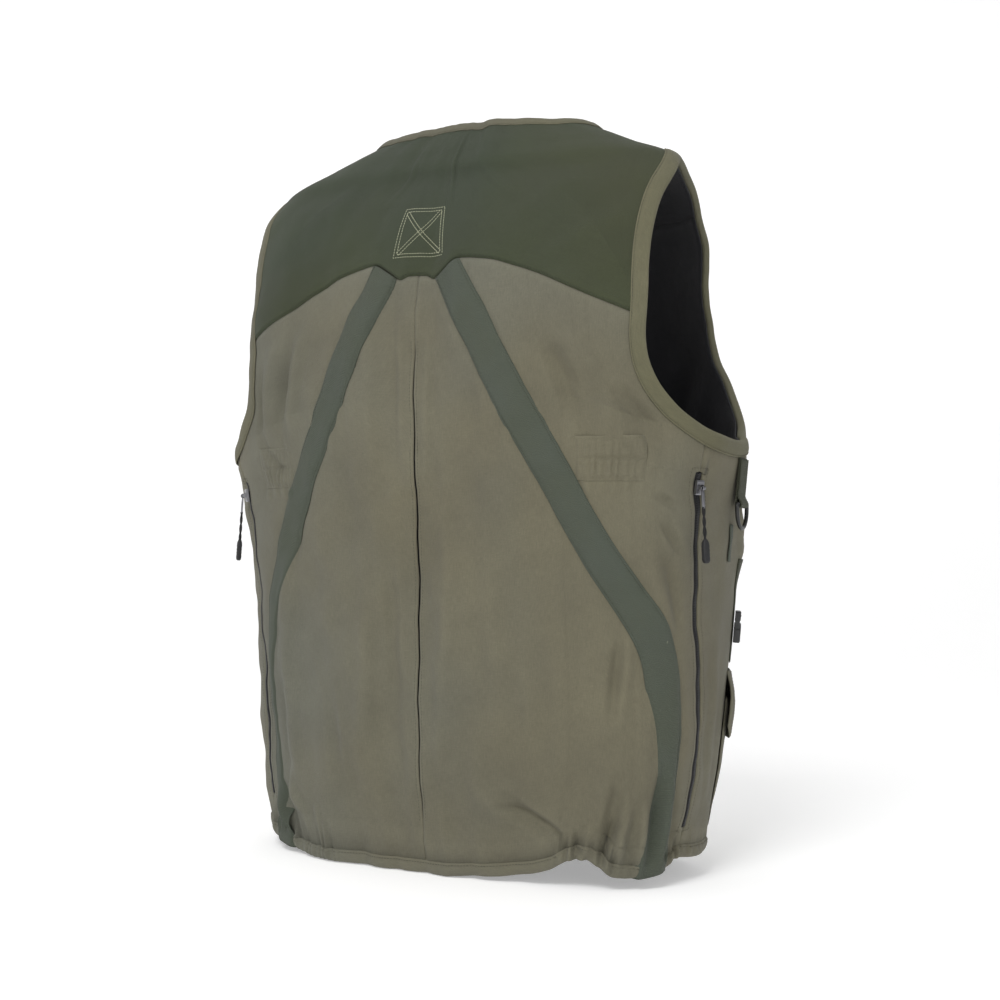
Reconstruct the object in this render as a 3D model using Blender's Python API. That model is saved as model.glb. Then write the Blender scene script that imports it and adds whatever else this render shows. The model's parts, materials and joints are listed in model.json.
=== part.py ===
"""A backpack vest: a hollow sleeveless garment with a yoke, side zips and webbing straps.

Metres, +Z up. The wearer faces -Y, so +X is the wearer's left. The origin lies between the
shoulders, at the height where they carry the garment, and the hem hangs about 0.70 m below it.
A place on the cloth is an angle in degrees round the body, 0 at the centre of the back and
positive to the wearer's left, and a height z. A piece is a grid of such places, built out
between two distances from the body side of the outer cloth.
"""
import math
from collections import namedtuple

import bmesh
import bpy
import numpy as np
from mathutils import Matrix, Vector

MM = 0.001
SEAM = 0.3 * MM             # gap between two pieces that are sewn together
CLOTH = 2.0 * MM            # outer cloth
YOKE_OUT = 2.3 * MM         # outer face of the yoke, a little thicker than the panels
LINING_OUT = -3.8 * MM      # the lining lies inside the bindings' inner legs
LINING_IN = -4.8 * MM
LINING_CUT_BACK = 14 * MM   # how far the lining stops short of a bound edge
ON_CLOTH = 2.6 * MM         # inner face of what is sewn onto the cloth
TAPE_OUT = 3.6 * MM         # outer face of webbing and tape that lie on the cloth
BIND_ON = 3.5 * MM          # the two faces of a binding's outer leg
BIND_OUT = 4.4 * MM
BIND_UNDER = -1.5 * MM      # the two faces of its inner leg
BIND_IN = -2.4 * MM
BIND_WIDTH = 14.0 * MM
BIND_TURN = 1.3 * MM        # how far a binding's turned edge stands past the cloth
NECK_BIND_WIDTH = 9.0 * MM
HEM_TALL = 12.0 * MM
HEM_OUT = 2.9 * MM
STRAP_WIDE = 32.5 * MM
ZIP_HALF = 3.9 * MM         # half of the slot that a zip fills
SLIT_HALF = 1.2 * MM        # half of the open pleat down the centre of the back
SLIT_TOP = -0.213
SLIT_BOTTOM = -0.650
SIDE_ZIP_TOP = -0.333
SIDE_ZIP_BOTTOM = -0.650
SIDE_SEAM_ROW = -0.314      # height of a row of the panels between zip and armhole
FRONT_SEAM_NECK = 152.5     # where the front yoke seam meets the neck edge
MEAN_RADIUS = 0.21          # turns degrees round the body into metres for the folds
LINING_GAP = 9 * MM         # space between two pieces of lining
LEFT, RIGHT = 1, -1
SIDES = ((LEFT, "left"), (RIGHT, "right"))

# Horizontal sections of the garment. A power above 2 makes a section squarer than an ellipse.
Ring = namedtuple("Ring", "z left right centre_y back front power_left power_right power_front")
RINGS = (
    Ring(-0.720, 0.236, 0.222, 0.000, 0.1040, 0.118, 2.35, 3.0, 2.1),
    Ring(-0.700, 0.238, 0.224, 0.000, 0.1060, 0.120, 2.35, 3.0, 2.1),
    Ring(-0.647, 0.242, 0.228, 0.000, 0.1120, 0.132, 2.30, 3.0, 2.2),
    Ring(-0.597, 0.246, 0.232, 0.000, 0.1160, 0.155, 2.20, 3.0, 2.3),
    Ring(-0.497, 0.254, 0.240, 0.000, 0.1210, 0.182, 2.20, 3.0, 2.3),
    Ring(-0.397, 0.262, 0.248, 0.000, 0.1240, 0.190, 2.20, 3.0, 2.3),
    Ring(-0.347, 0.268, 0.255, 0.000, 0.1260, 0.188, 2.25, 3.0, 2.3),
    Ring(-0.312, 0.271, 0.261, 0.000, 0.1270, 0.182, 2.35, 3.0, 2.3),
    Ring(-0.277, 0.264, 0.258, 0.000, 0.1275, 0.172, 2.50, 3.0, 2.3),
    Ring(-0.197, 0.252, 0.250, 0.003, 0.1236, 0.160, 2.80, 3.0, 2.3),
    Ring(-0.152, 0.246, 0.246, 0.008, 0.1140, 0.158, 2.80, 2.9, 2.3),
    Ring(-0.113, 0.242, 0.242, 0.014, 0.1020, 0.158, 2.70, 2.7, 2.3),
    Ring(-0.077, 0.235, 0.235, 0.020, 0.0815, 0.150, 2.50, 2.5, 2.2),
    Ring(-0.045, 0.211, 0.211, 0.024, 0.0600, 0.125, 2.30, 2.3, 2.2),
    Ring(-0.025, 0.168, 0.168, 0.012, 0.0600, 0.100, 2.20, 2.2, 2.2),
    Ring(-0.012, 0.140, 0.140, 0.004, 0.0560, 0.085, 2.20, 2.2, 2.2),
    Ring(0.000, 0.115, 0.115, -0.003, 0.0500, 0.070, 2.20, 2.2, 2.2),
    Ring(0.015, 0.098, 0.098, -0.006, 0.0440, 0.058, 2.20, 2.2, 2.2),
)

# Soft ridges in the cloth, each along a line between two places, flat again at both ends.
Fold = namedtuple("Fold", "angle_a z_a angle_b z_b half_width height")
FOLDS = (
    Fold(-12, -0.600, -56, -0.652, 0.024, 0.0045),    # the drape that runs into the hem notch
    Fold(-58, -0.480, -63, -0.575, 0.022, 0.0035),    # upright fold inside the right strap
    Fold(-61, -0.590, -66, -0.668, 0.020, 0.0030),
    Fold(-26, -0.235, -58, -0.372, 0.030, 0.0020),    # soft diagonal from the pleat
    Fold(56, -0.610, 62, -0.672, 0.022, 0.0040),      # swirl at the left end of the hem
    Fold(22, -0.560, 52, -0.640, 0.028, 0.0030),
    Fold(30, -0.400, 52, -0.500, 0.030, 0.0022),
    Fold(-98, -0.352, -112, -0.440, 0.024, 0.0030),   # below each armhole
    Fold(98, -0.352, 112, -0.440, 0.024, 0.0030),
    Fold(165, -0.330, 125, -0.480, 0.034, 0.0035),    # hang of the fronts
    Fold(-165, -0.330, -125, -0.480, 0.034, 0.0035),
    Fold(168, -0.600, 160, -0.670, 0.024, 0.0030),
    Fold(-168, -0.600, -160, -0.670, 0.024, 0.0030),
)

# Edge of an armhole, from the top of the shoulder down its back and up its front.
ArmPoint = namedtuple("ArmPoint", "angle z")
ARMHOLE = (
    ArmPoint(93.0, -0.0455),
    ArmPoint(84.0, -0.0640),
    ArmPoint(76.5, -0.0950),
    ArmPoint(71.2, -0.1370),
    ArmPoint(67.7, -0.1980),     # the yoke's back edge
    ArmPoint(67.6, -0.2380),
    ArmPoint(71.0, -0.2700),
    ArmPoint(77.6, -0.2955),     # the side seam
    ArmPoint(87.0, -0.3030),
    ArmPoint(97.0, -0.3000),
    ArmPoint(107.0, -0.2820),
    ArmPoint(114.0, -0.2450),
    ArmPoint(117.5, -0.1900),
    ArmPoint(117.5, -0.1350),
    ArmPoint(114.5, -0.0800),    # the yoke's front seam
    ArmPoint(105.0, -0.0510),
)
ARM_STEPS = 2                    # samples from one of these points to the next
ARM_YOKE_BACK = 4 * ARM_STEPS
ARM_SIDE = 7 * ARM_STEPS
ARM_FRONT_CORNER = 10 * ARM_STEPS    # where the bottom of the armhole turns up its front
ARM_YOKE_FRONT = 14 * ARM_STEPS
FRONT_CORNER_Z = -0.288              # the same level at the front zip

EdgePoint = namedtuple("EdgePoint", "angle z")
NECK_EDGE = (
    EdgePoint(0, 0.0055),
    EdgePoint(45, 0.0050),
    EdgePoint(75, 0.0030),
    EdgePoint(95, 0.0010),
    EdgePoint(110, -0.0060),
    EdgePoint(127, -0.0200),
    EdgePoint(145, -0.0500),
    EdgePoint(152.5, -0.0730),
    EdgePoint(160.5, -0.1000),
    EdgePoint(172, -0.1550),
    EdgePoint(180, -0.1970),
)
YOKE_BACK_EDGE = (
    EdgePoint(0, -0.1485),
    EdgePoint(4, -0.1490),
    EdgePoint(8, -0.1525),
    EdgePoint(15, -0.1450),
    EdgePoint(23.5, -0.1365),
    EdgePoint(35, -0.1405),
    EdgePoint(42, -0.1470),
    EdgePoint(48, -0.1555),
    EdgePoint(54, -0.1690),
    EdgePoint(60.5, -0.1835),
    EdgePoint(67.7, -0.1980),
)
HEM_EDGE = (
    EdgePoint(-182, -0.690),
    EdgePoint(-150, -0.688),
    EdgePoint(-120, -0.684),
    EdgePoint(-87, -0.681),
    EdgePoint(-81, -0.679),
    EdgePoint(-76, -0.688),
    EdgePoint(-70, -0.692),
    EdgePoint(-65, -0.690),
    EdgePoint(-62, -0.681),
    EdgePoint(-59, -0.675),
    EdgePoint(-56, -0.677),
    EdgePoint(-51, -0.688),
    EdgePoint(-45, -0.694),
    EdgePoint(-35, -0.698),
    EdgePoint(0, -0.702),
    EdgePoint(55, -0.701),
    EdgePoint(64, -0.698),
    EdgePoint(75, -0.690),
    EdgePoint(87, -0.684),
    EdgePoint(120, -0.684),
    EdgePoint(150, -0.688),
    EdgePoint(182, -0.690),
)

# Angle of each side seam and zip, which leans back at the waist and again near the hem.
SideRow = namedtuple("SideRow", "z left right")
SIDE_LINE = (
    SideRow(-0.700, 74.5, 80.5),
    SideRow(-0.647, 75.0, 81.8),
    SideRow(-0.600, 75.0, 84.4),
    SideRow(-0.543, 73.0, 83.8),
    SideRow(-0.497, 72.3, 82.2),
    SideRow(-0.446, 72.5, 80.5),
    SideRow(-0.392, 73.5, 79.0),
    SideRow(-0.335, 74.0, 77.2),
    SideRow(-0.2955, 77.6, 77.6),
)

# Middle line of each webbing strap, from the yoke to the knee and down to the hem.
StrapRow = namedtuple("StrapRow", "z left right")
STRAPS = (
    StrapRow(-0.1470, 16.4, 15.2),
    StrapRow(-0.1740, 23.2, 22.4),
    StrapRow(-0.2160, 31.2, 30.4),
    StrapRow(-0.2590, 38.0, 37.7),
    StrapRow(-0.2970, 43.6, 43.9),
    StrapRow(-0.3380, 49.9, 49.8),
    StrapRow(-0.3750, 55.6, 54.8),
    StrapRow(-0.4050, 58.8, 59.0),
    StrapRow(-0.4350, 61.4, 63.5),
    StrapRow(-0.4750, 63.6, 69.2),
    StrapRow(-0.4950, 64.6, 71.2),
    StrapRow(-0.5290, 66.2, 72.7),
    StrapRow(-0.5600, 67.2, 73.4),
    StrapRow(-0.6070, 67.8, 73.2),
    StrapRow(-0.6570, 67.6, 72.6),
    StrapRow(-0.7000, 67.4, 72.6),
)

# Places of the columns across each back panel, as shares of the way to the side seam.
HEM_SHARES = (1.0, 0.932, 0.870, 0.820, 0.776, 0.733, 0.690, 0.634, 0.559, 0.460, 0.348, 0.236, 0.124, 0.0)
YOKE_COLUMNS = (67.7, 64.0, 60.5, 57.0, 54.0, 51.0, 48.0, 44.0, 39.0, 33.0, 26.0, 19.0, 10.0, 0.0)
# Rows of the yoke from its outer edge to the neck, and a front's columns along its seam with it.
YOKE_SHARES = (0.0, 0.14, 0.32, 0.53, 0.74, 0.92, 1.0)
NECK_STEPS = 4              # columns of a front along the neck's slope

HEM_PUCKER = 1.6 * MM
HEM_WAVES = 8
HEM_SPLIT = 4               # columns of gathered hem to one column of the panel above it
HEM_LIP = 1.0 * MM          # how much thinner the hem casing is at its lowest edge
HEM_GATHERS = (             # where the hem's elastic puckers it: angles from, to
    (-79.0, -77.2),
    (-67.6, -52.0),
    (46.0, 62.8),
)
HEM_LEVEL = -0.690          # a height near the hem, at which its lines are first read

STRAP_TOP = -0.149
STRAP_UPPER_END = -0.460    # rows of a strap are spaced a little closer below this height
STRAP_LOWER_TOP = -0.475
STRAP_UPPER_ROWS = 12
STRAP_LOWER_ROWS = 9
STRAP_OVER_HEM = 1.1 * MM   # how far a strap rises where it crosses the hem casing

WAIST_Z = -0.3135           # middle of the short waist elastics beside the back straps
WAIST_TALL = 24 * MM
WAIST_WAVES = 9
WAIST_PUCKER = 1.7 * MM
WAIST_EDGE = 0.35           # share of a pucker left at the casing's two edges
WAIST_SPAN = {LEFT: (53.8, 65.0), RIGHT: (53.8, 66.5)}

SIDE_ZIP_ROWS = 10
FRONT_ZIP_ROWS = 16
ZIP_LOW = -0.2 * MM         # underside and face of the zip's tape, and face of its chain
ZIP_TAPE = 0.9 * MM
ZIP_CHAIN = 2.3 * MM
ZIP_CHAIN_HALF = 2.4 * MM

SLIDER_WIDE = 9.0 * MM
SLIDER_TALL = 13.0 * MM
SLIDER_LOW = 2.9 * MM       # underside of the slider above the body side of the cloth
SLIDER_THICK = 2.6 * MM
SIDE_SLIDER_DROP = 13 * MM  # how far each slider sits below the top of its zip
FRONT_SLIDER_DROP = 14 * MM
CHEEK_GAP = 2.0 * MM        # half of the space between the slider's two cheeks
CHEEK_HALF = 0.6 * MM       # half of a cheek's thickness
CHEEK_SINK = 0.4 * MM       # how far a cheek is sunk into the slider
CHEEK_OVER = 1.0 * MM       # how far it rises past the pin's middle
CHEEK_TOP_HALF = 1.2 * MM
CHEEK_FOOT = (-2.4 * MM, 3.0 * MM)
PIN_RISE = 2.8 * MM         # the pin's middle above the slider's face
PIN_RADIUS = 0.8 * MM
EYE_RADIUS = 1.15 * MM      # hole of the pull's eye, and the eye's outer radius
EYE_OUT = 2.3 * MM
TAB_HALF = 1.6 * MM         # half of the pull tab's width
TAB_LONG = 18.0 * MM
TAB_THICK = 1.4 * MM
TAB_NECK = 3.2 * MM         # where the eye narrows to the tab
SIDE_PULL_LEAN = 4.0        # degrees by which a hanging pull clears the cloth
FRONT_PULL_LEAN = 14.0
CORD_HALF = 1.3 * MM
CORD_LONG = 28.0 * MM
CORD_LAP = 1.5 * MM         # length of tab that the cord's end wraps
GRIP_LONG = 20.0 * MM
GRIP_LAP = 1.0 * MM
GRIP_DEEP = 2.3 * MM        # half of the grip's depth and of its width
GRIP_HALF = 3.6 * MM
GRIP_BEVEL = 2.0 * MM
GRIP_NOSE = 1.6 * MM

WEB_WIDE = 22.0 * MM        # webbing that holds each D-ring
WEB_TOP = -0.3174
WEB_ANGLE = 94.0
WEB_THICK = 2.4 * MM
WEB_ON = 2.3 * MM           # its back, close against the cloth that it is sewn to
WEB_LOOP = 3.6 * MM         # outer radius of the loop that holds the D-ring
WEB_DROP = 42.0 * MM        # from the top of the webbing to the middle of its loop
WEB_NECK = 6.0 * MM         # where the webbing widens into the loop, above that middle
RING_ROD = 1.9 * MM
RING_PLAY = 0.4 * MM        # play of the ring's bar in the loop
RING_WIDE = 30.0 * MM
RING_TALL = 22.0 * MM
RING_SHOULDER = 3.5 * MM    # straight length of the ring's sides below the bar
RING_CORNER = 0.8 * MM
RING_SIDES = 8
TAIL_Z = (-0.412, -0.394, -0.378)    # loose tape end below each D-ring
TAIL_WIDE = 10.0 * MM

POCKET_ANGLES = (104.0, 110.5, 117.5, 124.5, 131.0, 138.0, 145.0, 152.0)
POCKET_IN = 3.4 * MM
POCKET_Z = (-0.662, -0.656, -0.625, -0.590, -0.555, -0.541)
POCKET_PUFF = 8.5 * MM      # face of the pocket at its middle and at its border
POCKET_BORDER = 5.0 * MM
FLAP_PAST = 1.5             # degrees by which the flap is wider than the pocket at each end
FLAP_Z = (-0.580, -0.560, -0.545, -0.534, -0.524, -0.515)
FLAP_HEIGHTS = (10.4, 10.6, 10.2, 8.4, 5.6, 3.4)     # millimetres, row by row
FLAP_THICK = 2.0 * MM

BUCKLE_ANGLE = 107.0
BUCKLE_Z = -0.474
BUCKLE_TALL = 30.0 * MM
BUCKLE_WIDE = 27.0 * MM
BUCKLE_THICK = 6.5 * MM
BUCKLE_LIFT = 0.4 * MM      # back of the buckle above its strap
BUCKLE_STRAP_WIDE = 20.0 * MM
BUCKLE_STRAP_Z = (-0.508, -0.410)
BUCKLE_STRAP_ROWS = 7

# A slider's place, the degrees by which its pull leans out, and whether the pull ends in a cord.
Puller = namedtuple("Puller", "name angle z lean has_cord")

# Names, colours (linear RGB), roughness and metallic value of the finishes.
FINISHES = {
    "shell_cloth": ((0.135, 0.125, 0.092), 0.85, 0.0),
    "yoke_cloth": ((0.052, 0.062, 0.038), 0.85, 0.0),
    "strap_webbing": ((0.085, 0.097, 0.070), 0.80, 0.0),
    "binding_tape": ((0.125, 0.125, 0.078), 0.80, 0.0),
    "lining_cloth": ((0.008, 0.008, 0.012), 0.75, 0.0),
    "zip_tape": ((0.006, 0.006, 0.006), 0.60, 0.0),
    "zip_metal": ((0.420, 0.420, 0.410), 0.35, 1.0),
    "dark_webbing": ((0.018, 0.024, 0.017), 0.80, 0.0),
    "black_plastic": ((0.010, 0.010, 0.010), 0.45, 0.0),
}


def clear_scene():
    for thing in list(bpy.data.objects):
        bpy.data.objects.remove(thing, do_unlink=True)


def finish(name):
    """Return the material of this name, made once."""
    if name in bpy.data.materials:
        return bpy.data.materials[name]
    colour, roughness, metallic = FINISHES[name]
    made = bpy.data.materials.new(name)
    made.use_nodes = True
    made.diffuse_color = (*colour, 1.0)
    shader = made.node_tree.nodes["Principled BSDF"]
    shader.inputs["Base Color"].default_value = (*colour, 1.0)
    shader.inputs["Roughness"].default_value = roughness
    shader.inputs["Metallic"].default_value = metallic
    return made


def smooth_curve(x, xs, ys):
    """Read a smooth curve through the points (xs, ys), one that never overshoots them."""
    step = np.diff(xs)
    slope = np.diff(ys) / step
    tangent = np.zeros(len(xs))
    tangent[0] = slope[0]
    tangent[-1] = slope[-1]
    for i in range(1, len(xs) - 1):
        if slope[i - 1] * slope[i] > 0:
            before = 2 * step[i] + step[i - 1]
            after = step[i] + 2 * step[i - 1]
            tangent[i] = (before + after) / (before / slope[i - 1] + after / slope[i])
    k = np.clip(np.searchsorted(xs, x) - 1, 0, len(step) - 1)
    t = (x - xs[k]) / step[k]
    start = (2 * t**3 - 3 * t**2 + 1) * ys[k] + (t**3 - 2 * t**2 + t) * step[k] * tangent[k]
    return start + (3 * t**2 - 2 * t**3) * ys[k + 1] + (t**3 - t**2) * step[k] * tangent[k + 1]


def read_column(rows, column, x, key="z"):
    """Read one column of a table of named rows at x, smoothly between its rows."""
    keys = np.array([getattr(row, key) for row in rows], float)
    values = np.array([getattr(row, column) for row in rows], float)
    order = np.argsort(keys)
    return smooth_curve(np.asarray(x, float), keys[order], values[order])


def body_point(angle, z):
    """Return the points of the smooth, fold-free form at these places."""
    angle, z = np.broadcast_arrays(np.radians(np.asarray(angle, float)), np.asarray(z, float))
    value = {name: read_column(RINGS, name, z) for name in Ring._fields[1:]}
    sine, cosine = np.sin(angle), np.cos(angle)
    half_wide = np.where(sine > 0, value["left"], value["right"])
    half_deep = np.where(cosine > 0, value["back"], value["front"])
    back_power = np.where(sine > 0, value["power_left"], value["power_right"])
    power = np.where(cosine > 0, back_power, value["power_front"])
    reach = (np.abs(sine / half_wide) ** power + np.abs(cosine / half_deep) ** power) ** (-1 / power)
    return np.stack([reach * sine, value["centre_y"] + reach * cosine, z], -1)


def surface_frame(angle, z):
    """Return the point, the two directions along the form per degree and per metre, and outward."""
    turn, rise = 0.2, 0.5 * MM
    along = (body_point(angle + turn, z) - body_point(angle - turn, z)) / (2 * turn)
    up = (body_point(angle, z + rise) - body_point(angle, z - rise)) / (2 * rise)
    out = np.cross(up, along)
    out /= np.linalg.norm(out, axis=-1, keepdims=True)
    return body_point(angle, z), along, up, out


def fold_lift(angle, z):
    """Return how far the folds raise the cloth at these places."""
    metres = MEAN_RADIUS * math.pi / 180
    lift = np.zeros(np.broadcast(angle, z).shape)
    for fold in FOLDS:
        start = np.array([fold.angle_a * metres, fold.z_a])
        run = np.array([fold.angle_b * metres, fold.z_b]) - start
        length = np.hypot(*run)
        u = (angle * metres - start[0]) * run[0] + (z - start[1]) * run[1]
        share = u / length**2
        aside = np.abs((angle * metres - start[0]) * run[1] - (z - start[1]) * run[0]) / length
        across = np.cos(np.clip(aside / fold.half_width, 0, 1) * math.pi / 2) ** 2
        ends = np.sin(np.clip(share, 0, 1) * math.pi)
        lift = lift + fold.height * across * ends
    return lift


def skin(places, height, folded=True):
    """Return points at this distance from the body side of the outer cloth."""
    angle, z = places[..., 0], places[..., 1]
    point, _, _, out = surface_frame(angle, z)
    raised = height + (fold_lift(angle, z) if folded else 0.0)
    return point + out * np.asarray(raised)[..., None] if np.ndim(raised) else point + out * raised


def step_sideways(places, tangent, distance):
    """Move places along the form, to the left of the tangent as seen from outside."""
    angle, z = places[..., 0], places[..., 1]
    _, along, up, out = surface_frame(angle, z)
    aside = np.cross(out, tangent)
    aside /= np.linalg.norm(aside, axis=-1, keepdims=True)
    aa = (along * along).sum(-1)
    au = (along * up).sum(-1)
    uu = (up * up).sum(-1)
    want_a = (aside * along).sum(-1) * distance
    want_u = (aside * up).sum(-1) * distance
    det = aa * uu - au * au
    turn = (want_a * uu - want_u * au) / det
    rise = (want_u * aa - want_a * au) / det
    return np.stack([angle + turn, z + rise], -1)


def beside(places, distance, closed=False):
    """Return a line that runs beside a line of places, at this distance along the form."""
    point = body_point(places[:, 0], places[:, 1])
    if closed:
        tangent = np.roll(point, -1, axis=0) - np.roll(point, 1, axis=0)
    else:
        tangent = np.gradient(point, axis=0)
    moved = places
    steps = max(1, math.ceil(abs(distance) / (6 * MM)))
    for _ in range(steps):
        moved = step_sideways(moved, tangent, distance / steps)
    return moved


def shift_degrees(places, distance):
    """Move places round the body by a distance, positive towards the wearer's left."""
    _, along, _, _ = surface_frame(places[:, 0], places[:, 1])
    turn = np.asarray(distance) / np.linalg.norm(along, axis=-1)
    return np.stack([places[:, 0] + turn, places[:, 1]], -1)


def line_shares(places):
    """Return how far along a line each of its places is, from 0 to 1."""
    point = body_point(places[:, 0], places[:, 1])
    run = np.concatenate([[0.0], np.cumsum(np.linalg.norm(np.diff(point, axis=0), axis=1))])
    return run / run[-1]


def fill(bottom, top, left, right):
    """Fill four edge lines with a grid of places, row by row from the bottom."""
    s = ((line_shares(bottom) + line_shares(top)) / 2)[None, :, None]
    t = ((line_shares(left) + line_shares(right)) / 2)[:, None, None]
    rows = (1 - t) * bottom[None] + t * top[None]
    columns = (1 - s) * left[:, None] + s * right[:, None]
    corners = (1 - s) * (1 - t) * bottom[0] + s * (1 - t) * bottom[-1] + (1 - s) * t * top[0] + s * t * top[-1]
    return rows + columns - corners


def trim(grid, insets):
    """Draw in a grid's left, right, bottom and top edges by these distances."""
    grid = grid.copy()
    left, right, bottom, top = insets

    def draw_in(edge, inner, distance):
        if distance == 0:
            return edge
        gap = np.linalg.norm(body_point(inner[:, 0], inner[:, 1]) - body_point(edge[:, 0], edge[:, 1]), axis=1)
        return edge + (inner - edge) * (distance / gap)[:, None]

    grid[:, 0] = draw_in(grid[:, 0], grid[:, 1], left)
    grid[:, -1] = draw_in(grid[:, -1], grid[:, -2], right)
    grid[0] = draw_in(grid[0], grid[1], bottom)
    grid[-1] = draw_in(grid[-1], grid[-2], top)
    return grid


def add_object(name, finish_name, vertices, faces, place=None):
    """Make one named closed solid, with its faces turned outwards."""
    mesh = bpy.data.meshes.new(name)
    mesh.from_pydata([tuple(map(float, v)) for v in vertices], [], faces)
    work = bmesh.new()
    work.from_mesh(mesh)
    bmesh.ops.recalc_face_normals(work, faces=work.faces)
    bmesh.ops.triangulate(work, faces=work.faces)
    work.to_mesh(mesh)
    work.free()
    mesh.materials.append(finish(finish_name))
    thing = bpy.data.objects.new(name, mesh)
    bpy.context.scene.collection.objects.link(thing)
    if place is not None:
        thing.matrix_world = place
    return thing


def wall_from_points(name, finish_name, inner, outer, keep=None):
    """Close two matching grids of points into one wall, over all their cells or those kept."""
    rows, columns = outer.shape[:2]
    if keep is None:
        keep = np.ones((rows - 1, columns - 1), bool)
    number = {}
    vertices = []
    faces = []
    edges = set()
    for j, i in zip(*np.nonzero(keep)):
        corners = [(j, i), (j, i + 1), (j + 1, i + 1), (j + 1, i)]
        for corner in corners:
            if corner not in number:
                number[corner] = len(vertices)
                vertices += [outer[corner], inner[corner]]
        faces.append(tuple(number[c] for c in corners))
        faces.append(tuple(number[c] + 1 for c in reversed(corners)))
        for pair in zip(corners, corners[1:] + corners[:1]):
            if pair[::-1] in edges:
                edges.remove(pair[::-1])
            else:
                edges.add(pair)
    for a, b in sorted(edges):
        faces.append((number[b], number[a], number[a] + 1, number[b] + 1))
    return add_object(name, finish_name, vertices, faces)


def wall(name, finish_name, grid, inner, outer, insets=(SEAM / 2,) * 4, folded=True, keep=None):
    """Build a piece of cloth over a grid of places, between two heights."""
    grid = trim(grid, insets)
    low = skin(grid, np.broadcast_to(inner, grid.shape[:2]), folded)
    high = skin(grid, np.broadcast_to(outer, grid.shape[:2]), folded)
    return wall_from_points(name, finish_name, low, high, keep)


def loft(name, finish_name, sections, closed):
    """Join a row of closed outlines into one solid, capped at both ends unless it is a loop."""
    count, around = sections.shape[:2]
    faces = []
    for j in range(count if closed else count - 1):
        k = (j + 1) % count
        for i in range(around):
            n = (i + 1) % around
            faces.append((j * around + i, k * around + i, k * around + n, j * around + n))
    if not closed:
        faces.append(tuple(range(around)))
        faces.append(tuple((count - 1) * around + i for i in range(around - 1, -1, -1)))
    return add_object(name, finish_name, sections.reshape(-1, 3), faces)


def closed_spline(points, steps):
    """Sample a smooth closed curve, with this many samples to each stretch."""
    points = np.array(points, float)
    before = np.roll(points, 1, axis=0)
    after = np.roll(points, -1, axis=0)
    beyond = np.roll(points, -2, axis=0)
    samples = []
    for i in range(len(points)):
        for t in np.arange(steps) / steps:
            samples.append(0.5 * (2 * points[i] + (after[i] - before[i]) * t
                                  + (2 * before[i] - 5 * points[i] + 4 * after[i] - beyond[i]) * t**2
                                  + (3 * points[i] - before[i] - 3 * after[i] + beyond[i]) * t**3))
    return np.array(samples)


def arm_edge(side):
    """Return the closed line of an armhole's edge."""
    samples = closed_spline(ARMHOLE, ARM_STEPS)
    return samples * np.array([side, 1.0])


def neck_z(angle):
    return read_column(NECK_EDGE, "z", np.abs(angle), "angle")


def yoke_edge_z(angle):
    return read_column(YOKE_BACK_EDGE, "z", np.abs(angle), "angle")


def hem_z(angle):
    return read_column(HEM_EDGE, "z", angle, "angle")


def side_name(side):
    return "left" if side == LEFT else "right"


def side_angle(side, z):
    return side * read_column(SIDE_LINE, side_name(side), z)


def hem_top_corner(side):
    """Return the height at which the side seam meets the hem casing."""
    z = HEM_LEVEL
    for _ in range(4):
        z = float(hem_z(side_angle(side, z))) + HEM_TALL
    return z


def side_heights(side):
    """Return the heights of the rows down the side seam, and half of the slot at each."""
    zip_rows = np.linspace(SIDE_ZIP_BOTTOM, SIDE_ZIP_TOP, SIDE_ZIP_ROWS)
    below = [hem_top_corner(side), SIDE_ZIP_BOTTOM - MM]
    above = [SIDE_ZIP_TOP + MM, SIDE_SEAM_ROW, ARMHOLE[ARM_SIDE // ARM_STEPS].z]
    z = below + list(zip_rows) + above
    half = [0.0] * len(below) + [ZIP_HALF] * len(zip_rows) + [0.0] * len(above)
    return np.array(z), np.array(half)


def side_edge(side, towards):
    """Return the side seam's line, drawn off it by the slot's half width."""
    z, half = side_heights(side)
    line = np.stack([side_angle(side, z), z], -1)
    return shift_degrees(line, towards * half)


def back_grid(side):
    """Fill one back panel, from its side seam to the centre."""
    angles = side * np.array(HEM_SHARES) * abs(side_edge(side, 0)[0, 0])
    bottom = np.stack([angles, hem_z(angles) + HEM_TALL], -1)
    top_angles = side * np.array(YOKE_COLUMNS)
    top = np.stack([top_angles, yoke_edge_z(top_angles)], -1)
    arm = arm_edge(side)[ARM_YOKE_BACK:ARM_SIDE][::-1]
    outer_edge = np.concatenate([side_edge(side, -side), arm])
    outer_edge[-1] = top[0]
    share = line_shares(outer_edge)
    z = bottom[-1, 1] + share * (top[-1, 1] - bottom[-1, 1])
    slit = np.where((z > SLIT_BOTTOM) & (z < SLIT_TOP), SLIT_HALF, 0.0)
    centre = shift_degrees(np.stack([np.zeros(len(z)), z], -1), side * slit)
    bottom[-1] = centre[0]
    top[-1] = centre[-1]
    bottom[0] = outer_edge[0]
    if side == RIGHT:
        return fill(bottom, top, outer_edge, centre)
    return fill(bottom[::-1], top[::-1], centre, outer_edge)


def between(start, end, shares):
    """Return places on the straight line from one place to another, at these shares of it."""
    start, end = np.array(start, float), np.array(end, float)
    return start + np.array(shares)[:, None] * (end - start)


def front_top(side):
    """Return the upper edge of a front: the yoke seam, then the neck's slope down to the zip."""
    corner = ARMHOLE[ARM_YOKE_FRONT // ARM_STEPS]
    seam = between(corner, (FRONT_SEAM_NECK, float(neck_z(FRONT_SEAM_NECK))), YOKE_SHARES)
    slope = np.linspace(FRONT_SEAM_NECK, 180.0, NECK_STEPS + 1)[1:]
    points = np.concatenate([seam, np.stack([slope, neck_z(slope)], -1)])
    points = points * np.array([side, 1.0])
    points[-1] = shift_degrees(points[-1:], -side * ZIP_HALF)[0]
    return points


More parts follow.
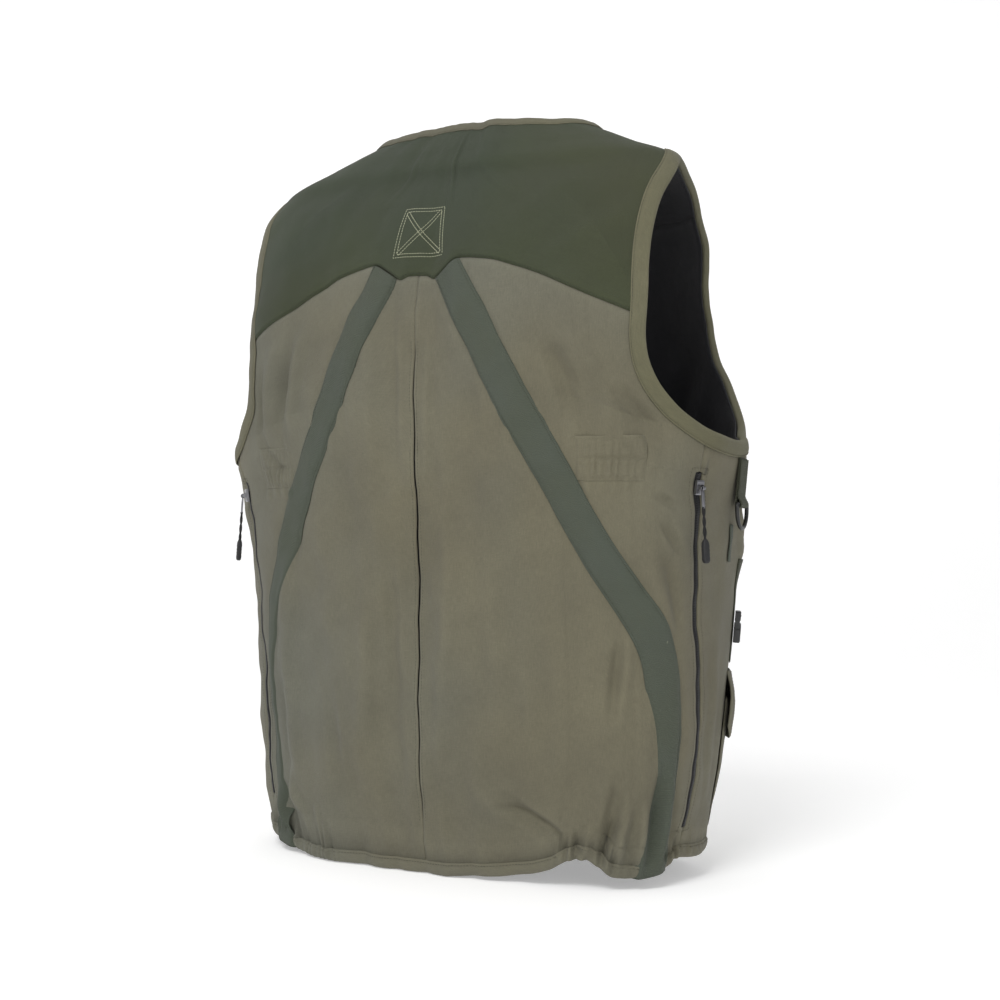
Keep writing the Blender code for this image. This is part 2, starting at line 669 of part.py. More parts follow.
def front_zip_edge(side, z):
    """Return a front's edge beside the zip at these heights."""
    line = np.stack([np.full(len(z), side * 180.0), z], -1)
    return shift_degrees(line, -side * ZIP_HALF)


def front_grid(side):
    """Fill a front, below the armhole over its whole width and above it from armhole to zip.

    The grid runs from the side seam to the zip. A mask beside it tells which cells are cloth:
    those that would lie across the armhole are not.
    """
    arm = arm_edge(side)
    seam = side_edge(side, side)
    bottom_arc = arm[ARM_SIDE:ARM_FRONT_CORNER + 1]
    top = front_top(side)
    front_arc = arm[ARM_FRONT_CORNER:ARM_YOKE_FRONT + 1]
    front_arc[-1] = top[0]
    share = line_shares(front_arc)
    upper_zip = front_zip_edge(side, FRONT_CORNER_Z + share * (NECK_EDGE[-1].z - FRONT_CORNER_Z))
    level_angles = front_arc[0, 0] + line_shares(top) * (upper_zip[0, 0] - front_arc[0, 0])
    level_z = np.linspace(front_arc[0, 1], FRONT_CORNER_Z, len(top))
    level = np.stack([level_angles, level_z], -1)
    upper = fill(level, top, front_arc, upper_zip)
    shelf = np.concatenate([bottom_arc, level[1:]])
    shelf[0] = seam[-1]
    lower_share = line_shares(seam)
    hem_level = float(hem_z(180.0)) + HEM_TALL
    lower_zip = front_zip_edge(side, hem_level + lower_share * (FRONT_CORNER_Z - hem_level))
    lower_zip[-1] = shelf[-1]
    angles = seam[0, 0] + line_shares(shelf) * (lower_zip[0, 0] - seam[0, 0])
    bottom = np.stack([angles, hem_z(angles) + HEM_TALL], -1)
    bottom[0] = seam[0]
    bottom[-1] = lower_zip[0]
    lower = fill(bottom, shelf, seam, lower_zip)
    rows, outside = len(seam) - 1, len(bottom_arc) - 1
    grid = np.zeros((rows + len(front_arc), lower.shape[1], 2))
    grid[:rows + 1] = lower
    grid[rows + 1:, outside:] = upper[1:]
    grid[rows + 1:, :outside] = upper[1:, :1]
    keep = np.ones((grid.shape[0] - 1, grid.shape[1] - 1), bool)
    keep[rows:, :outside] = False
    return grid, keep


def trim_front(grid, keep, side_inset, hem_inset, zip_inset, arm_inset, top_inset):
    """Draw in the edges of a front's grid, with those of its armhole."""
    rows = int(np.argmin(keep[:, 0]))
    outside = int(np.argmax(keep[-1]))
    low = trim(grid[:rows + 1], (side_inset, zip_inset, hem_inset, 0.0))
    high = trim(grid[rows:, outside:], (arm_inset, zip_inset, 0.0, top_inset))
    out = grid.copy()
    out[:rows + 1] = low
    out[rows + 1:, outside:] = high[1:]
    shelf = trim(out[:rows + 1, :outside + 1], (0.0, 0.0, 0.0, arm_inset))[-1]
    out[rows, :outside + 1] = shelf
    return out


def yoke_outer_edge():
    """Return the yoke's outer edge: right armhole, back edge, left armhole."""
    def arm_arc(side):
        arm = arm_edge(side)
        return np.concatenate([arm[ARM_YOKE_FRONT:], arm[:ARM_YOKE_BACK]])

    angles = np.concatenate([-np.array(YOKE_COLUMNS), np.array(YOKE_COLUMNS[-2::-1])])
    back = np.stack([angles, yoke_edge_z(angles)], -1)
    return np.concatenate([arm_arc(RIGHT), back, arm_arc(LEFT)[::-1]])


def yoke_neck_edge():
    """Return the neck's edge along the yoke, a place for each place of its outer edge."""
    arc = len(arm_edge(LEFT)) - ARM_YOKE_FRONT + ARM_YOKE_BACK
    shares = np.array([0.0, 0.33, 0.67, 1.0])
    angles = np.array([FRONT_SEAM_NECK, 104.0, 78.0, 58.0])
    over = smooth_curve(np.arange(arc) / arc, shares, angles)
    columns = np.array(YOKE_COLUMNS)
    back = columns / columns[0] * angles[-1]
    right = np.concatenate([-over, -back])
    whole = np.concatenate([right, -right[-2::-1]])
    return np.stack([whole, neck_z(whole)], -1)


def yoke_grid():
    outer_edge = yoke_outer_edge()
    neck = yoke_neck_edge()
    left = between(outer_edge[0], neck[0], YOKE_SHARES)
    right = between(outer_edge[-1], neck[-1], YOKE_SHARES)
    return fill(outer_edge, neck, left, right)


def make_panels():
    half = SEAM / 2
    for side, word in SIDES:
        wall("back_" + word, "shell_cloth", back_grid(side), 0.0, CLOTH)
        grid, keep = front_grid(side)
        grid = trim_front(grid, keep, half, half, 0.0, half, half)
        wall("front_" + word, "shell_cloth", grid, 0.0, CLOTH, (0.0,) * 4, keep=keep)
    wall("yoke", "yoke_cloth", yoke_grid(), 0.0, YOKE_OUT)


def kept_lines(count, corner=0):
    """Pick every second line of a grid, its last one, and the one at a corner."""
    picked = {k for k in range(0, count, 2) if abs(k - corner) != 1}
    return sorted(picked | {corner, count - 1})


def make_linings():
    """Make the dark lining that shows in the armholes, neck and back pleat."""
    right, left = back_grid(RIGHT), back_grid(LEFT)
    rows, columns = kept_lines(right.shape[0]), kept_lines(right.shape[1])
    right, left = right[rows][:, columns], left[:, ::-1][rows][:, columns][:, ::-1]
    middle = (right[:, -1:] + left[:, :1]) / 2
    middle[..., 0] = 0.0
    back = np.concatenate([right[:, :-1], middle, left[:, 1:]], axis=1)
    cut_back, gap = LINING_CUT_BACK, LINING_GAP
    lining = "lining_cloth"
    wall("lining_back", lining, back, LINING_IN, LINING_OUT, (cut_back, cut_back, gap, gap), False)
    for side, word in SIDES:
        grid, keep = front_grid(side)
        rows = kept_lines(grid.shape[0], int(np.argmin(keep[:, 0])))
        columns = kept_lines(grid.shape[1], ARM_FRONT_CORNER - ARM_SIDE)
        grid = grid[rows][:, columns]
        keep = keep[rows[:-1]][:, columns[:-1]]
        grid = trim_front(grid, keep, gap, gap, gap, cut_back, cut_back)
        wall("lining_front_" + word, lining, grid, LINING_IN, LINING_OUT, (0.0,) * 4, False, keep)
    yoke = yoke_grid()
    yoke = yoke[kept_lines(yoke.shape[0])][:, kept_lines(yoke.shape[1])]
    wall("lining_yoke", lining, yoke, LINING_IN, LINING_OUT, (gap, gap, cut_back, cut_back), False)


def binding_sections(line, width, cloth_side, closed):
    """Return the sections of a tape that is folded over an edge of the cloth."""
    def offset_line(distance):
        return beside(line, cloth_side * distance, closed)

    past = offset_line(-BIND_TURN)
    edge = offset_line(-SEAM)
    middle = offset_line(width / 2)
    inside = offset_line(width)
    across = [inside, middle] if width > NECK_BIND_WIDTH else [inside]
    stack = [(line, BIND_OUT) for line in (*across, past)]
    stack += [(line, BIND_IN) for line in (past, *across[::-1])]
    stack += [(line, BIND_UNDER) for line in (*across, edge)]
    stack += [(line, BIND_ON) for line in (edge, *across[::-1])]
    return np.stack([skin(places, np.full(len(places), height), False) for places, height in stack], axis=1)


def make_arm_bindings():
    for side, word in SIDES:
        sections = binding_sections(arm_edge(side), BIND_WIDTH, side, True)
        loft("binding_arm_" + word, "binding_tape", sections, True)


def make_neck_binding():
    """Make the narrow tape round the neck, open where the front zip ends."""
    slopes = {}
    for side in (LEFT, RIGHT):
        slopes[side] = front_top(side)[len(YOKE_SHARES):]
    line = np.concatenate([slopes[RIGHT][::-1], yoke_neck_edge(), slopes[LEFT]])
    loft("binding_neck", "binding_tape", binding_sections(line, NECK_BIND_WIDTH, 1, False), False)


def gather_wave(share, waves):
    """Return a row of soft puckers, from 0 to 1 and flat at both ends."""
    return 0.5 * (1 - np.cos(share * waves * 2 * math.pi)) * np.sin(share * math.pi) ** 0.5


def hem_wall(name, edge):
    """Build a length of hem casing under the lower edge line of the panels above."""
    coarse = edge.copy()
    share = []
    for i in range(len(coarse) - 1):
        low, high = sorted((coarse[i, 0], coarse[i + 1, 0]))
        gathered = any(low < end and high > start for start, end in HEM_GATHERS)
        split = HEM_SPLIT if gathered else 1
        share += [i + k / split for k in range(split)]
    share = np.array(share + [len(coarse) - 1.0])
    index = np.clip(share.astype(int), 0, len(coarse) - 2)
    blend = (share - index)[:, None]
    angles = (coarse[index] * (1 - blend) + coarse[index + 1] * blend)[:, 0]
    pucker = np.zeros(len(angles))
    for start, end in HEM_GATHERS:
        inside = np.clip((angles - start) / (end - start), 0, 1)
        pucker = np.maximum(pucker, HEM_PUCKER * gather_wave(inside, HEM_WAVES))

    def top_row(height):
        points = skin(coarse, np.full(len(coarse), height))
        return points[index] * (1 - blend) + points[index + 1] * blend

    def row(drop, height):
        return skin(np.stack([angles, hem_z(angles) + HEM_TALL - drop], -1), height)

    def lowered(points):
        return points - np.array([0, 0, SEAM])

    flat = np.zeros(len(angles))
    outer = [row(HEM_TALL, HEM_OUT - HEM_LIP + pucker), row(HEM_TALL / 2, HEM_OUT + pucker)]
    outer.append(lowered(top_row(HEM_OUT)))
    inner = [row(HEM_TALL, flat), row(HEM_TALL / 2, flat), lowered(top_row(0.0))]
    return wall_from_points(name, "shell_cloth", np.array(inner), np.array(outer))


def make_hems():
    right, left = back_grid(RIGHT)[0], back_grid(LEFT)[0]
    centre = np.array([[0.0, hem_z(0.0) + HEM_TALL]])
    back = np.concatenate([right[:-1], centre, left[1:]])
    back[0] = shift_degrees(back[:1], SEAM / 2)[0]
    back[-1] = shift_degrees(back[-1:], -SEAM / 2)[0]
    hem_wall("hem_back", back)
    for side, word in SIDES:
        edge = front_grid(side)[0][0]
        edge[0] = shift_degrees(edge[:1], side * SEAM / 2)[0]
        hem_wall("hem_front_" + word, edge)


def strap_line(side):
    """Return a strap's middle line, from just below the yoke to the bottom of the hem."""
    bottom = float(hem_z(side * read_column(STRAPS, side_name(side), HEM_LEVEL)))
    upper = np.linspace(STRAP_TOP, STRAP_UPPER_END, STRAP_UPPER_ROWS)
    lower = np.linspace(STRAP_LOWER_TOP, bottom + 2 * HEM_TALL, STRAP_LOWER_ROWS)
    z = np.concatenate([upper, lower, [bottom + 1.4 * HEM_TALL, bottom + MM]])
    return np.stack([side * read_column(STRAPS, side_name(side), z), z], -1)


def band(line, width, columns=2):
    """Widen a line of places into a grid, column by column across it."""
    offsets = np.linspace(width / 2, -width / 2, columns + 1)
    lines = [beside(line, offset) for offset in offsets]
    grid = np.stack(lines, axis=1)
    return grid[::-1] if line[0, 1] > line[-1, 1] else grid


def make_straps():
    for side, word in SIDES:
        line = strap_line(side)
        grid = band(line[::-1], STRAP_WIDE)
        corners = grid[-1]
        corners[:, 1] = yoke_edge_z(corners[:, 0]) - MM
        lift = np.zeros(grid.shape[:2])
        lift[:2] = STRAP_OVER_HEM
        lift[2] = STRAP_OVER_HEM / 2
        wall("strap_" + word, "strap_webbing", grid, ON_CLOTH + lift, TAPE_OUT + lift)


def make_waist_gathers():
    """Make the casing of the waist elastic, puckered in an upright wave each."""
    steps = WAIST_WAVES * 4 + 1
    for side, word in SIDES:
        start, end = WAIST_SPAN[side]
        angles = np.linspace(side * start, side * end, steps)
        if side == RIGHT:
            angles = angles[::-1]
        rows = WAIST_Z + np.array([-0.5, 0.0, 0.5]) * WAIST_TALL
        grid = np.stack(np.meshgrid(angles, rows), -1)
        wave = WAIST_PUCKER * gather_wave(np.linspace(0, 1, steps), WAIST_WAVES)
        outer = TAPE_OUT + np.outer([WAIST_EDGE, 1.0, WAIST_EDGE], wave)
        wall("waist_casing_" + word, "shell_cloth", grid, ON_CLOTH, outer, (0.0,) * 4)


def zip_sections(line):
    """Return the sections of a closed zip: its tape, and the chain standing proud of it."""
    chain, edge = ZIP_CHAIN_HALF, ZIP_HALF - SEAM
    stack = [(-edge, ZIP_LOW), (edge, ZIP_LOW), (edge, ZIP_TAPE), (chain, ZIP_TAPE)]
    stack += [(chain, ZIP_CHAIN), (-chain, ZIP_CHAIN), (-chain, ZIP_TAPE), (-edge, ZIP_TAPE)]
    return np.stack([skin(shift_degrees(line, x), np.full(len(line), h)) for x, h in stack], axis=1)


def make_zips():
    for side, word in SIDES:
        z, half = side_heights(side)
        z = z[half > 0]
        z[0] += SEAM
        z[-1] -= SEAM
        line = np.stack([side_angle(side, z), z], -1)
        loft("zip_" + word, "zip_tape", zip_sections(line), False)
    low, high = float(hem_z(180.0)) + MM, NECK_EDGE[-1].z - SEAM
    z = np.linspace(low, high, FRONT_ZIP_ROWS)
    line = np.stack([np.full(len(z), 180.0), z], -1)
    loft("zip_front", "zip_tape", zip_sections(line), False)


def cloth_place(angle, z, height):
    """Return a frame on the cloth: x round the body, y outwards, z up the cloth."""
    point, along, _, out = (v[0] for v in surface_frame(np.array([float(angle)]), np.array([float(z)])))
    lift = float(fold_lift(np.array([float(angle)]), np.array([float(z)]))[0])
    origin = Vector(point + out * (height + lift))
    x, y = Vector(along).normalized(), Vector(out)
    return Matrix.Translation(origin) @ Matrix((x, y, x.cross(y))).transposed().to_4x4()


def upright_place(origin, x):
    """Return a frame at this point whose z is straight up and whose x is given."""
    up = Vector((0, 0, 1))
    y = up.cross(x).normalized()
    return Matrix.Translation(origin) @ Matrix((x, y, up)).transposed().to_4x4()


def prism(name, finish_name, outline, half_wide, place):
    """Make a bar with this outline, given as (out, up) points, across the frame's x."""
    count = len(outline)
    vertices = [(x, y, z) for x in (-half_wide, half_wide) for y, z in outline]
    faces = [tuple(range(count)), tuple(range(2 * count - 1, count - 1, -1))]
    for i in range(count):
        n = (i + 1) % count
        faces.append((i, i + count, n + count, n))
    return add_object(name, finish_name, vertices, faces, place)


def as_guide(thing):
    """Hide an object that only shapes another one."""
    thing.hide_render = True
    thing.display_type = "WIRE"
    return thing


def guide_cylinder(name, radius, length, place, sides=16):
    """Make a hidden cutter along the frame's x."""
    mesh = bpy.data.meshes.new(name)
    work = bmesh.new()
    bmesh.ops.create_cone(work, cap_ends=True, segments=sides, radius1=radius, radius2=radius, depth=length)
    bmesh.ops.rotate(work, verts=work.verts, matrix=Matrix.Rotation(math.pi / 2, 3, "Y"))
    work.to_mesh(mesh)
    work.free()
    cutter = bpy.data.objects.new(name, mesh)
    bpy.context.scene.collection.objects.link(cutter)
    cutter.matrix_world = place
    return as_guide(cutter)


def cut(thing, cutter, operation="DIFFERENCE"):
    change = thing.modifiers.new(cutter.name, "BOOLEAN")
    change.operation = operation
    change.object = cutter


def pullers():
    """List the three sliders."""
    side_z = SIDE_ZIP_TOP - SIDE_SLIDER_DROP
    front_z = NECK_EDGE[-1].z - FRONT_SLIDER_DROP
    return (
        Puller("left", float(side_angle(LEFT, side_z)), side_z, SIDE_PULL_LEAN, True),
        Puller("right", float(side_angle(RIGHT, side_z)), side_z, SIDE_PULL_LEAN, True),
        Puller("front", 180.0, front_z, FRONT_PULL_LEAN, False),
    )


def make_slider(puller):
    """Make a slider with two cheeks, a pin between them, and the pull that swings on it."""
    place = cloth_place(puller.angle, puller.z, SLIDER_LOW)
    half = SLIDER_TALL / 2
    rounded = [(0, -half), (SLIDER_THICK * 0.7, -half), (SLIDER_THICK, -half * 0.8)]
    rounded += [(SLIDER_THICK, half * 0.8), (SLIDER_THICK * 0.7, half), (0, half)]
    slider = prism("slider_" + puller.name, "zip_metal", rounded, SLIDER_WIDE / 2, place)
    pin_y = SLIDER_THICK + PIN_RISE
    foot, top = SLIDER_THICK - CHEEK_SINK, pin_y + CHEEK_OVER
    cheek = [(foot, CHEEK_FOOT[0]), (top, -CHEEK_TOP_HALF), (top, CHEEK_TOP_HALF), (foot, CHEEK_FOOT[1])]
    for sign in (LEFT, RIGHT):
        shift = Matrix.Translation((sign * (CHEEK_GAP + CHEEK_HALF), 0, 0))
        block = prism("guide_cheek", "zip_metal", cheek, CHEEK_HALF, place @ shift)
        cut(slider, as_guide(block), "UNION")
    pin_place = place @ Matrix.Translation((0, pin_y, 0))
    pin = guide_cylinder("guide_pin", PIN_RADIUS, 2 * (CHEEK_GAP + CHEEK_SINK), pin_place, 10)
    cut(slider, pin, "UNION")
    make_pull(puller, pin_place)


def make_pull(puller, pin_place):
    """Make a pull tab with an eye round the slider's pin; a side pull goes on to a cord and grip."""
    upright = upright_place(pin_place.translation, pin_place.to_3x3().col[0])
    place = upright @ Matrix.Rotation(math.radians(puller.lean), 4, "X")
    thick = TAB_THICK / 2
    outline = [(EYE_OUT * math.sin(a), EYE_OUT * math.cos(a)) for a in np.radians(np.linspace(-140, 140, 11))]
    outline += [(thick, -TAB_NECK), (thick, -TAB_LONG), (-thick, -TAB_LONG), (-thick, -TAB_NECK)]
    pull = prism("pull_" + puller.name, "zip_metal", outline, TAB_HALF, place)
    cut(pull, guide_cylinder("guide_eye", EYE_RADIUS, 4 * TAB_HALF, place, 12))
    if puller.has_cord:
        low, high = -TAB_LONG - CORD_LONG, -TAB_LONG + CORD_LAP
        cord = [(-CORD_HALF, low), (CORD_HALF, low), (CORD_HALF, high), (-CORD_HALF, high)]
        grip_low, grip_high = low - GRIP_LONG, low + GRIP_LAP
        grip = [(-GRIP_DEEP, grip_low), (GRIP_DEEP, grip_low), (GRIP_DEEP, grip_high - GRIP_BEVEL)]
        grip += [(GRIP_NOSE, grip_high), (-GRIP_NOSE, grip_high), (-GRIP_DEEP, grip_high - GRIP_BEVEL)]
        for name, shape, half in (("guide_cord", cord, CORD_HALF), ("guide_grip", grip, GRIP_HALF)):
            cut(pull, as_guide(prism(name, "black_plastic", shape, half, place)), "UNION")


def ring_points():
    """Return the middle line of a D-ring, with the middle of its straight bar at the origin."""
    half, corner = RING_WIDE / 2, RING_CORNER
    bar_half = half - 2 * MM
    bar = [(x, 0.0) for x in np.linspace(bar_half, -bar_half, 6)]
    turn = [(-half * math.cos(a), -RING_SHOULDER - (RING_TALL - RING_SHOULDER) * math.sin(a))
            for a in np.radians(np.linspace(0, 180, 13))]
    return bar + [(-half + corner, -corner)] + turn + [(half - corner, -corner)]


def make_ring(word, hang):
    """Make a D-ring round its middle line, hanging in this frame."""
    line = np.array([(x, 0.0, z) for x, z in ring_points()])
    ahead = np.roll(line, -1, axis=0) - np.roll(line, 1, axis=0)
    ahead /= np.linalg.norm(ahead, axis=1, keepdims=True)
    outward = np.array([0.0, 1.0, 0.0])
    turns = 2 * math.pi * np.arange(RING_SIDES) / RING_SIDES
    sections = []
    for point, tangent in zip(line, ahead):
        aside = np.cross(tangent, outward)
        sections.append([point + RING_ROD * (math.cos(a) * aside + math.sin(a) * outward) for a in turns])
    ring = loft("d_ring_" + word, "black_plastic", np.array(sections), True)
    ring.matrix_world = hang


def make_d_rings():
    """Make a webbing loop below each armhole, the D-ring that hangs in it, and a loose tape end."""
    turns = np.radians(np.linspace(30, 330, 15))
    loop = [(WEB_LOOP + WEB_LOOP * math.sin(a), -WEB_DROP + WEB_LOOP * math.cos(a)) for a in turns]
    outline = [(0, -WEB_DROP), (0, 0), (WEB_THICK, 0), (WEB_THICK, -WEB_DROP + WEB_NECK)] + loop
    for side, word in SIDES:
        angle = side * WEB_ANGLE
        place = cloth_place(angle, WEB_TOP, WEB_ON)
        web = prism("d_web_" + word, "dark_webbing", outline, WEB_WIDE / 2, place)
        pivot = place @ Matrix.Translation((0, WEB_LOOP, -WEB_DROP))
        cut(web, guide_cylinder("guide_bar", RING_ROD + RING_PLAY, 2 * WEB_WIDE, pivot))
        make_ring(word, upright_place(pivot.translation, place.to_3x3().col[0]))
        tail = band(np.stack([np.full(len(TAIL_Z), angle), TAIL_Z], -1), TAIL_WIDE, 1)
        wall("d_tail_" + word, "strap_webbing", tail, ON_CLOTH, TAPE_OUT, (0.0,) * 4)


def make_pockets():
    """Make a cargo pocket with a flap low on each front."""
    for side, word in SIDES:
        angles = np.sort(side * np.array(POCKET_ANGLES))
        grid = np.stack(np.meshgrid(angles, POCKET_Z), -1)
        puff = np.full(grid.shape[:2], POCKET_PUFF)
        for border in (puff[0], puff[-1], puff[:, 0], puff[:, -1]):
            border[:] = POCKET_BORDER
        wall("pocket_" + word, "shell_cloth", grid, POCKET_IN, puff, (0.0,) * 4)
        flap_ends = (POCKET_ANGLES[0] - FLAP_PAST, POCKET_ANGLES[-1] + FLAP_PAST)
        flap_angles = np.sort(side * np.array((flap_ends[0], *POCKET_ANGLES, flap_ends[1])))
        flap = np.stack(np.meshgrid(flap_angles, FLAP_Z), -1)
        height = np.repeat(np.array(FLAP_HEIGHTS)[:, None] * MM, len(flap_angles), axis=1)
        wall("pocket_flap_" + word, "shell_cloth", flap, height, height + FLAP_THICK, (0.0,) * 4)


def make_buckle_straps():
    """Make the strap above each pocket, with its fastened buckle."""
    for side, word in SIDES:
        z = np.linspace(*BUCKLE_STRAP_Z, BUCKLE_STRAP_ROWS)
        line = np.stack([np.full(len(z), side * BUCKLE_ANGLE), z], -1)
        strap = band(line, BUCKLE_STRAP_WIDE)
        wall("buckle_strap_" + word, "dark_webbing", strap, ON_CLOTH, TAPE_OUT, (0.0,) * 4)
        place = cloth_place(side * BUCKLE_ANGLE, BUCKLE_Z, TAPE_OUT + BUCKLE_LIFT)
        half, thick = BUCKLE_TALL / 2, BUCKLE_THICK
        outline = [(0, -half), (thick * 0.5, -half), (thick, -half * 0.6), (thick, half * 0.6)]
        outline += [(thick * 0.5, half), (0, half)]
        prism("buckle_" + word, "black_plastic", outline, BUCKLE_WIDE / 2, place)


def main():
    clear_scene()
    make_panels()
    make_linings()
    make_arm_bindings()
    make_neck_binding()
    make_hems()
    make_straps()
    make_waist_gathers()
    make_zips()
    for puller in pullers():
        make_slider(puller)
    make_d_rings()
    make_pockets()
    make_buckle_straps()
    bpy.context.view_layer.update()


main()
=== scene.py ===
"""Looks of the backpack vest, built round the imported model.

Metres, +Z up, the wearer faces -Y. As in the solids, a place on the cloth is an angle in degrees
round the body, 0 at the centre of the back and positive to the wearer's left, and a height z.
"""

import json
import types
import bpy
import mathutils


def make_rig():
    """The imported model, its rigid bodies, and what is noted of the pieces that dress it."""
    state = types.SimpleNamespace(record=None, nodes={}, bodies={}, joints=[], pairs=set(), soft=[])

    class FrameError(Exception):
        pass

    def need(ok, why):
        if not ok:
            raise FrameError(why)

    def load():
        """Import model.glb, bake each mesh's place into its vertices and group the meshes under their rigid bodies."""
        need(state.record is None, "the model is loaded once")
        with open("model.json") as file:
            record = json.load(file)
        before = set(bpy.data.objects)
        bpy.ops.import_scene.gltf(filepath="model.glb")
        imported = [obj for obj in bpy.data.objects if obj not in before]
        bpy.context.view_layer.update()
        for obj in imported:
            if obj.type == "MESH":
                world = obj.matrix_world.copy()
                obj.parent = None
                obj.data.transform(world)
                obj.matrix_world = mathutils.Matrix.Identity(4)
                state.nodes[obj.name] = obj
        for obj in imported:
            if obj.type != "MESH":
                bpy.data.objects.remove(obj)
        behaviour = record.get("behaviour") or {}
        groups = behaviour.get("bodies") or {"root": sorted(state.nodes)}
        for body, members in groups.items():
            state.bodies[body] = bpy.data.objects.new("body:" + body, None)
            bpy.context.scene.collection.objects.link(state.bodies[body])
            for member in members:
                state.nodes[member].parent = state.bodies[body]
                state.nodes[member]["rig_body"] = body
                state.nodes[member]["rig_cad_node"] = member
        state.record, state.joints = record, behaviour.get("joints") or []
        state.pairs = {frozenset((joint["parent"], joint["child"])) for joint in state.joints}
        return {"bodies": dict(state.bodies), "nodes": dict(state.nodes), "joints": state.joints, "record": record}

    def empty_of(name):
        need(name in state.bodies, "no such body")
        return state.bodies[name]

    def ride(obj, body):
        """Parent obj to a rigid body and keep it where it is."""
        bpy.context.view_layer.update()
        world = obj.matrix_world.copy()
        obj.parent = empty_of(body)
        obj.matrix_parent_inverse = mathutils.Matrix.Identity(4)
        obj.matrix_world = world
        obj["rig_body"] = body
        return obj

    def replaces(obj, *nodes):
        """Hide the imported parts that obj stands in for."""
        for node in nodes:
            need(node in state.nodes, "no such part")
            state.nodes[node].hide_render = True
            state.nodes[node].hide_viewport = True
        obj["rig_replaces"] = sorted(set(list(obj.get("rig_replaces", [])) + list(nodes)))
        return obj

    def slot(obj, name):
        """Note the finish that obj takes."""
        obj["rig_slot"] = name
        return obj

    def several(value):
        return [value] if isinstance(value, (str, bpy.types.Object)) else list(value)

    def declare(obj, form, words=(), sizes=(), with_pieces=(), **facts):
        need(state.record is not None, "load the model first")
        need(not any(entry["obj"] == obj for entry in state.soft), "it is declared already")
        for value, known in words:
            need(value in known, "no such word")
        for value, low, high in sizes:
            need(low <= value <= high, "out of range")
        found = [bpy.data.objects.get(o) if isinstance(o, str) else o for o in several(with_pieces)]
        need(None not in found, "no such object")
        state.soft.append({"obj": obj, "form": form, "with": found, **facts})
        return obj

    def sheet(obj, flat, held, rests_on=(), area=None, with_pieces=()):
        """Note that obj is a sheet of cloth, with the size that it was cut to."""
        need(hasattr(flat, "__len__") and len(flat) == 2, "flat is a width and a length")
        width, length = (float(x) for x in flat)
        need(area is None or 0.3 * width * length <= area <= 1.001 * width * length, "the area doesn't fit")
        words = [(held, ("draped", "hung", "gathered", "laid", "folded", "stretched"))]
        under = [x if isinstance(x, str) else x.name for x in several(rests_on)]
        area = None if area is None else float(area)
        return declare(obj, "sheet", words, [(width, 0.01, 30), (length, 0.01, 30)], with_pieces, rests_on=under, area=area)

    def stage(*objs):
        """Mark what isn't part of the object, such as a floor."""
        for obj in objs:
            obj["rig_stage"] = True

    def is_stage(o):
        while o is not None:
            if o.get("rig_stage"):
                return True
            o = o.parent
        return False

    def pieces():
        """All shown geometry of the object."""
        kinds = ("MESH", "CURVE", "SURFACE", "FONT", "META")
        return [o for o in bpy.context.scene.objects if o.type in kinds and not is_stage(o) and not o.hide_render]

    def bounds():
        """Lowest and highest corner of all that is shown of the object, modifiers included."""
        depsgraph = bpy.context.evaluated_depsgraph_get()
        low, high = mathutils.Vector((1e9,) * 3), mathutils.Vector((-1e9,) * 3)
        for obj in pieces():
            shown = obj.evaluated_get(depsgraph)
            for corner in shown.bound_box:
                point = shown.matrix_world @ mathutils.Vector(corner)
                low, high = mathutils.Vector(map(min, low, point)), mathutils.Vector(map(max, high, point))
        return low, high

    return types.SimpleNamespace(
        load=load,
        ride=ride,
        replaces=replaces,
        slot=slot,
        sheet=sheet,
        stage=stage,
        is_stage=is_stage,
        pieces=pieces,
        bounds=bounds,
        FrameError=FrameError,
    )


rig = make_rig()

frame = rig.load()
cad_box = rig.bounds()

import json
import math
from collections import namedtuple

import bmesh
import bpy
import numpy as np
from mathutils import Matrix, Vector

MM = 0.001
SEAM = 0.1 * MM
CLOTH = 2.0 * MM
YOKE_OUT = 2.7 * MM
LINING_OUT = -3.8 * MM
LINING_IN = -4.8 * MM
LINING_GAP = 1.0 * MM
ON_CLOTH = 2.3 * MM
TAPE_OUT = 3.5 * MM
BIND_WIDTH = 14.0 * MM
NECK_BIND_WIDTH = 9.5 * MM
HEM_TALL = 12.0 * MM
STRAP_WIDE = 32.5 * MM
ZIP_HALF = 3.9 * MM
# The back pleat's slit: its half width, top and bottom. The near-black lining that shows through it is painted shade
# for the pleat.
SLIT_HALF = 0.95 * MM
SLIT_TOP = -0.213
SLIT_BOTTOM = -0.650
SIDE_ZIP_TOP = -0.333
SIDE_ZIP_BOTTOM = -0.650
SIDE_SEAM_ROW = -0.314
FRONT_SEAM_NECK = 152.5
MEAN_RADIUS = 0.21
METRES_PER_DEGREE = MEAN_RADIUS * math.pi / 180
LEFT, RIGHT = 1, -1
SIDES = ((LEFT, "left"), (RIGHT, "right"))

HEM_LEVEL = -0.690
STRAP_TOP = -0.149
STRAP_ROWS = 210
STRAP_COLUMNS = 28
STRAP_SMOOTHING = 12
WAIST_Z = -0.3215
WAIST_TALL = 40 * MM
WAIST_WAVES = 9
WAIST_COLUMNS = 161
WAIST_PUCKER = 2.1 * MM
WAIST_ROWS = (0.07, 0.52, 0.94)
WAIST_SPAN = {LEFT: (53.8, 65.0), RIGHT: (53.8, 66.5)}
ZIP_FACE = 0.9 * MM
SLIDER_LOW = 2.9 * MM
SLIDER_THICK = 2.6 * MM
SIDE_SLIDER_DROP = 13 * MM
FRONT_SLIDER_DROP = 14 * MM
PIN_RISE = 2.8 * MM
EYE_MIDDLE = 1.72 * MM
TAB_HALF = 1.6 * MM
TAB_LONG = 18.0 * MM
SIDE_PULL_LEAN = 4.0
FRONT_PULL_LEAN = 14.0
CORD_LONG = 28.0 * MM
GRIP_LONG = 20.0 * MM
GRIP_LAP = 1.0 * MM
GRIP_DEEP = 2.3 * MM
GRIP_HALF = 3.6 * MM
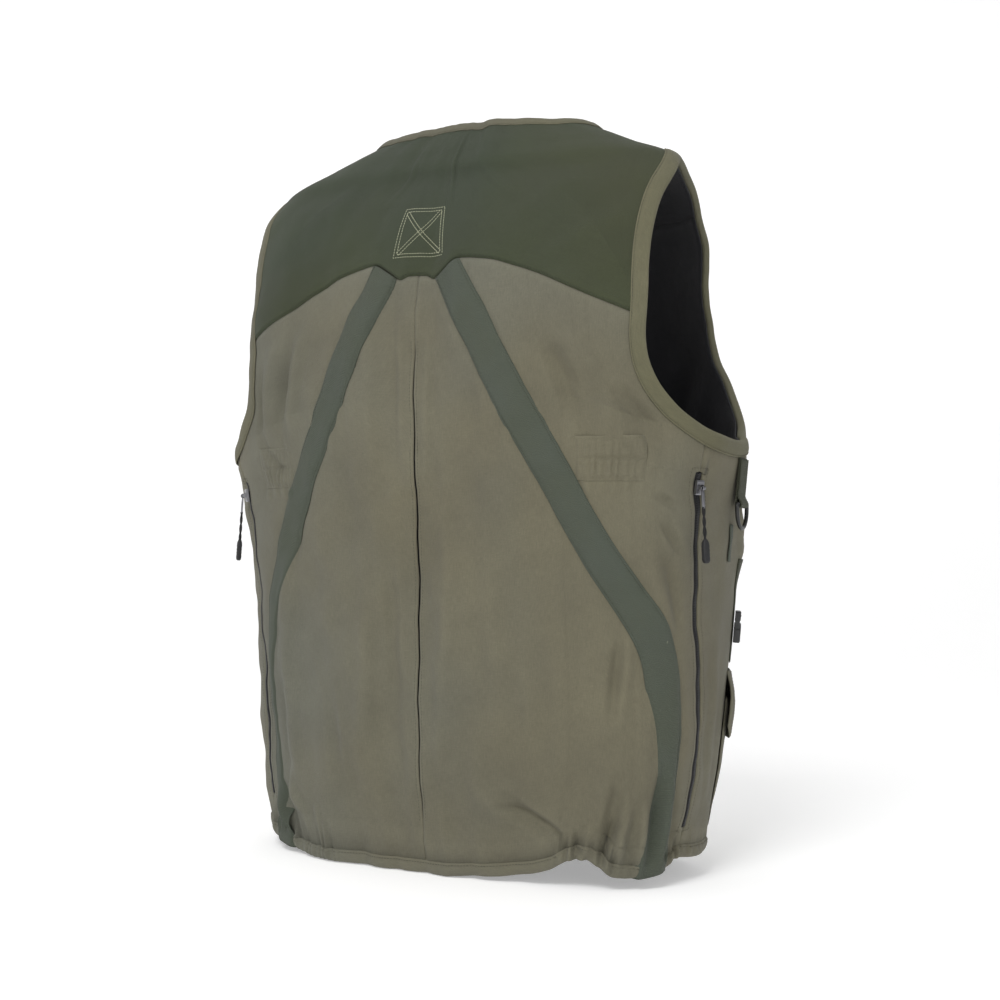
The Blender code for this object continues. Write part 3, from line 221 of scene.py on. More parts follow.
# A ribbed grip's outline: share of its length, and shares of its half width and half depth there.
GRIP_PROFILE = (
    (0.0, 0.45, 0.50), (0.03, 0.70, 0.75), (0.10, 0.92, 0.95), (0.22, 1.0, 1.0), (0.30, 0.93, 0.90),
    (0.38, 1.0, 1.0), (0.46, 0.93, 0.90), (0.54, 1.0, 1.0), (0.62, 0.93, 0.90), (0.70, 1.0, 1.0),
    (0.84, 0.88, 0.95), (0.93, 0.66, 0.80), (1.0, 0.40, 0.62),
)
WEB_WIDE = 22.0 * MM
WEB_TOP = -0.3174
WEB_ANGLE = 94.0
WEB_ON = 2.3 * MM
WEB_LOOP = 3.6 * MM
WEB_DROP = 42.0 * MM
WEB_OUTER = 2.35 * MM          # middle of the webbing's outer layer, from the back of the inner one
WEB_FACE = 3.15 * MM           # height of the stitches on it
WEB_BOX = 9.5 * MM             # half width of their box, and its level rows below the webbing's top
WEB_BOX_Z = (-1.6 * MM, -3.4 * MM, -26.0 * MM, -28.0 * MM)
WEB_STITCH_PITCH = 2.4 * MM
WEB_STITCH_RADIUS = 0.28 * MM
RING_ROD = 1.9 * MM
RING_WIDE = 30.0 * MM
RING_TALL = 22.0 * MM
RING_SHOULDER = 3.5 * MM
TAIL_Z = (-0.412, -0.394, -0.378)
TAIL_WIDE = 10.0 * MM
POCKET_ANGLES = (104.0, 152.0)
POCKET_IN = 3.0 * MM
POCKET_Z = (-0.662, -0.541)
FLAP_Z = (-0.580, -0.515)
FLAP_PAST = 1.5                # degrees by which a flap is wider than its pocket on each side
FLAP_SHARES = (0, 0.31, 0.54, 0.71, 0.86, 1.0)
FLAP_HEIGHTS = (9.6, 10.0, 9.7, 8.1, 5.4, 3.0)     # millimetres off the cloth at those shares of its height
BUCKLE_ANGLE = 107.0
BUCKLE_Z = -0.474
BUCKLE_TALL = 30.0 * MM
BUCKLE_WIDE = 27.0 * MM
BUCKLE_THICK = 6.5 * MM
BUCKLE_LIFT = 0.4 * MM
BUCKLE_STRAP_WIDE = 20.0 * MM
BUCKLE_STRAP_Z = (-0.508, -0.410)
BUCKLE_BOX = 8.4 * MM          # half width of the stitched box at the strap's top, and its drops
BUCKLE_BOX_DROPS = (2.2 * MM, 8.0 * MM)

# A slider's place, the degrees by which its pull leans out, and whether the pull ends in a cord.
Puller = namedtuple("Puller", "name angle z lean has_cord")

# Horizontal sections of the garment. A power above 2 makes a section squarer than an ellipse.
Ring = namedtuple("Ring", "z left right centre_y back front power_left power_right power_front")
RINGS = (
    Ring(-0.720, 0.236, 0.222, 0.000, 0.1040, 0.118, 2.35, 3.0, 2.1),
    Ring(-0.700, 0.238, 0.224, 0.000, 0.1060, 0.120, 2.35, 3.0, 2.1),
    Ring(-0.647, 0.242, 0.228, 0.000, 0.1120, 0.132, 2.30, 3.0, 2.2),
    Ring(-0.597, 0.246, 0.232, 0.000, 0.1160, 0.155, 2.20, 3.0, 2.3),
    Ring(-0.497, 0.254, 0.240, 0.000, 0.1210, 0.182, 2.20, 3.0, 2.3),
    Ring(-0.397, 0.262, 0.248, 0.000, 0.1240, 0.190, 2.20, 3.0, 2.3),
    Ring(-0.347, 0.268, 0.255, 0.000, 0.1260, 0.188, 2.25, 3.0, 2.3),
    Ring(-0.312, 0.271, 0.261, 0.000, 0.1270, 0.182, 2.35, 3.0, 2.3),
    Ring(-0.277, 0.264, 0.258, 0.000, 0.1275, 0.172, 2.50, 3.0, 2.3),
    Ring(-0.197, 0.252, 0.250, 0.003, 0.1236, 0.160, 2.80, 3.0, 2.3),
    Ring(-0.152, 0.246, 0.246, 0.008, 0.1140, 0.158, 2.80, 2.9, 2.3),
    Ring(-0.113, 0.242, 0.242, 0.014, 0.1020, 0.158, 2.70, 2.7, 2.3),
    Ring(-0.077, 0.235, 0.235, 0.020, 0.0815, 0.150, 2.50, 2.5, 2.2),
    Ring(-0.045, 0.211, 0.211, 0.024, 0.0600, 0.125, 2.30, 2.3, 2.2),
    Ring(-0.025, 0.168, 0.168, 0.012, 0.0600, 0.100, 2.20, 2.2, 2.2),
    Ring(-0.012, 0.140, 0.140, 0.004, 0.0560, 0.085, 2.20, 2.2, 2.2),
    Ring(0.000, 0.115, 0.115, -0.003, 0.0500, 0.070, 2.20, 2.2, 2.2),
    Ring(0.015, 0.098, 0.098, -0.006, 0.0440, 0.058, 2.20, 2.2, 2.2),
)

# Soft ridges in the cloth, each along a line between two places, flat again at both ends.
Fold = namedtuple("Fold", "angle_a z_a angle_b z_b half_width height")
FOLDS = (
    Fold(-12, -0.600, -56, -0.652, 0.024, 0.0045),    # the drape that runs into the hem notch
    Fold(-58, -0.480, -63, -0.575, 0.022, 0.0035),    # upright fold inside the right strap
    Fold(-61, -0.590, -66, -0.668, 0.020, 0.0030),
    Fold(-26, -0.235, -58, -0.372, 0.030, 0.0020),    # soft diagonal from the pleat
    Fold(56, -0.610, 62, -0.672, 0.022, 0.0040),      # swirl at the left end of the hem
    Fold(22, -0.560, 52, -0.640, 0.028, 0.0030),
    Fold(30, -0.400, 52, -0.500, 0.030, 0.0022),
    Fold(-98, -0.352, -112, -0.440, 0.024, 0.0030),   # below each armhole
    Fold(98, -0.352, 112, -0.440, 0.024, 0.0030),
    Fold(165, -0.330, 125, -0.480, 0.034, 0.0035),    # hang of the fronts
    Fold(-165, -0.330, -125, -0.480, 0.034, 0.0035),
    Fold(168, -0.600, 160, -0.670, 0.024, 0.0030),
    Fold(-168, -0.600, -160, -0.670, 0.024, 0.0030),
)

# Edge of an armhole, from the top of the shoulder down its back and up its front.
ArmPoint = namedtuple("ArmPoint", "angle z")
ARMHOLE = (
    ArmPoint(93.0, -0.0455),
    ArmPoint(84.0, -0.0640),
    ArmPoint(76.5, -0.0950),
    ArmPoint(71.2, -0.1370),
    ArmPoint(67.7, -0.1980),     # the yoke's back edge
    ArmPoint(67.6, -0.2380),
    ArmPoint(71.0, -0.2700),
    ArmPoint(77.6, -0.2955),     # the side seam
    ArmPoint(87.0, -0.3030),
    ArmPoint(97.0, -0.3000),
    ArmPoint(107.0, -0.2820),
    ArmPoint(114.0, -0.2450),
    ArmPoint(117.5, -0.1900),
    ArmPoint(117.5, -0.1350),
    ArmPoint(114.5, -0.0800),    # the yoke's front seam
    ArmPoint(105.0, -0.0510),
)
ARM_STEPS = 12                    # samples from one of these points to the next
ARM_YOKE_BACK = 4 * ARM_STEPS
ARM_SIDE = 7 * ARM_STEPS
ARM_FRONT_CORNER = 10 * ARM_STEPS    # where the bottom of the armhole turns up its front
ARM_YOKE_FRONT = 14 * ARM_STEPS
FRONT_CORNER_Z = -0.288              # the same level at the front zip

EdgePoint = namedtuple("EdgePoint", "angle z")
NECK_EDGE = (
    EdgePoint(0, 0.0055),
    EdgePoint(45, 0.0050),
    EdgePoint(75, 0.0030),
    EdgePoint(95, 0.0010),
    EdgePoint(110, -0.0060),
    EdgePoint(127, -0.0200),
    EdgePoint(145, -0.0500),
    EdgePoint(152.5, -0.0730),
    EdgePoint(160.5, -0.1000),
    EdgePoint(172, -0.1550),
    EdgePoint(180, -0.1970),
)
YOKE_BACK_EDGE = (
    EdgePoint(0, -0.1485),
    EdgePoint(4, -0.1490),
    EdgePoint(8, -0.1525),
    EdgePoint(15, -0.1450),
    EdgePoint(23.5, -0.1365),
    EdgePoint(35, -0.1405),
    EdgePoint(42, -0.1470),
    EdgePoint(48, -0.1555),
    EdgePoint(54, -0.1690),
    EdgePoint(60.5, -0.1835),
    EdgePoint(67.7, -0.1980),
)
HEM_EDGE = (
    EdgePoint(-182, -0.690),
    EdgePoint(-150, -0.688),
    EdgePoint(-120, -0.684),
    EdgePoint(-87, -0.681),
    EdgePoint(-81, -0.679),
    EdgePoint(-76, -0.688),
    EdgePoint(-70, -0.692),
    EdgePoint(-65, -0.690),
    EdgePoint(-62, -0.681),
    EdgePoint(-59, -0.675),
    EdgePoint(-56, -0.677),
    EdgePoint(-51, -0.688),
    EdgePoint(-45, -0.694),
    EdgePoint(-35, -0.698),
    EdgePoint(0, -0.702),
    EdgePoint(55, -0.701),
    EdgePoint(64, -0.698),
    EdgePoint(75, -0.690),
    EdgePoint(87, -0.684),
    EdgePoint(120, -0.684),
    EdgePoint(150, -0.688),
    EdgePoint(182, -0.690),
)

# Angle of each side seam and zip, which leans back at the waist and again near the hem.
SideRow = namedtuple("SideRow", "z left right")
SIDE_LINE = (
    SideRow(-0.700, 74.5, 80.5),
    SideRow(-0.647, 75.0, 81.8),
    SideRow(-0.600, 75.0, 84.4),
    SideRow(-0.543, 73.0, 83.8),
    SideRow(-0.497, 72.3, 82.2),
    SideRow(-0.446, 72.5, 80.5),
    SideRow(-0.392, 73.5, 79.0),
    SideRow(-0.335, 74.0, 77.2),
    SideRow(-0.2955, 77.6, 77.6),
)

# Middle line of each webbing strap, from the yoke to the knee and down to the hem.
StrapRow = namedtuple("StrapRow", "z left right")
STRAPS = (
    StrapRow(-0.1470, 16.4, 15.2),
    StrapRow(-0.1740, 23.2, 22.4),
    StrapRow(-0.2160, 31.2, 30.4),
    StrapRow(-0.2590, 38.0, 37.7),
    StrapRow(-0.2970, 43.6, 43.9),
    StrapRow(-0.3380, 49.9, 49.8),
    StrapRow(-0.3750, 55.6, 54.8),
    StrapRow(-0.4050, 58.8, 59.0),
    StrapRow(-0.4350, 61.4, 63.5),
    StrapRow(-0.4750, 63.6, 69.2),
    StrapRow(-0.4950, 64.6, 71.2),
    StrapRow(-0.5290, 66.2, 72.7),
    StrapRow(-0.5600, 67.2, 73.4),
    StrapRow(-0.6070, 67.8, 73.2),
    StrapRow(-0.6570, 67.6, 72.6),
    StrapRow(-0.7000, 67.4, 72.6),
)

# Places of the columns across each back panel, as shares of the way to the side seam.
HEM_SHARES = (1.0, 0.932, 0.870, 0.820, 0.776, 0.733, 0.690, 0.634, 0.559, 0.460, 0.348, 0.236, 0.124, 0.0)
YOKE_COLUMNS = (67.7, 64.0, 60.5, 57.0, 54.0, 51.0, 48.0, 44.0, 39.0, 33.0, 26.0, 19.0, 10.0, 0.0)
# Rows of the yoke from its outer edge to the neck, and a front's columns along its seam with it.
YOKE_SHARES = (0.0, 0.14, 0.32, 0.53, 0.74, 0.92, 1.0)


def denser(values, times):
    """Put more values between those of a table, evenly."""
    values = np.array(values, float)
    steps = np.arange((len(values) - 1) * times + 1) / times
    return np.interp(steps, np.arange(len(values)), values)


HEM_SHARES = denser(HEM_SHARES, 9)
YOKE_COLUMNS = denser(YOKE_COLUMNS, 9)
YOKE_SHARES = denser(YOKE_SHARES, 6)
NECK_STEPS = 30             # columns of a front along the neck's slope
SIDE_ZIP_ROWS = 150

# Narrower creases that only the looks have; a negative height is a trough.
CREASES = (
    Fold(-28, -0.606, -61, -0.676, 0.013, -0.0028),      # shadow under the drape that runs to the notch
    Fold(-63.6, -0.470, -62.4, -0.560, 0.007, -0.0022),  # beside the knee of the right strap
    Fold(-65.2, -0.470, -64.4, -0.560, 0.008, 0.0018),
    Fold(-64.8, -0.596, -62.4, -0.676, 0.008, -0.0030),
    Fold(-67.2, -0.610, -64.6, -0.684, 0.008, 0.0032),
    Fold(-60.2, -0.640, -58.6, -0.682, 0.006, 0.0024),
    Fold(-73.4, -0.585, -71.6, -0.695, 0.007, -0.0040),  # the strap folds along its length to the hem
    Fold(-75.6, -0.590, -74.6, -0.695, 0.007, 0.0024),
    Fold(-70.4, -0.620, -69.2, -0.695, 0.006, 0.0026),
    Fold(-76.8, -0.640, -80.5, -0.684, 0.006, -0.0022),
    Fold(-61.0, -0.256, -70.5, -0.318, 0.011, -0.0034),  # pulls from under the right arm
    Fold(-57.5, -0.262, -67.5, -0.326, 0.011, 0.0026),
    Fold(-50.2, -0.256, -58.2, -0.302, 0.010, -0.0026),
    Fold(-47.5, -0.212, -54.5, -0.276, 0.012, -0.0030),
    Fold(-52.5, -0.205, -58.5, -0.262, 0.014, 0.0022),
    Fold(-68.5, -0.352, -73.5, -0.366, 0.007, -0.0018),
    Fold(-70.0, -0.374, -74.6, -0.406, 0.007, -0.0026),
    Fold(-67.6, -0.395, -73.6, -0.490, 0.011, 0.0026),
    Fold(-71.4, -0.400, -75.2, -0.480, 0.008, -0.0018),
    Fold(-72.0, -0.318, -78.8, -0.330, 0.006, 0.0014),
    Fold(52.6, -0.186, 58.4, -0.304, 0.010, -0.0030),    # upright folds outside the left strap
    Fold(49.4, -0.184, 54.6, -0.300, 0.011, 0.0028),
    Fold(57.4, -0.196, 62.6, -0.300, 0.012, 0.0028),
    Fold(61.6, -0.222, 65.4, -0.296, 0.009, -0.0022),
    Fold(64.0, -0.296, 57.2, -0.330, 0.008, -0.0020),
    Fold(67.8, -0.632, 57.2, -0.690, 0.009, -0.0034),    # swirl at the left end of the hem
    Fold(70.4, -0.640, 60.4, -0.694, 0.009, 0.0034),
    Fold(64.6, -0.612, 54.2, -0.676, 0.010, 0.0024),
    Fold(52.0, -0.646, 49.0, -0.690, 0.008, 0.0020),
    Fold(-16.2, 0.002, -19.4, -0.092, 0.009, -0.0014),   # soft creases in the yoke
    Fold(-13.4, 0.000, -16.6, -0.088, 0.010, 0.0010),
    Fold(-73.0, -0.058, -42.0, -0.112, 0.012, 0.0022),
    Fold(-76.0, -0.078, -52.0, -0.124, 0.012, -0.0020),
    Fold(-72.0, -0.104, -50.0, -0.142, 0.011, 0.0016),
    Fold(-30.0, -0.010, -50.0, -0.086, 0.014, 0.0014),
    Fold(60.5, -0.048, 46.0, -0.108, 0.012, 0.0022),
    Fold(66.0, -0.072, 52.0, -0.140, 0.011, -0.0018),
    Fold(20.0, -0.012, 32.0, -0.092, 0.014, 0.0014),
    Fold(8.0, -0.165, 6.0, -0.330, 0.012, 0.0012),       # either side of the pleat
    Fold(-7.0, -0.165, -5.0, -0.350, 0.012, 0.0012),
    Fold(-16.0, -0.420, -10.0, -0.610, 0.022, 0.0016),
    Fold(24.0, -0.440, 30.0, -0.620, 0.022, 0.0018),
    Fold(12.0, -0.380, 14.0, -0.560, 0.018, -0.0014),
    Fold(-30.0, -0.400, -36.0, -0.560, 0.024, 0.0016),
    Fold(-46.0, -0.470, -50.0, -0.600, 0.018, -0.0016),
    Fold(57.0, -0.400, 62.0, -0.530, 0.013, 0.0026),     # folds that lap over the straps' inner edges
    Fold(61.0, -0.480, 60.0, -0.660, 0.014, 0.0028),
    Fold(-69.4, -0.530, -69.0, -0.668, 0.008, 0.0020),
    Fold(-34.0, -0.631, -47.0, -0.637, 0.004, -0.0014),  # curved seam above the notch in the hem
    Fold(-43.0, -0.633, -54.0, -0.652, 0.004, -0.0018),
    Fold(-50.0, -0.645, -60.0, -0.674, 0.004, -0.0020),
    Fold(-61.6, -0.680, -65.8, -0.630, 0.006, -0.0030),
    Fold(44.0, -0.520, 40.0, -0.640, 0.016, -0.0020),
    Fold(-100, -0.340, -122, -0.410, 0.012, -0.0026),    # sides and fronts, hidden in the photo
    Fold(-96, -0.346, -110, -0.420, 0.012, 0.0024),
    Fold(100, -0.340, 122, -0.410, 0.012, -0.0026),
    Fold(96, -0.346, 110, -0.420, 0.012, 0.0024),
    Fold(124, -0.200, 150, -0.330, 0.016, 0.0026),
    Fold(-124, -0.200, -150, -0.330, 0.016, 0.0026),
    Fold(122, -0.240, 142, -0.360, 0.012, -0.0022),
    Fold(-122, -0.230, -140, -0.350, 0.012, -0.0022),
    Fold(176, -0.300, 168, -0.470, 0.014, -0.0020),
    Fold(-176, -0.330, -170, -0.500, 0.014, -0.0020),
    Fold(88, -0.480, 92, -0.650, 0.014, 0.0026),
    Fold(-90, -0.470, -94, -0.650, 0.014, 0.0026),
    Fold(96, -0.520, 99, -0.680, 0.010, -0.0024),
    Fold(-98, -0.530, -100, -0.680, 0.010, -0.0024),
    Fold(132, -0.664, 128, -0.690, 0.010, 0.0018),
    Fold(-134, -0.664, -130, -0.690, 0.010, 0.0018),
)

# Slow waves all over the cloth: length (m), direction (degrees), phase, height (m).
Wave = namedtuple("Wave", "length turn phase height")
WAVES = (
    Wave(0.190, 80, 0.4, 0.00070),
    Wave(0.130, 62, 2.1, 0.00050),
    Wave(0.097, 105, 4.0, 0.00040),
    Wave(0.071, 88, 1.3, 0.00028),
    Wave(0.054, 40, 5.2, 0.00020),
    Wave(0.043, 128, 3.3, 0.00016),
    Wave(0.031, 94, 0.9, 0.00010),
    Wave(0.024, 20, 2.8, 0.00007),
)

# Patches of gathered cloth: the range of angles and heights they fill, how many creases, their
# half length and half width (m), the height of the strongest (m) and the most they lean (degrees).
Gather = namedtuple("Gather", "start end bottom top count half_long half_wide height lean")
GATHERS = (
    Gather(-67.5, -54.5, -0.3480, -0.3430, 11, 0.0085, 0.0042, 0.0009, 16),    # waist elastics
    Gather(-68.5, -53.0, -0.3000, -0.2940, 9, 0.0085, 0.0046, 0.0008, 30),
    Gather(53.5, 66.0, -0.3480, -0.3430, 9, 0.0085, 0.0042, 0.0009, 16),
    Gather(52.5, 66.0, -0.3000, -0.2940, 8, 0.0085, 0.0046, 0.0008, 30),
    Gather(-68.0, -52.5, -0.6780, -0.6640, 12, 0.0130, 0.0034, 0.0026, 12),    # above the hem's elastic
    Gather(-82.0, -75.0, -0.6760, -0.6640, 7, 0.0100, 0.0026, 0.0022, 14),
    Gather(46.0, 64.0, -0.6900, -0.6760, 13, 0.0130, 0.0032, 0.0024, 14),
    Gather(66.0, 76.0, -0.6840, -0.6700, 7, 0.0100, 0.0028, 0.0020, 14),
    Gather(-130.0, -84.0, -0.6740, -0.6640, 14, 0.0100, 0.0036, 0.0013, 12),
    Gather(80.0, 130.0, -0.6740, -0.6640, 15, 0.0100, 0.0036, 0.0013, 12),
)


def gathered(gathers):
    """Return short uneven creases that fill each patch of gathered cloth."""
    draw = np.random.default_rng(7)
    metres = METRES_PER_DEGREE
    folds = []
    for patch in gathers:
        for k in range(patch.count):
            angle = patch.start + (patch.end - patch.start) * (k + 0.2 + 0.6 * draw.random()) / patch.count
            z = patch.bottom + (patch.top - patch.bottom) * draw.random()
            lean = math.radians(patch.lean * (2 * draw.random() - 1))
            half = patch.half_long * (0.6 + 0.7 * draw.random())
            aside, rise = half * math.sin(lean) / metres, half * math.cos(lean)
            height = patch.height * (0.35 + 0.65 * draw.random()) * (1 if k % 2 else -0.6)
            wide = patch.half_wide * (0.8 + 0.6 * draw.random())
            folds.append(Fold(angle - aside, z - rise, angle + aside, z + rise, wide, height))
    return tuple(folds)


CREASES += gathered(GATHERS)

# Places of hard pieces, near which the cloth keeps the height that the solids give it.
CALM = ((73.9, -0.345, 0.016), (-76.8, -0.345, 0.016), (94, -0.338, 0.034), (-94, -0.338, 0.034),
        (180, -0.212, 0.018), (-180, -0.212, 0.018), (107, -0.470, 0.045), (-107, -0.470, 0.045))
CALM_BAND = (99.0, 158.0, -0.672, -0.505)      # the pockets: angles from, to and heights from, to


def fold_sum(folds, angle, z):
    """Return how far these folds raise the cloth at these places."""
    metres = METRES_PER_DEGREE
    lift = np.zeros(np.broadcast(angle, z).shape)
    for fold in folds:
        start = np.array([fold.angle_a * metres, fold.z_a])
        run = np.array([fold.angle_b * metres, fold.z_b]) - start
        length = np.hypot(*run)
        share = ((angle * metres - start[0]) * run[0] + (z - start[1]) * run[1]) / length**2
        aside = np.abs((angle * metres - start[0]) * run[1] - (z - start[1]) * run[0]) / length
        across = np.cos(np.clip(aside / fold.half_width, 0, 1) * math.pi / 2) ** 2
        lift = lift + fold.height * across * np.sin(np.clip(share, 0, 1) * math.pi)
    return lift


def calm_share(angle, z):
    """Return 0 beside the hard pieces and 1 away from them."""
    metres = METRES_PER_DEGREE
    share = np.ones(np.broadcast(angle, z).shape)
    for at, height, reach in CALM:
        gap = np.hypot((angle - at) * metres, z - height) / reach
        share = share * np.clip(gap - 0.5, 0, 1)
    low, high, bottom, top = CALM_BAND
    past = np.maximum(np.maximum(low - np.abs(angle), np.abs(angle) - high) * metres, 0)
    past = np.hypot(past, np.maximum(np.maximum(bottom - z, z - top), 0))
    return share * (0.25 + 0.75 * np.clip(past / 0.02, 0, 1))


def strap_valley(angle, z):
    """Return how far the straps' stitched edges draw the cloth down at these places."""
    metres = METRES_PER_DEGREE
    dip = np.zeros(np.broadcast(angle, z).shape)
    for heights, edges in STRAP_EDGES:
        for edge in edges:
            gap = (angle - np.interp(z, heights, edge)) * metres / STRAP_DIP_WIDE
            dip = dip - STRAP_DIP * np.exp(-gap * gap)
    return dip * np.clip((yoke_edge_z(angle) - z) / STRAP_DIP_FADE, 0, 1)


# For each strap a row of heights and, at those, the angles of both its edges. It is filled further
# down, before any piece is made.
STRAP_EDGES = []
# Heights, and the share of each strap's width that a fold of the back panel laps over there.
STRAP_LAP = {LEFT: ((-0.700, -0.670, -0.630, -0.560, -0.470, -0.420, -0.380),
                    (0.0, 0.12, 0.50, 0.60, 0.50, 0.22, 0.0)),
             RIGHT: ((-0.700, -0.685, -0.655, -0.610, -0.560, -0.520), (0.0, 0.14, 0.28, 0.42, 0.26, 0.0))}
STRAP_DIP = 1.3 * MM           # how deep a strap's edge draws the cloth down
STRAP_DIP_WIDE = 4.2 * MM      # how far from the edge that reaches
STRAP_DIP_FADE = 8 * MM        # over what height it fades out below the yoke
CREASE_GAIN = 2.1
WAVE_GAIN = 3.2
YOKE_GAIN = 0.9


def fold_lift(angle, z):
    """Return how far folds, creases and gathers raise the cloth at these places."""
    across = angle * MEAN_RADIUS * math.pi / 180
    gain = np.interp(z, (-0.16, -0.12), (CREASE_GAIN, YOKE_GAIN))
    extra = gain * fold_sum(CREASES, angle, z) + strap_valley(angle, z)
    for wave in WAVES:
        turn = math.radians(wave.turn)
        run = across * math.sin(turn) + z * math.cos(turn)
        grown = np.interp(z, (-0.16, -0.10), (WAVE_GAIN, 1.0))
        extra = extra + grown * wave.height * np.sin(2 * math.pi * run / wave.length + wave.phase)
    return fold_sum(FOLDS, angle, z) + extra * calm_share(angle, z)


def smooth_curve(x, xs, ys):
    """Read a smooth curve through the points (xs, ys), one that never overshoots them."""
    step = np.diff(xs)
    slope = np.diff(ys) / step
    tangent = np.zeros(len(xs))
    tangent[0] = slope[0]
    tangent[-1] = slope[-1]
    for i in range(1, len(xs) - 1):
        if slope[i - 1] * slope[i] > 0:
            before = 2 * step[i] + step[i - 1]
            after = step[i] + 2 * step[i - 1]
            tangent[i] = (before + after) / (before / slope[i - 1] + after / slope[i])
    k = np.clip(np.searchsorted(xs, x) - 1, 0, len(step) - 1)
    t = (x - xs[k]) / step[k]
    start = (2 * t**3 - 3 * t**2 + 1) * ys[k] + (t**3 - 2 * t**2 + t) * step[k] * tangent[k]
    return start + (3 * t**2 - 2 * t**3) * ys[k + 1] + (t**3 - t**2) * step[k] * tangent[k + 1]


def read_column(rows, column, x, key="z"):
    """Read one column of a table of named rows at x, smoothly between its rows."""
    keys = np.array([getattr(row, key) for row in rows], float)
    values = np.array([getattr(row, column) for row in rows], float)
    order = np.argsort(keys)
    return smooth_curve(np.asarray(x, float), keys[order], values[order])


def body_point(angle, z):
    """Return the points of the smooth, fold-free form at these places."""
    angle, z = np.broadcast_arrays(np.radians(np.asarray(angle, float)), np.asarray(z, float))
    value = {name: read_column(RINGS, name, z) for name in Ring._fields[1:]}
    sine, cosine = np.sin(angle), np.cos(angle)
    half_wide = np.where(sine > 0, value["left"], value["right"])
    half_deep = np.where(cosine > 0, value["back"], value["front"])
    back_power = np.where(sine > 0, value["power_left"], value["power_right"])
    power = np.where(cosine > 0, back_power, value["power_front"])
    reach = (np.abs(sine / half_wide) ** power + np.abs(cosine / half_deep) ** power) ** (-1 / power)
    return np.stack([reach * sine, value["centre_y"] + reach * cosine, z], -1)


def surface_frame(angle, z):
    """Return the point, the two directions along the form per degree and per metre, and outward."""
    turn, rise = 0.2, 0.5 * MM
    along = (body_point(angle + turn, z) - body_point(angle - turn, z)) / (2 * turn)
    up = (body_point(angle, z + rise) - body_point(angle, z - rise)) / (2 * rise)
    out = np.cross(up, along)
    out /= np.linalg.norm(out, axis=-1, keepdims=True)
    return body_point(angle, z), along, up, out


def skin(places, height):
    """Return points at this distance from the body side of the outer cloth."""
    angle, z = places[..., 0], places[..., 1]
    point, _, _, out = surface_frame(angle, z)
    return point + out * np.asarray(height + fold_lift(angle, z))[..., None]


def step_sideways(places, tangent, distance):
    """Move places along the form, to the left of the tangent as seen from outside."""
    angle, z = places[..., 0], places[..., 1]
    _, along, up, out = surface_frame(angle, z)
    aside = np.cross(out, tangent)
    aside /= np.linalg.norm(aside, axis=-1, keepdims=True)
    aa = (along * along).sum(-1)
    au = (along * up).sum(-1)
    uu = (up * up).sum(-1)
    want_a = (aside * along).sum(-1) * distance
    want_u = (aside * up).sum(-1) * distance
    det = aa * uu - au * au
    turn = (want_a * uu - want_u * au) / det
    rise = (want_u * aa - want_a * au) / det
    return np.stack([angle + turn, z + rise], -1)


def beside(places, distance, closed=False):
    """Return a line that runs beside a line of places, at this distance along the form."""
    point = body_point(places[:, 0], places[:, 1])
    if closed:
        tangent = np.roll(point, -1, axis=0) - np.roll(point, 1, axis=0)
    else:
        tangent = np.gradient(point, axis=0)
    moved = places
    steps = max(1, math.ceil(abs(distance) / (6 * MM)))
    for _ in range(steps):
        moved = step_sideways(moved, tangent, distance / steps)
    return moved


def shift_degrees(places, distance):
    """Move places round the body by a distance, positive towards the wearer's left."""
    _, along, _, _ = surface_frame(places[:, 0], places[:, 1])
    turn = np.asarray(distance) / np.linalg.norm(along, axis=-1)
    return np.stack([places[:, 0] + turn, places[:, 1]], -1)


def line_shares(places):
    """Return how far along a line each of its places is, from 0 to 1."""
    point = body_point(places[:, 0], places[:, 1])
    run = np.concatenate([[0.0], np.cumsum(np.linalg.norm(np.diff(point, axis=0), axis=1))])
    return run / run[-1]


def fill(bottom, top, left, right):
    """Fill four edge lines with a grid of places, row by row from the bottom."""
    s = ((line_shares(bottom) + line_shares(top)) / 2)[None, :, None]
    t = ((line_shares(left) + line_shares(right)) / 2)[:, None, None]
    rows = (1 - t) * bottom[None] + t * top[None]
    columns = (1 - s) * left[:, None] + s * right[:, None]
    corners = ((1 - s) * (1 - t) * bottom[0] + s * (1 - t) * bottom[-1]
               + (1 - s) * t * top[0] + s * t * top[-1])
    return rows + columns - corners


def trim(grid, insets):
    """Draw in a grid's left, right, bottom and top edges by these distances."""
    grid = grid.copy()
    left, right, bottom, top = insets

    def draw_in(edge, inner, distance):
        if distance == 0:
            return edge
        apart = body_point(inner[:, 0], inner[:, 1]) - body_point(edge[:, 0], edge[:, 1])
        gap = np.linalg.norm(apart, axis=1)
        return edge + (inner - edge) * (distance / gap)[:, None]

    grid[:, 0] = draw_in(grid[:, 0], grid[:, 1], left)
    grid[:, -1] = draw_in(grid[:, -1], grid[:, -2], right)
    grid[0] = draw_in(grid[0], grid[1], bottom)
    grid[-1] = draw_in(grid[-1], grid[-2], top)
    return grid


def closed_spline(points, steps):
    """Sample a smooth closed curve, with this many samples to each stretch."""
    points = np.array(points, float)
    before = np.roll(points, 1, axis=0)
    after = np.roll(points, -1, axis=0)
    beyond = np.roll(points, -2, axis=0)
    samples = []
    for i in range(len(points)):
        for t in np.arange(steps) / steps:
            samples.append(0.5 * (2 * points[i] + (after[i] - before[i]) * t
                                  + (2 * before[i] - 5 * points[i] + 4 * after[i] - beyond[i]) * t**2
                                  + (3 * points[i] - before[i] - 3 * after[i] + beyond[i]) * t**3))
    return np.array(samples)


def arm_edge(side):
    """Return the closed line of an armhole's edge."""
    samples = closed_spline(ARMHOLE, ARM_STEPS)
    return samples * np.array([side, 1.0])


def neck_z(angle):
    """Return the height of the neck's edge at an angle."""
    return read_column(NECK_EDGE, "z", np.abs(angle), "angle")


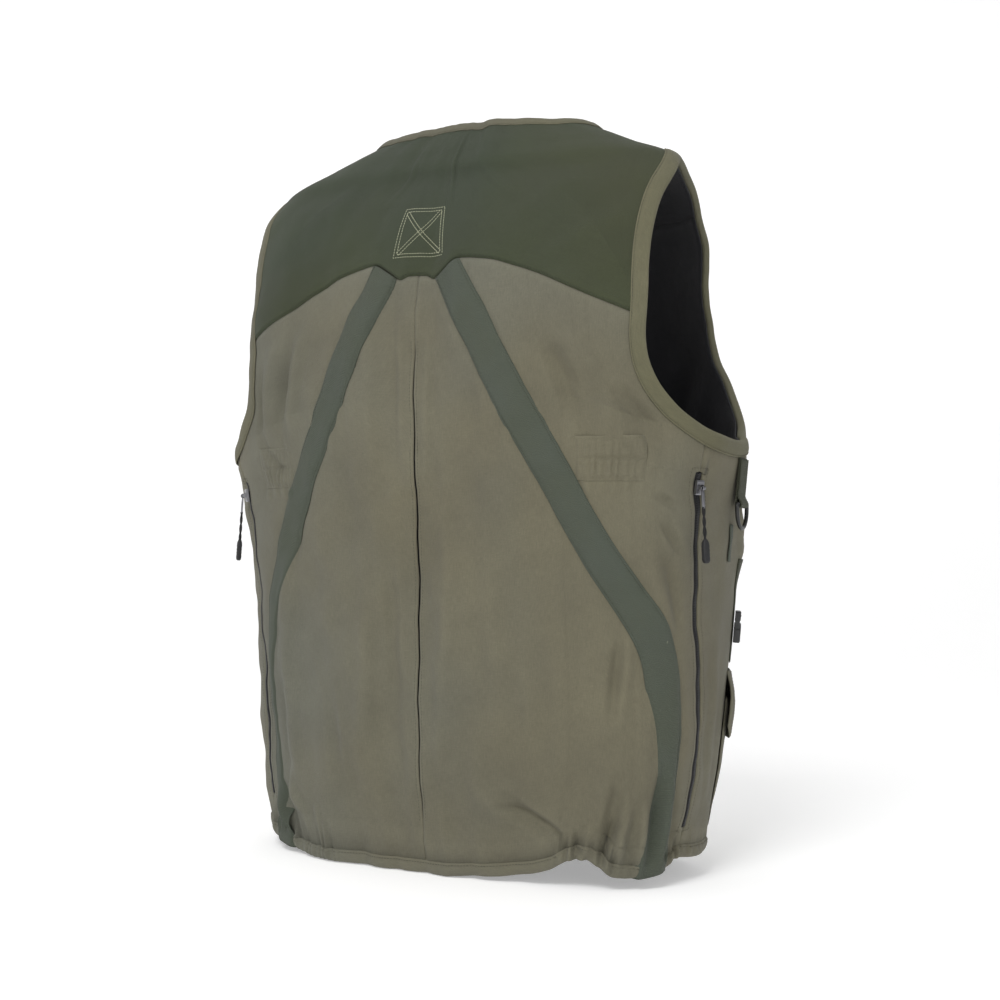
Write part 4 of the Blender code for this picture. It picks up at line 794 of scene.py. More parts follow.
def yoke_edge_z(angle):
    """Return the height of the yoke's back edge at an angle."""
    return read_column(YOKE_BACK_EDGE, "z", np.abs(angle), "angle")


def hem_z(angle):
    """Return the height of the hem at an angle."""
    return read_column(HEM_EDGE, "z", angle, "angle")


def side_name(side):
    """Return the word for a side."""
    return "left" if side == LEFT else "right"


def side_angle(side, z):
    """Return the angle of a side's seam and zip at a height."""
    return side * read_column(SIDE_LINE, side_name(side), z)


def hem_top_corner(side):
    """Return the height at which the side seam meets the hem casing."""
    z = HEM_LEVEL
    for _ in range(4):
        z = float(hem_z(side_angle(side, z))) + HEM_TALL
    return z


def side_heights(side):
    """Return the heights of the rows down the side seam, and half of the slot at each."""
    zip_rows = np.linspace(SIDE_ZIP_BOTTOM, SIDE_ZIP_TOP, SIDE_ZIP_ROWS)
    below = [hem_top_corner(side), SIDE_ZIP_BOTTOM - MM]
    above = [SIDE_ZIP_TOP + MM, SIDE_SEAM_ROW, ARMHOLE[ARM_SIDE // ARM_STEPS].z]
    z = below + list(zip_rows) + above
    half = [0.0] * len(below) + [ZIP_HALF] * len(zip_rows) + [0.0] * len(above)
    return np.array(z), np.array(half)


def side_edge(side, towards):
    """Return the side seam's line, drawn off it by the slot's half width."""
    z, half = side_heights(side)
    line = np.stack([side_angle(side, z), z], -1)
    return shift_degrees(line, towards * half)


def back_grid(side):
    """Fill one back panel, from its side seam to the centre."""
    angles = side * np.array(HEM_SHARES) * abs(side_edge(side, 0)[0, 0])
    bottom = np.stack([angles, hem_z(angles) + HEM_TALL], -1)
    top_angles = side * np.array(YOKE_COLUMNS)
    top = np.stack([top_angles, yoke_edge_z(top_angles)], -1)
    arm = arm_edge(side)[ARM_YOKE_BACK:ARM_SIDE][::-1]
    outer_edge = np.concatenate([side_edge(side, -side), arm])
    outer_edge[-1] = top[0]
    share = line_shares(outer_edge)
    z = bottom[-1, 1] + share * (top[-1, 1] - bottom[-1, 1])
    # Along the back pleat the panels stand apart by a narrow slit, through which the near-black lining shows as the
    # pleat's dark line: painted shade in place of the shell-coloured cloth that lies under the real pleat.
    along = np.clip((z - SLIT_BOTTOM) / (SLIT_TOP - SLIT_BOTTOM), 0, 1)
    slit = SLIT_HALF * np.sin(along * math.pi) ** 0.35
    centre = shift_degrees(np.stack([np.zeros(len(z)), z], -1), side * slit)
    bottom[-1] = centre[0]
    top[-1] = centre[-1]
    bottom[0] = outer_edge[0]
    if side == RIGHT:
        return fill(bottom, top, outer_edge, centre)
    return fill(bottom[::-1], top[::-1], centre, outer_edge)


def between(start, end, shares):
    """Return places on the straight line from one place to another, at these shares of it."""
    start, end = np.array(start, float), np.array(end, float)
    return start + np.array(shares)[:, None] * (end - start)


def front_top(side):
    """Return the upper edge of a front: the yoke seam, then the neck's slope down to the zip."""
    corner = ARMHOLE[ARM_YOKE_FRONT // ARM_STEPS]
    seam = between(corner, (FRONT_SEAM_NECK, float(neck_z(FRONT_SEAM_NECK))), YOKE_SHARES)
    slope = np.linspace(FRONT_SEAM_NECK, 180.0, NECK_STEPS + 1)[1:]
    points = np.concatenate([seam, np.stack([slope, neck_z(slope)], -1)])
    points = points * np.array([side, 1.0])
    points[-1] = shift_degrees(points[-1:], -side * ZIP_HALF)[0]
    return points


def front_zip_edge(side, z):
    """Return a front's edge beside the zip at these heights."""
    line = np.stack([np.full(len(z), side * 180.0), z], -1)
    return shift_degrees(line, -side * ZIP_HALF)


def front_grid(side):
    """Fill a front, below the armhole over its whole width and above it from armhole to zip.

    The grid runs from the side seam to the zip. A mask beside it tells which cells are cloth:
    those that would lie across the armhole are not.
    """
    arm = arm_edge(side)
    seam = side_edge(side, side)
    bottom_arc = arm[ARM_SIDE:ARM_FRONT_CORNER + 1]
    top = front_top(side)
    front_arc = arm[ARM_FRONT_CORNER:ARM_YOKE_FRONT + 1]
    front_arc[-1] = top[0]
    share = line_shares(front_arc)
    upper_zip = front_zip_edge(side, FRONT_CORNER_Z + share * (NECK_EDGE[-1].z - FRONT_CORNER_Z))
    level_angles = front_arc[0, 0] + line_shares(top) * (upper_zip[0, 0] - front_arc[0, 0])
    level_z = np.linspace(front_arc[0, 1], FRONT_CORNER_Z, len(top))
    level = np.stack([level_angles, level_z], -1)
    upper = fill(level, top, front_arc, upper_zip)
    shelf = np.concatenate([bottom_arc, level[1:]])
    shelf[0] = seam[-1]
    lower_share = line_shares(seam)
    hem_level = float(hem_z(180.0)) + HEM_TALL
    lower_zip = front_zip_edge(side, hem_level + lower_share * (FRONT_CORNER_Z - hem_level))
    lower_zip[-1] = shelf[-1]
    angles = seam[0, 0] + line_shares(shelf) * (lower_zip[0, 0] - seam[0, 0])
    bottom = np.stack([angles, hem_z(angles) + HEM_TALL], -1)
    bottom[0] = seam[0]
    bottom[-1] = lower_zip[0]
    lower = fill(bottom, shelf, seam, lower_zip)
    rows, outside = len(seam) - 1, len(bottom_arc) - 1
    grid = np.zeros((rows + len(front_arc), lower.shape[1], 2))
    grid[:rows + 1] = lower
    grid[rows + 1:, outside:] = upper[1:]
    grid[rows + 1:, :outside] = upper[1:, :1]
    keep = np.ones((grid.shape[0] - 1, grid.shape[1] - 1), bool)
    keep[rows:, :outside] = False
    return grid, keep


def trim_front(grid, keep, side_inset, hem_inset, zip_inset, arm_inset, top_inset):
    """Draw in the edges of a front's grid, with those of its armhole."""
    rows = int(np.argmin(keep[:, 0]))
    outside = int(np.argmax(keep[-1]))
    low = trim(grid[:rows + 1], (side_inset, zip_inset, hem_inset, 0.0))
    high = trim(grid[rows:, outside:], (arm_inset, zip_inset, 0.0, top_inset))
    out = grid.copy()
    out[:rows + 1] = low
    out[rows + 1:, outside:] = high[1:]
    shelf = trim(out[:rows + 1, :outside + 1], (0.0, 0.0, 0.0, arm_inset))[-1]
    out[rows, :outside + 1] = shelf
    return out


def yoke_outer_edge():
    """Return the yoke's outer edge: right armhole, back edge, left armhole."""
    def arm_arc(side):
        arm = arm_edge(side)
        return np.concatenate([arm[ARM_YOKE_FRONT:], arm[:ARM_YOKE_BACK]])

    angles = np.concatenate([-np.array(YOKE_COLUMNS), np.array(YOKE_COLUMNS[-2::-1])])
    back = np.stack([angles, yoke_edge_z(angles)], -1)
    return np.concatenate([arm_arc(RIGHT), back, arm_arc(LEFT)[::-1]])


def yoke_neck_edge():
    """Return the neck's edge along the yoke, a place for each place of its outer edge."""
    arc = len(arm_edge(LEFT)) - ARM_YOKE_FRONT + ARM_YOKE_BACK
    shares = np.array([0.0, 0.33, 0.67, 1.0])
    angles = np.array([FRONT_SEAM_NECK, 104.0, 78.0, 58.0])
    over = smooth_curve(np.arange(arc) / arc, shares, angles)
    columns = np.array(YOKE_COLUMNS)
    back = columns / columns[0] * angles[-1]
    right = np.concatenate([-over, -back])
    whole = np.concatenate([right, -right[-2::-1]])
    return np.stack([whole, neck_z(whole)], -1)


def yoke_grid():
    """Return the grid of places that the yoke covers."""
    outer_edge = yoke_outer_edge()
    neck = yoke_neck_edge()
    left = between(outer_edge[0], neck[0], YOKE_SHARES)
    right = between(outer_edge[-1], neck[-1], YOKE_SHARES)
    return fill(outer_edge, neck, left, right)


def new_material(name, colour, roughness, metallic=0.0, sheen=0.0):
    """Return a material with its shader and a helper that adds nodes to it."""
    made = bpy.data.materials.new(name)
    made.use_nodes = True
    made.diffuse_color = (*colour, 1.0)
    nodes, links = made.node_tree.nodes, made.node_tree.links
    shader = nodes["Principled BSDF"]
    shader.inputs["Base Color"].default_value = (*colour, 1.0)
    shader.inputs["Roughness"].default_value = roughness
    shader.inputs["Metallic"].default_value = metallic
    shader.inputs["Sheen Weight"].default_value = sheen
    shader.inputs["Sheen Roughness"].default_value = 0.6

    def add(kind, inputs=None, **settings):
        node = nodes.new(kind)
        for key, value in settings.items():
            setattr(node, key, value)
        for key, value in (inputs or {}).items():
            if isinstance(value, bpy.types.NodeSocket):
                links.new(value, node.inputs[key])
            else:
                node.inputs[key].default_value = value
        return node

    return made, shader, add, links


def math_node(add, operation, a, b=0.0, c=0.0):
    """Add a maths node and return its output."""
    return add("ShaderNodeMath", {0: a, 1: b, 2: c}, operation=operation).outputs[0]


def tone(colour, factor):
    """Return a colour made brighter or darker by a factor, as a shader takes it."""
    return (*(c * factor for c in colour), 1.0)


def cloth_material(name, colour, warm, weave, dusty=0.5, roughness=0.9, sheen=0.05):
    """Return a woven cloth: twill lines with painted shade in their hollows and painted highlight on their crests,
    uneven threads, soft cloudy colour, a warmer tone towards the sides that is partly painted shade, and rubbed high
    spots.

    The weave is its period in metres, how far its lines slant, and the depth of its relief.
    """
    made, shader, add, links = new_material(name, colour, roughness, 0.0, sheen)
    period, slant, depth = weave
    flat = add("ShaderNodeUVMap", uv_map="weave").outputs[0]
    place = add("ShaderNodeNewGeometry").outputs["Position"]
    split = add("ShaderNodeSeparateXYZ", {0: flat})
    u, v = split.outputs[0], split.outputs[1]
    threads = add("ShaderNodeTexNoise", {"Vector": add("ShaderNodeMapping", {
        "Vector": flat, "Scale": (1 / period, 0.12 / period, 1.0)}).outputs[0],
        "Scale": 1.0, "Detail": 2.0})
    picks = add("ShaderNodeTexNoise", {"Vector": add("ShaderNodeMapping", {
        "Vector": flat, "Scale": (0.12 / period, 1 / period, 1.0)}).outputs[0],
        "Scale": 1.0, "Detail": 2.0})
    slanted = math_node(add, "MULTIPLY_ADD", v, slant, u)
    diagonal = math_node(add, "MULTIPLY", slanted, 2 * math.pi / period)
    twill = math_node(add, "SINE", diagonal)
    across = math_node(add, "SINE", math_node(add, "MULTIPLY", v, 2 * math.pi / period))
    weave_height = math_node(add, "ADD", math_node(add, "MULTIPLY", twill, 0.5),
                             math_node(add, "MULTIPLY", across, 0.25))
    woven = math_node(add, "ADD", weave_height, math_node(add, "ADD", threads.outputs[0], picks.outputs[0]))
    clouds = add("ShaderNodeTexNoise", {"Vector": place, "Scale": 9.0, "Detail": 5.0, "Roughness": 0.6})
    patches = add("ShaderNodeTexNoise", {"Vector": place, "Scale": 3.2, "Detail": 2.0})
    specks = add("ShaderNodeTexNoise", {"Vector": place, "Scale": 900.0, "Detail": 2.0})
    base = add("ShaderNodeMix", {6: (*colour, 1.0), 7: (*warm, 1.0)}, data_type="RGBA")
    ramp = add("ShaderNodeMapRange", {"Value": patches.outputs[0], "From Min": 0.42, "From Max": 0.70})
    # Towards the sides, |x| from 0.19 to 0.26 m, the cloth blends into its warm colour by place alone: on the shell
    # this is partly painted shade, a little darker where the sides turn from the light, and partly a warmer tone.
    aside = math_node(add, "ABSOLUTE", add("ShaderNodeSeparateXYZ", {0: place}).outputs[0])
    sides = add("ShaderNodeMapRange", {"Value": aside, "From Min": 0.19, "From Max": 0.26})
    links.new(math_node(add, "MAXIMUM", ramp.outputs[0], sides.outputs[0]), base.inputs[0])
    shades = [
        (clouds.outputs[0], 0.35, 0.65, 0.90, 1.10),
        (threads.outputs[0], 0.30, 0.70, 0.93, 1.07),
        (picks.outputs[0], 0.30, 0.70, 0.95, 1.05),
        # the weave's hollows painted darker and its crests lighter: painted shade and highlight
        (weave_height, -0.7, 0.7, 0.92, 1.06),
        (specks.outputs[0], 0.30, 0.70, 0.96, 1.04),
    ]
    factor = None
    for value, low, high, darker, lighter in shades:
        part = add("ShaderNodeMapRange", {"Value": value, "From Min": low, "From Max": high,
                                          "To Min": darker, "To Max": lighter}).outputs[0]
        factor = part if factor is None else math_node(add, "MULTIPLY", factor, part)
    rubbed = add("ShaderNodeMapRange", {"Value": add("ShaderNodeNewGeometry").outputs["Pointiness"],
                                        "From Min": 0.50, "From Max": 0.56, "To Min": 1.0,
                                        "To Max": 1.0 + 0.25 * dusty}).outputs[0]
    factor = math_node(add, "MULTIPLY", factor, rubbed)
    scaled = add("ShaderNodeVectorMath", {0: base.outputs[2], 3: factor}, operation="SCALE")
    links.new(scaled.outputs[0], shader.inputs["Base Color"])
    rough = add("ShaderNodeMapRange", {"Value": clouds.outputs[0], "From Min": 0.3, "From Max": 0.7,
                                       "To Min": roughness - 0.08, "To Max": min(1.0, roughness + 0.06)})
    links.new(rough.outputs[0], shader.inputs["Roughness"])
    crumple = add("ShaderNodeTexNoise", {"Vector": place, "Scale": 55.0, "Detail": 4.0, "Roughness": 0.55})
    soft = add("ShaderNodeBump", {"Height": crumple.outputs[0], "Strength": 0.35, "Distance": 0.0022})
    fine = add("ShaderNodeBump", {"Height": woven, "Strength": 0.6, "Distance": depth,
                                  "Normal": soft.outputs[0]})
    links.new(fine.outputs[0], shader.inputs["Normal"])
    return made


def webbing_material(name, colour, warm, rib, depth):
    """Return a woven tape: ribs across its length and a finer grain along it."""
    made, shader, add, links = new_material(name, colour, 0.85, 0.0, 0.04)
    flat = add("ShaderNodeUVMap", uv_map="weave").outputs[0]
    place = add("ShaderNodeNewGeometry").outputs["Position"]
    split = add("ShaderNodeSeparateXYZ", {0: flat})
    u, v = split.outputs[0], split.outputs[1]
    ribs = math_node(add, "SINE", math_node(add, "MULTIPLY", v, 2 * math.pi / rib))
    grain = math_node(add, "SINE", math_node(add, "MULTIPLY", u, 2 * math.pi / (rib * 0.8)))
    height = math_node(add, "MULTIPLY_ADD", grain, 0.45, ribs)
    clouds = add("ShaderNodeTexNoise", {"Vector": place, "Scale": 16.0, "Detail": 5.0})
    fuzz = add("ShaderNodeTexNoise", {"Vector": place, "Scale": 1200.0, "Detail": 1.0})
    base = add("ShaderNodeMix", {6: (*colour, 1.0), 7: (*warm, 1.0)}, data_type="RGBA")
    ramp = add("ShaderNodeMapRange", {"Value": clouds.outputs[0], "From Min": 0.36, "From Max": 0.64})
    links.new(ramp.outputs[0], base.inputs[0])
    # The ribs' hollows are painted darker and their crests lighter: painted shade and highlight.
    shade = add("ShaderNodeMapRange", {"Value": height, "From Min": -1.4, "From Max": 1.4,
                                       "To Min": 0.88, "To Max": 1.08}).outputs[0]
    fleck = add("ShaderNodeMapRange", {"Value": fuzz.outputs[0], "From Min": 0.3, "From Max": 0.7,
                                       "To Min": 0.94, "To Max": 1.06}).outputs[0]
    scaled = add("ShaderNodeVectorMath", {0: base.outputs[2], 3: math_node(add, "MULTIPLY", shade, fleck)},
                 operation="SCALE")
    links.new(scaled.outputs[0], shader.inputs["Base Color"])
    bump = add("ShaderNodeBump", {"Height": height, "Strength": 0.7, "Distance": depth})
    links.new(bump.outputs[0], shader.inputs["Normal"])
    return made


def hard_material(name, colour, roughness, metallic, grain, coat=0.0):
    """Return a moulded or cast surface: fine pits, dull patches and lighter worn edges."""
    made, shader, add, links = new_material(name, colour, roughness, metallic)
    shader.inputs["Coat Weight"].default_value = coat
    place = add("ShaderNodeNewGeometry").outputs["Position"]
    pits = add("ShaderNodeTexNoise", {"Vector": place, "Scale": grain, "Detail": 3.0})
    dull = add("ShaderNodeTexNoise", {"Vector": place, "Scale": 130.0, "Detail": 4.0})
    worn = add("ShaderNodeMapRange", {"Value": add("ShaderNodeNewGeometry").outputs["Pointiness"],
                                      "From Min": 0.50, "From Max": 0.60})
    patchy = math_node(add, "MULTIPLY", worn.outputs[0], dull.outputs[0])
    base = add("ShaderNodeMix", {0: patchy, 6: (*colour, 1.0), 7: tone(colour, 1.9)}, data_type="RGBA")
    links.new(base.outputs[2], shader.inputs["Base Color"])
    rough = add("ShaderNodeMapRange", {"Value": dull.outputs[0], "From Min": 0.3, "From Max": 0.7,
                                       "To Min": roughness - 0.07, "To Max": roughness + 0.12})
    links.new(rough.outputs[0], shader.inputs["Roughness"])
    bump = add("ShaderNodeBump", {"Height": pits.outputs[0], "Strength": 0.25, "Distance": 0.00012})
    links.new(bump.outputs[0], shader.inputs["Normal"])
    return made


# Each cloth's colour and the warm colour it takes in random patches and towards the sides; the shell's warm colour is
# a little darker, painted shade on its sides.
SHELL = (0.122, 0.125, 0.100)
SHELL_WARM = (0.130, 0.119, 0.077)
YOKE = (0.030, 0.0405, 0.0205)
YOKE_WARM = (0.041, 0.046, 0.018)
STRAP = (0.061, 0.072, 0.053)
STRAP_WARM = (0.060, 0.070, 0.048)
BINDING = (0.108, 0.103, 0.070)
BINDING_WARM = (0.108, 0.102, 0.056)
MATERIALS = {
    "shell_cloth": cloth_material("shell_cloth_look", SHELL, SHELL_WARM, (0.0009, 1.0, 0.00016)),
    "yoke_cloth": cloth_material("yoke_cloth_look", YOKE, YOKE_WARM, (0.0009, 1.0, 0.00014), 0.6, 0.88, 0.05),
    "binding_tape": cloth_material("binding_tape_look", BINDING, BINDING_WARM, (0.0011, 0.0, 0.00018), 0.8),
    "lining_cloth": cloth_material("lining_cloth_look", (0.0065, 0.0065, 0.0100), (0.0090, 0.0085, 0.0110),
                                   (0.0007, 0.0, 0.00008), 0.2, 0.72, 0.05),
    "strap_webbing": webbing_material("strap_webbing_look", STRAP, STRAP_WARM, 0.0016, 0.00020),
    "dark_webbing": webbing_material("dark_webbing_look", (0.046, 0.052, 0.029), (0.038, 0.040, 0.021),
                                     0.0018, 0.00028),
    "zip_tape": webbing_material("zip_tape_look", (0.0065, 0.0065, 0.0070), (0.0090, 0.0085, 0.0085),
                                 0.0009, 0.00012),
    "zip_teeth": hard_material("zip_teeth_look", (0.010, 0.010, 0.011), 0.42, 0.0, 2500.0),
    "zip_metal": hard_material("zip_metal_look", (0.17, 0.17, 0.18), 0.36, 1.0, 1800.0),
    "black_plastic": hard_material("black_plastic_look", (0.010, 0.0105, 0.0100), 0.40, 0.0, 1500.0, 0.1),
    "rubber": hard_material("rubber_look", (0.011, 0.011, 0.012), 0.62, 0.0, 2200.0),
    "pale_thread": webbing_material("pale_thread_look", (0.46, 0.47, 0.33), (0.40, 0.41, 0.27),
                                    0.0006, 0.00008),
    "shell_thread": webbing_material("shell_thread_look", (0.075, 0.070, 0.048), (0.060, 0.056, 0.038),
                                     0.0006, 0.00008),
    "green_thread": webbing_material("green_thread_look", (0.046, 0.052, 0.030), (0.036, 0.042, 0.024),
                                     0.0006, 0.00008),
}


def make_piece(name, material, vertices, faces, uv=None, slot=None, stands_for=(), body="vest", sharp=None):
    """Make one named piece that rides on a body and may stand for solids."""
    mesh = bpy.data.meshes.new(name)
    mesh.from_pydata(np.asarray(vertices, float).tolist(), [], faces)
    work = bmesh.new()
    work.from_mesh(mesh)
    bmesh.ops.recalc_face_normals(work, faces=work.faces)
    work.to_mesh(mesh)
    work.free()
    mesh.materials.append(MATERIALS[material])
    if uv is None:
        uv = np.asarray(vertices, float)[:, (0, 2)]
    layer = mesh.uv_layers.new(name="weave")
    corners = np.zeros(len(mesh.loops), np.int32)
    mesh.loops.foreach_get("vertex_index", corners)
    layer.data.foreach_set("uv", np.asarray(uv, np.float32)[corners].ravel())
    mesh.shade_smooth()
    if sharp is not None:
        mesh.set_sharp_from_angle(angle=math.radians(sharp))
    piece = bpy.data.objects.new(name, mesh)
    bpy.context.scene.collection.objects.link(piece)
    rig.ride(piece, body)
    if slot or material in SLOTS:
        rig.slot(piece, slot or material)
    if stands_for:
        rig.replaces(piece, *([stands_for] if isinstance(stands_for, str) else stands_for))
    return piece


SLOTS = {entry["slot"] for entry in frame["record"]["materials"]}


def cloth_uv(points):
    """Return how far each point of a grid lies along its row and its column, in metres."""
    across = np.zeros(points.shape[:2])
    across[:, 1:] = np.cumsum(np.linalg.norm(np.diff(points, axis=1), axis=2), axis=1)
    across -= across[:, -1:]
    up = np.zeros(points.shape[:2])
    up[1:] = np.cumsum(np.linalg.norm(np.diff(points, axis=0), axis=2), axis=0)
    return np.stack([across, up], -1)


def grid_faces(rows, columns, keep=None):
    """Return the faces of a grid of points, over all its cells or those kept."""
    number = np.arange(rows * columns).reshape(rows, columns)
    faces = np.stack([number[:-1, :-1], number[:-1, 1:], number[1:, 1:], number[1:, :-1]], -1)
    return faces[keep] if keep is not None else faces.reshape(-1, 4)


def rim_pairs(faces, count):
    """Return the directed edges that only one face has."""
    edges = np.stack([faces, np.roll(faces, -1, axis=1)], -1).reshape(-1, 2)
    key = edges[:, 0] * count + edges[:, 1]
    back = edges[:, 1] * count + edges[:, 0]
    return edges[~np.isin(key, back)]


def shell(name, material, inner, outer, keep=None, stands_for=()):
    """Close two matching grids of points into a thin shell, its rim a single smooth-shaded wall."""
    rows, columns = outer.shape[:2]
    count = rows * columns
    faces = grid_faces(rows, columns, keep)
    rim = rim_pairs(faces, count)
    used = np.unique(faces)
    new = np.full(count, -1)
    new[used] = np.arange(len(used))
    size = len(used)
    top, pairs = new[faces], new[rim]
    walls = np.stack([pairs[:, 1], pairs[:, 0], pairs[:, 0] + size, pairs[:, 1] + size], 1)
    vertices = np.concatenate([outer.reshape(-1, 3)[used], inner.reshape(-1, 3)[used]])
    uv = cloth_uv(outer).reshape(-1, 2)[used]
    every = np.concatenate([top, top[:, ::-1] + size, walls])
    return make_piece(name, material, vertices, every.tolist(), np.concatenate([uv, uv]),
                      stands_for=stands_for)


def tube_faces(count, around, closed):
    """Return the faces that join a row of closed outlines, with both caps unless the row is a loop."""
    number = np.arange(count * around).reshape(count, around)
    ahead = np.roll(number, -1, axis=0) if closed else number[1:]
    here = number if closed else number[:-1]
    faces = np.stack([here, ahead, np.roll(ahead, -1, axis=1), np.roll(here, -1, axis=1)], -1)
    faces = faces.reshape(-1, 4).tolist()
    return faces if closed else faces + [number[0].tolist(), number[-1][::-1].tolist()]


def tube(name, material, sections, closed, stands_for=(), slot=None, body="vest", sharp=None):
    """Join a row of closed outlines into one piece, capped at both ends unless it is a loop."""
    faces = tube_faces(*sections.shape[:2], closed)
    uv = cloth_uv(sections)
    return make_piece(name, material, sections.reshape(-1, 3), faces, uv.reshape(-1, 2), slot, stands_for,
                      body, sharp)


def cloth(name, material, grid, low, high, keep=None, insets=(SEAM / 2,) * 4, soft=0.0, stands_for=()):
    """Make a sheet of cloth over a grid of places, with its borders turned down by a little."""
    if any(insets):
        grid = trim(grid, insets)
    high = np.zeros(grid.shape[:2]) + high
    for border in (high[0], high[-1], high[:, 0], high[:, -1]):
        border -= soft
    return shell(name, material, skin(grid, low), skin(grid, high), keep, stands_for)


def under_waist(grid, side):
    """Return 1 where a panel lies under its waist casing and 0 away from it."""
    start, end = WAIST_SPAN[side]
    angle = np.abs(grid[..., 0])
    inside = np.minimum(angle - start, end - angle) * MEAN_RADIUS * math.pi / 180
    inside = np.minimum(inside, WAIST_TALL / 2 - np.abs(grid[..., 1] - WAIST_Z))
    return np.clip(inside / (3.0 * MM) + 0.25, 0, 1)


def make_panels():
    """Make the outer cloth of the back, the fronts and the yoke."""
    half = SEAM / 2
    made = {}
    for side, word in SIDES:
        grid = back_grid(side)
        high = CLOTH - 1.5 * MM * under_waist(grid, side)
        made["back_" + word] = cloth("cloth_back_" + word, "shell_cloth", grid, 0.0, high,
                                     soft=0.7 * MM, stands_for="back_" + word)
        grid, keep = front_grid(side)
        grid = trim_front(grid, keep, half, half, 0.0, half, half)
        made["front_" + word] = cloth("cloth_front_" + word, "shell_cloth", grid, 0.0, CLOTH, keep,
                                      (0.0,) * 4, 0.7 * MM, "front_" + word)
    grid = yoke_grid()
    high = np.full(grid.shape[:2], YOKE_OUT)
    high[1:4] += 0.5 * MM
    made["yoke"] = cloth("cloth_yoke", "yoke_cloth", grid, 0.0, high, soft=0.8 * MM, stands_for="yoke")
    return made


def make_linings():
    """Make the dark lining that shows in the armholes and neck; through the back pleat's slit it shows as the pleat's
    dark line, painted shade.
    """
    right, left = back_grid(RIGHT)[::3, ::3], back_grid(LEFT)[::3, ::-3][:, ::-1]
    middle = (right[:, -1:] + left[:, :1]) / 2
    middle[..., 0] = 0.0
    back = np.concatenate([right[:, :-1], middle, left[:, 1:]], axis=1)
    gap = LINING_GAP
    made = {}
    made["lining_back"] = cloth("cloth_lining_back", "lining_cloth", back, LINING_IN, LINING_OUT,
                                insets=(0.0, 0.0, gap, 0.0), stands_for="lining_back")
    for side, word in SIDES:
        grid, keep = front_grid(side)
        rows = kept_lines(grid.shape[0], int(np.argmin(keep[:, 0])))
        columns = kept_lines(grid.shape[1], int(np.argmax(keep[-1])))
        grid = grid[rows][:, columns]
        keep = keep[rows[:-1]][:, columns[:-1]]
        made["lining_front_" + word] = cloth("cloth_lining_front_" + word, "lining_cloth", grid, LINING_IN,
                                             LINING_OUT, keep, (0.0,) * 4, 0.0, "lining_front_" + word)
    yoke = yoke_grid()[::2, ::2]
    made["lining_yoke"] = cloth("cloth_lining_yoke", "lining_cloth", yoke, LINING_IN, LINING_OUT,
                                insets=(SEAM / 2,) * 4, stands_for="lining_yoke")
    return made


def kept_lines(count, corner=0):
    """Pick every second line of a grid, its last one, and the one at a corner."""
    picked = {k for k in range(0, count, 2) if abs(k - corner) != 1}
    return sorted(picked | {corner, count - 1})


# A folded tape's profile: distance in from the edge as a share of its width or, where the share is
# 0, in millimetres past the edge, and height in millimetres.
BindRow = namedtuple("BindRow", "share past height")
BINDING_STITCH = 0.885         # share of the width at which the stitches press the tape down
BINDING_PROFILE = (
    BindRow(1.00, 0.0, 2.6), BindRow(0.975, 0.0, 3.5), BindRow(0.935, 0.0, 3.9),
    BindRow(BINDING_STITCH, 0.0, 3.35),
    BindRow(0.835, 0.0, 3.95), BindRow(0.70, 0.0, 4.45),
    BindRow(0.45, 0.0, 4.7), BindRow(0.22, 0.0, 4.8), BindRow(0.06, 0.0, 4.4), BindRow(0.0, 0.7, 3.4),
    BindRow(0.0, 1.3, 1.8), BindRow(0.0, 1.3, -0.4), BindRow(0.0, 0.9, -1.8), BindRow(0.05, 0.0, -2.6),
    BindRow(0.30, 0.0, -3.0), BindRow(0.80, 0.0, -3.0), BindRow(0.98, 0.0, -2.4), BindRow(0.98, 0.0, -1.7),
    BindRow(0.50, 0.0, -1.4), BindRow(0.0, 0.1, -0.8), BindRow(0.0, 0.1, 1.8), BindRow(0.50, 0.0, 2.8),
)


def binding_sections(line, width, cloth_side, closed):
    """Return the sections of a soft tape that is folded over an edge of the cloth."""
    cache = {}
    stack = []
    run = line_run(line)
    ripple = 0.22 * MM * np.sin(run / 0.0115) * np.sin(run / 0.043 + 1.0)
    for row in BINDING_PROFILE:
        offset = row.share * width - row.past * MM
        if offset not in cache:
            cache[offset] = beside(line, cloth_side * offset, closed)
        proud = ripple if row.height > 3 else 0.0
        stack.append(skin(cache[offset], np.full(len(line), row.height * MM) + proud))
    return np.stack(stack, axis=1)


def line_run(line):
    """Return how far along a line each of its places lies, in metres."""
    point = body_point(line[:, 0], line[:, 1])
    return np.concatenate([[0.0], np.cumsum(np.linalg.norm(np.diff(point, axis=0), axis=1))])


def neck_line():
    """Return the neck's edge from the right of the front zip round to its left."""
    slopes = {side: front_top(side)[len(YOKE_SHARES):] for side in (LEFT, RIGHT)}
    return np.concatenate([slopes[RIGHT][::-1], yoke_neck_edge(), slopes[LEFT]])


def make_bindings():
    """Make the binding tapes of both armholes and of the neck."""
    made = {}
    for side, word in SIDES:
        sections = binding_sections(arm_edge(side), BIND_WIDTH, side, True)
        made["binding_arm_" + word] = tube("cloth_binding_arm_" + word, "binding_tape", sections, True,
                                           "binding_arm_" + word)
    sections = binding_sections(neck_line(), NECK_BIND_WIDTH, 1, False)
    made["binding_neck"] = tube("cloth_binding_neck", "binding_tape", sections, False, "binding_neck")
    return made


HEM_GATHERS = ((-79.5, -73.0), (-68.6, -51.0), (44.0, 65.5))     # where the hem is puckered: angles
HEM_PUCKER = 1.5 * MM
HEM_LEVELS = (0.0, 0.03, 0.10, 0.22, 0.38, 0.55, 0.70, 0.80, 0.86, 0.92, 0.98, 1.08)
HEM_HEIGHTS = (0.3, 1.3, 2.3, 3.0, 3.4, 3.4, 3.2, 2.8, 2.5, 2.8, 2.1, 0.8)     # millimetres at those levels


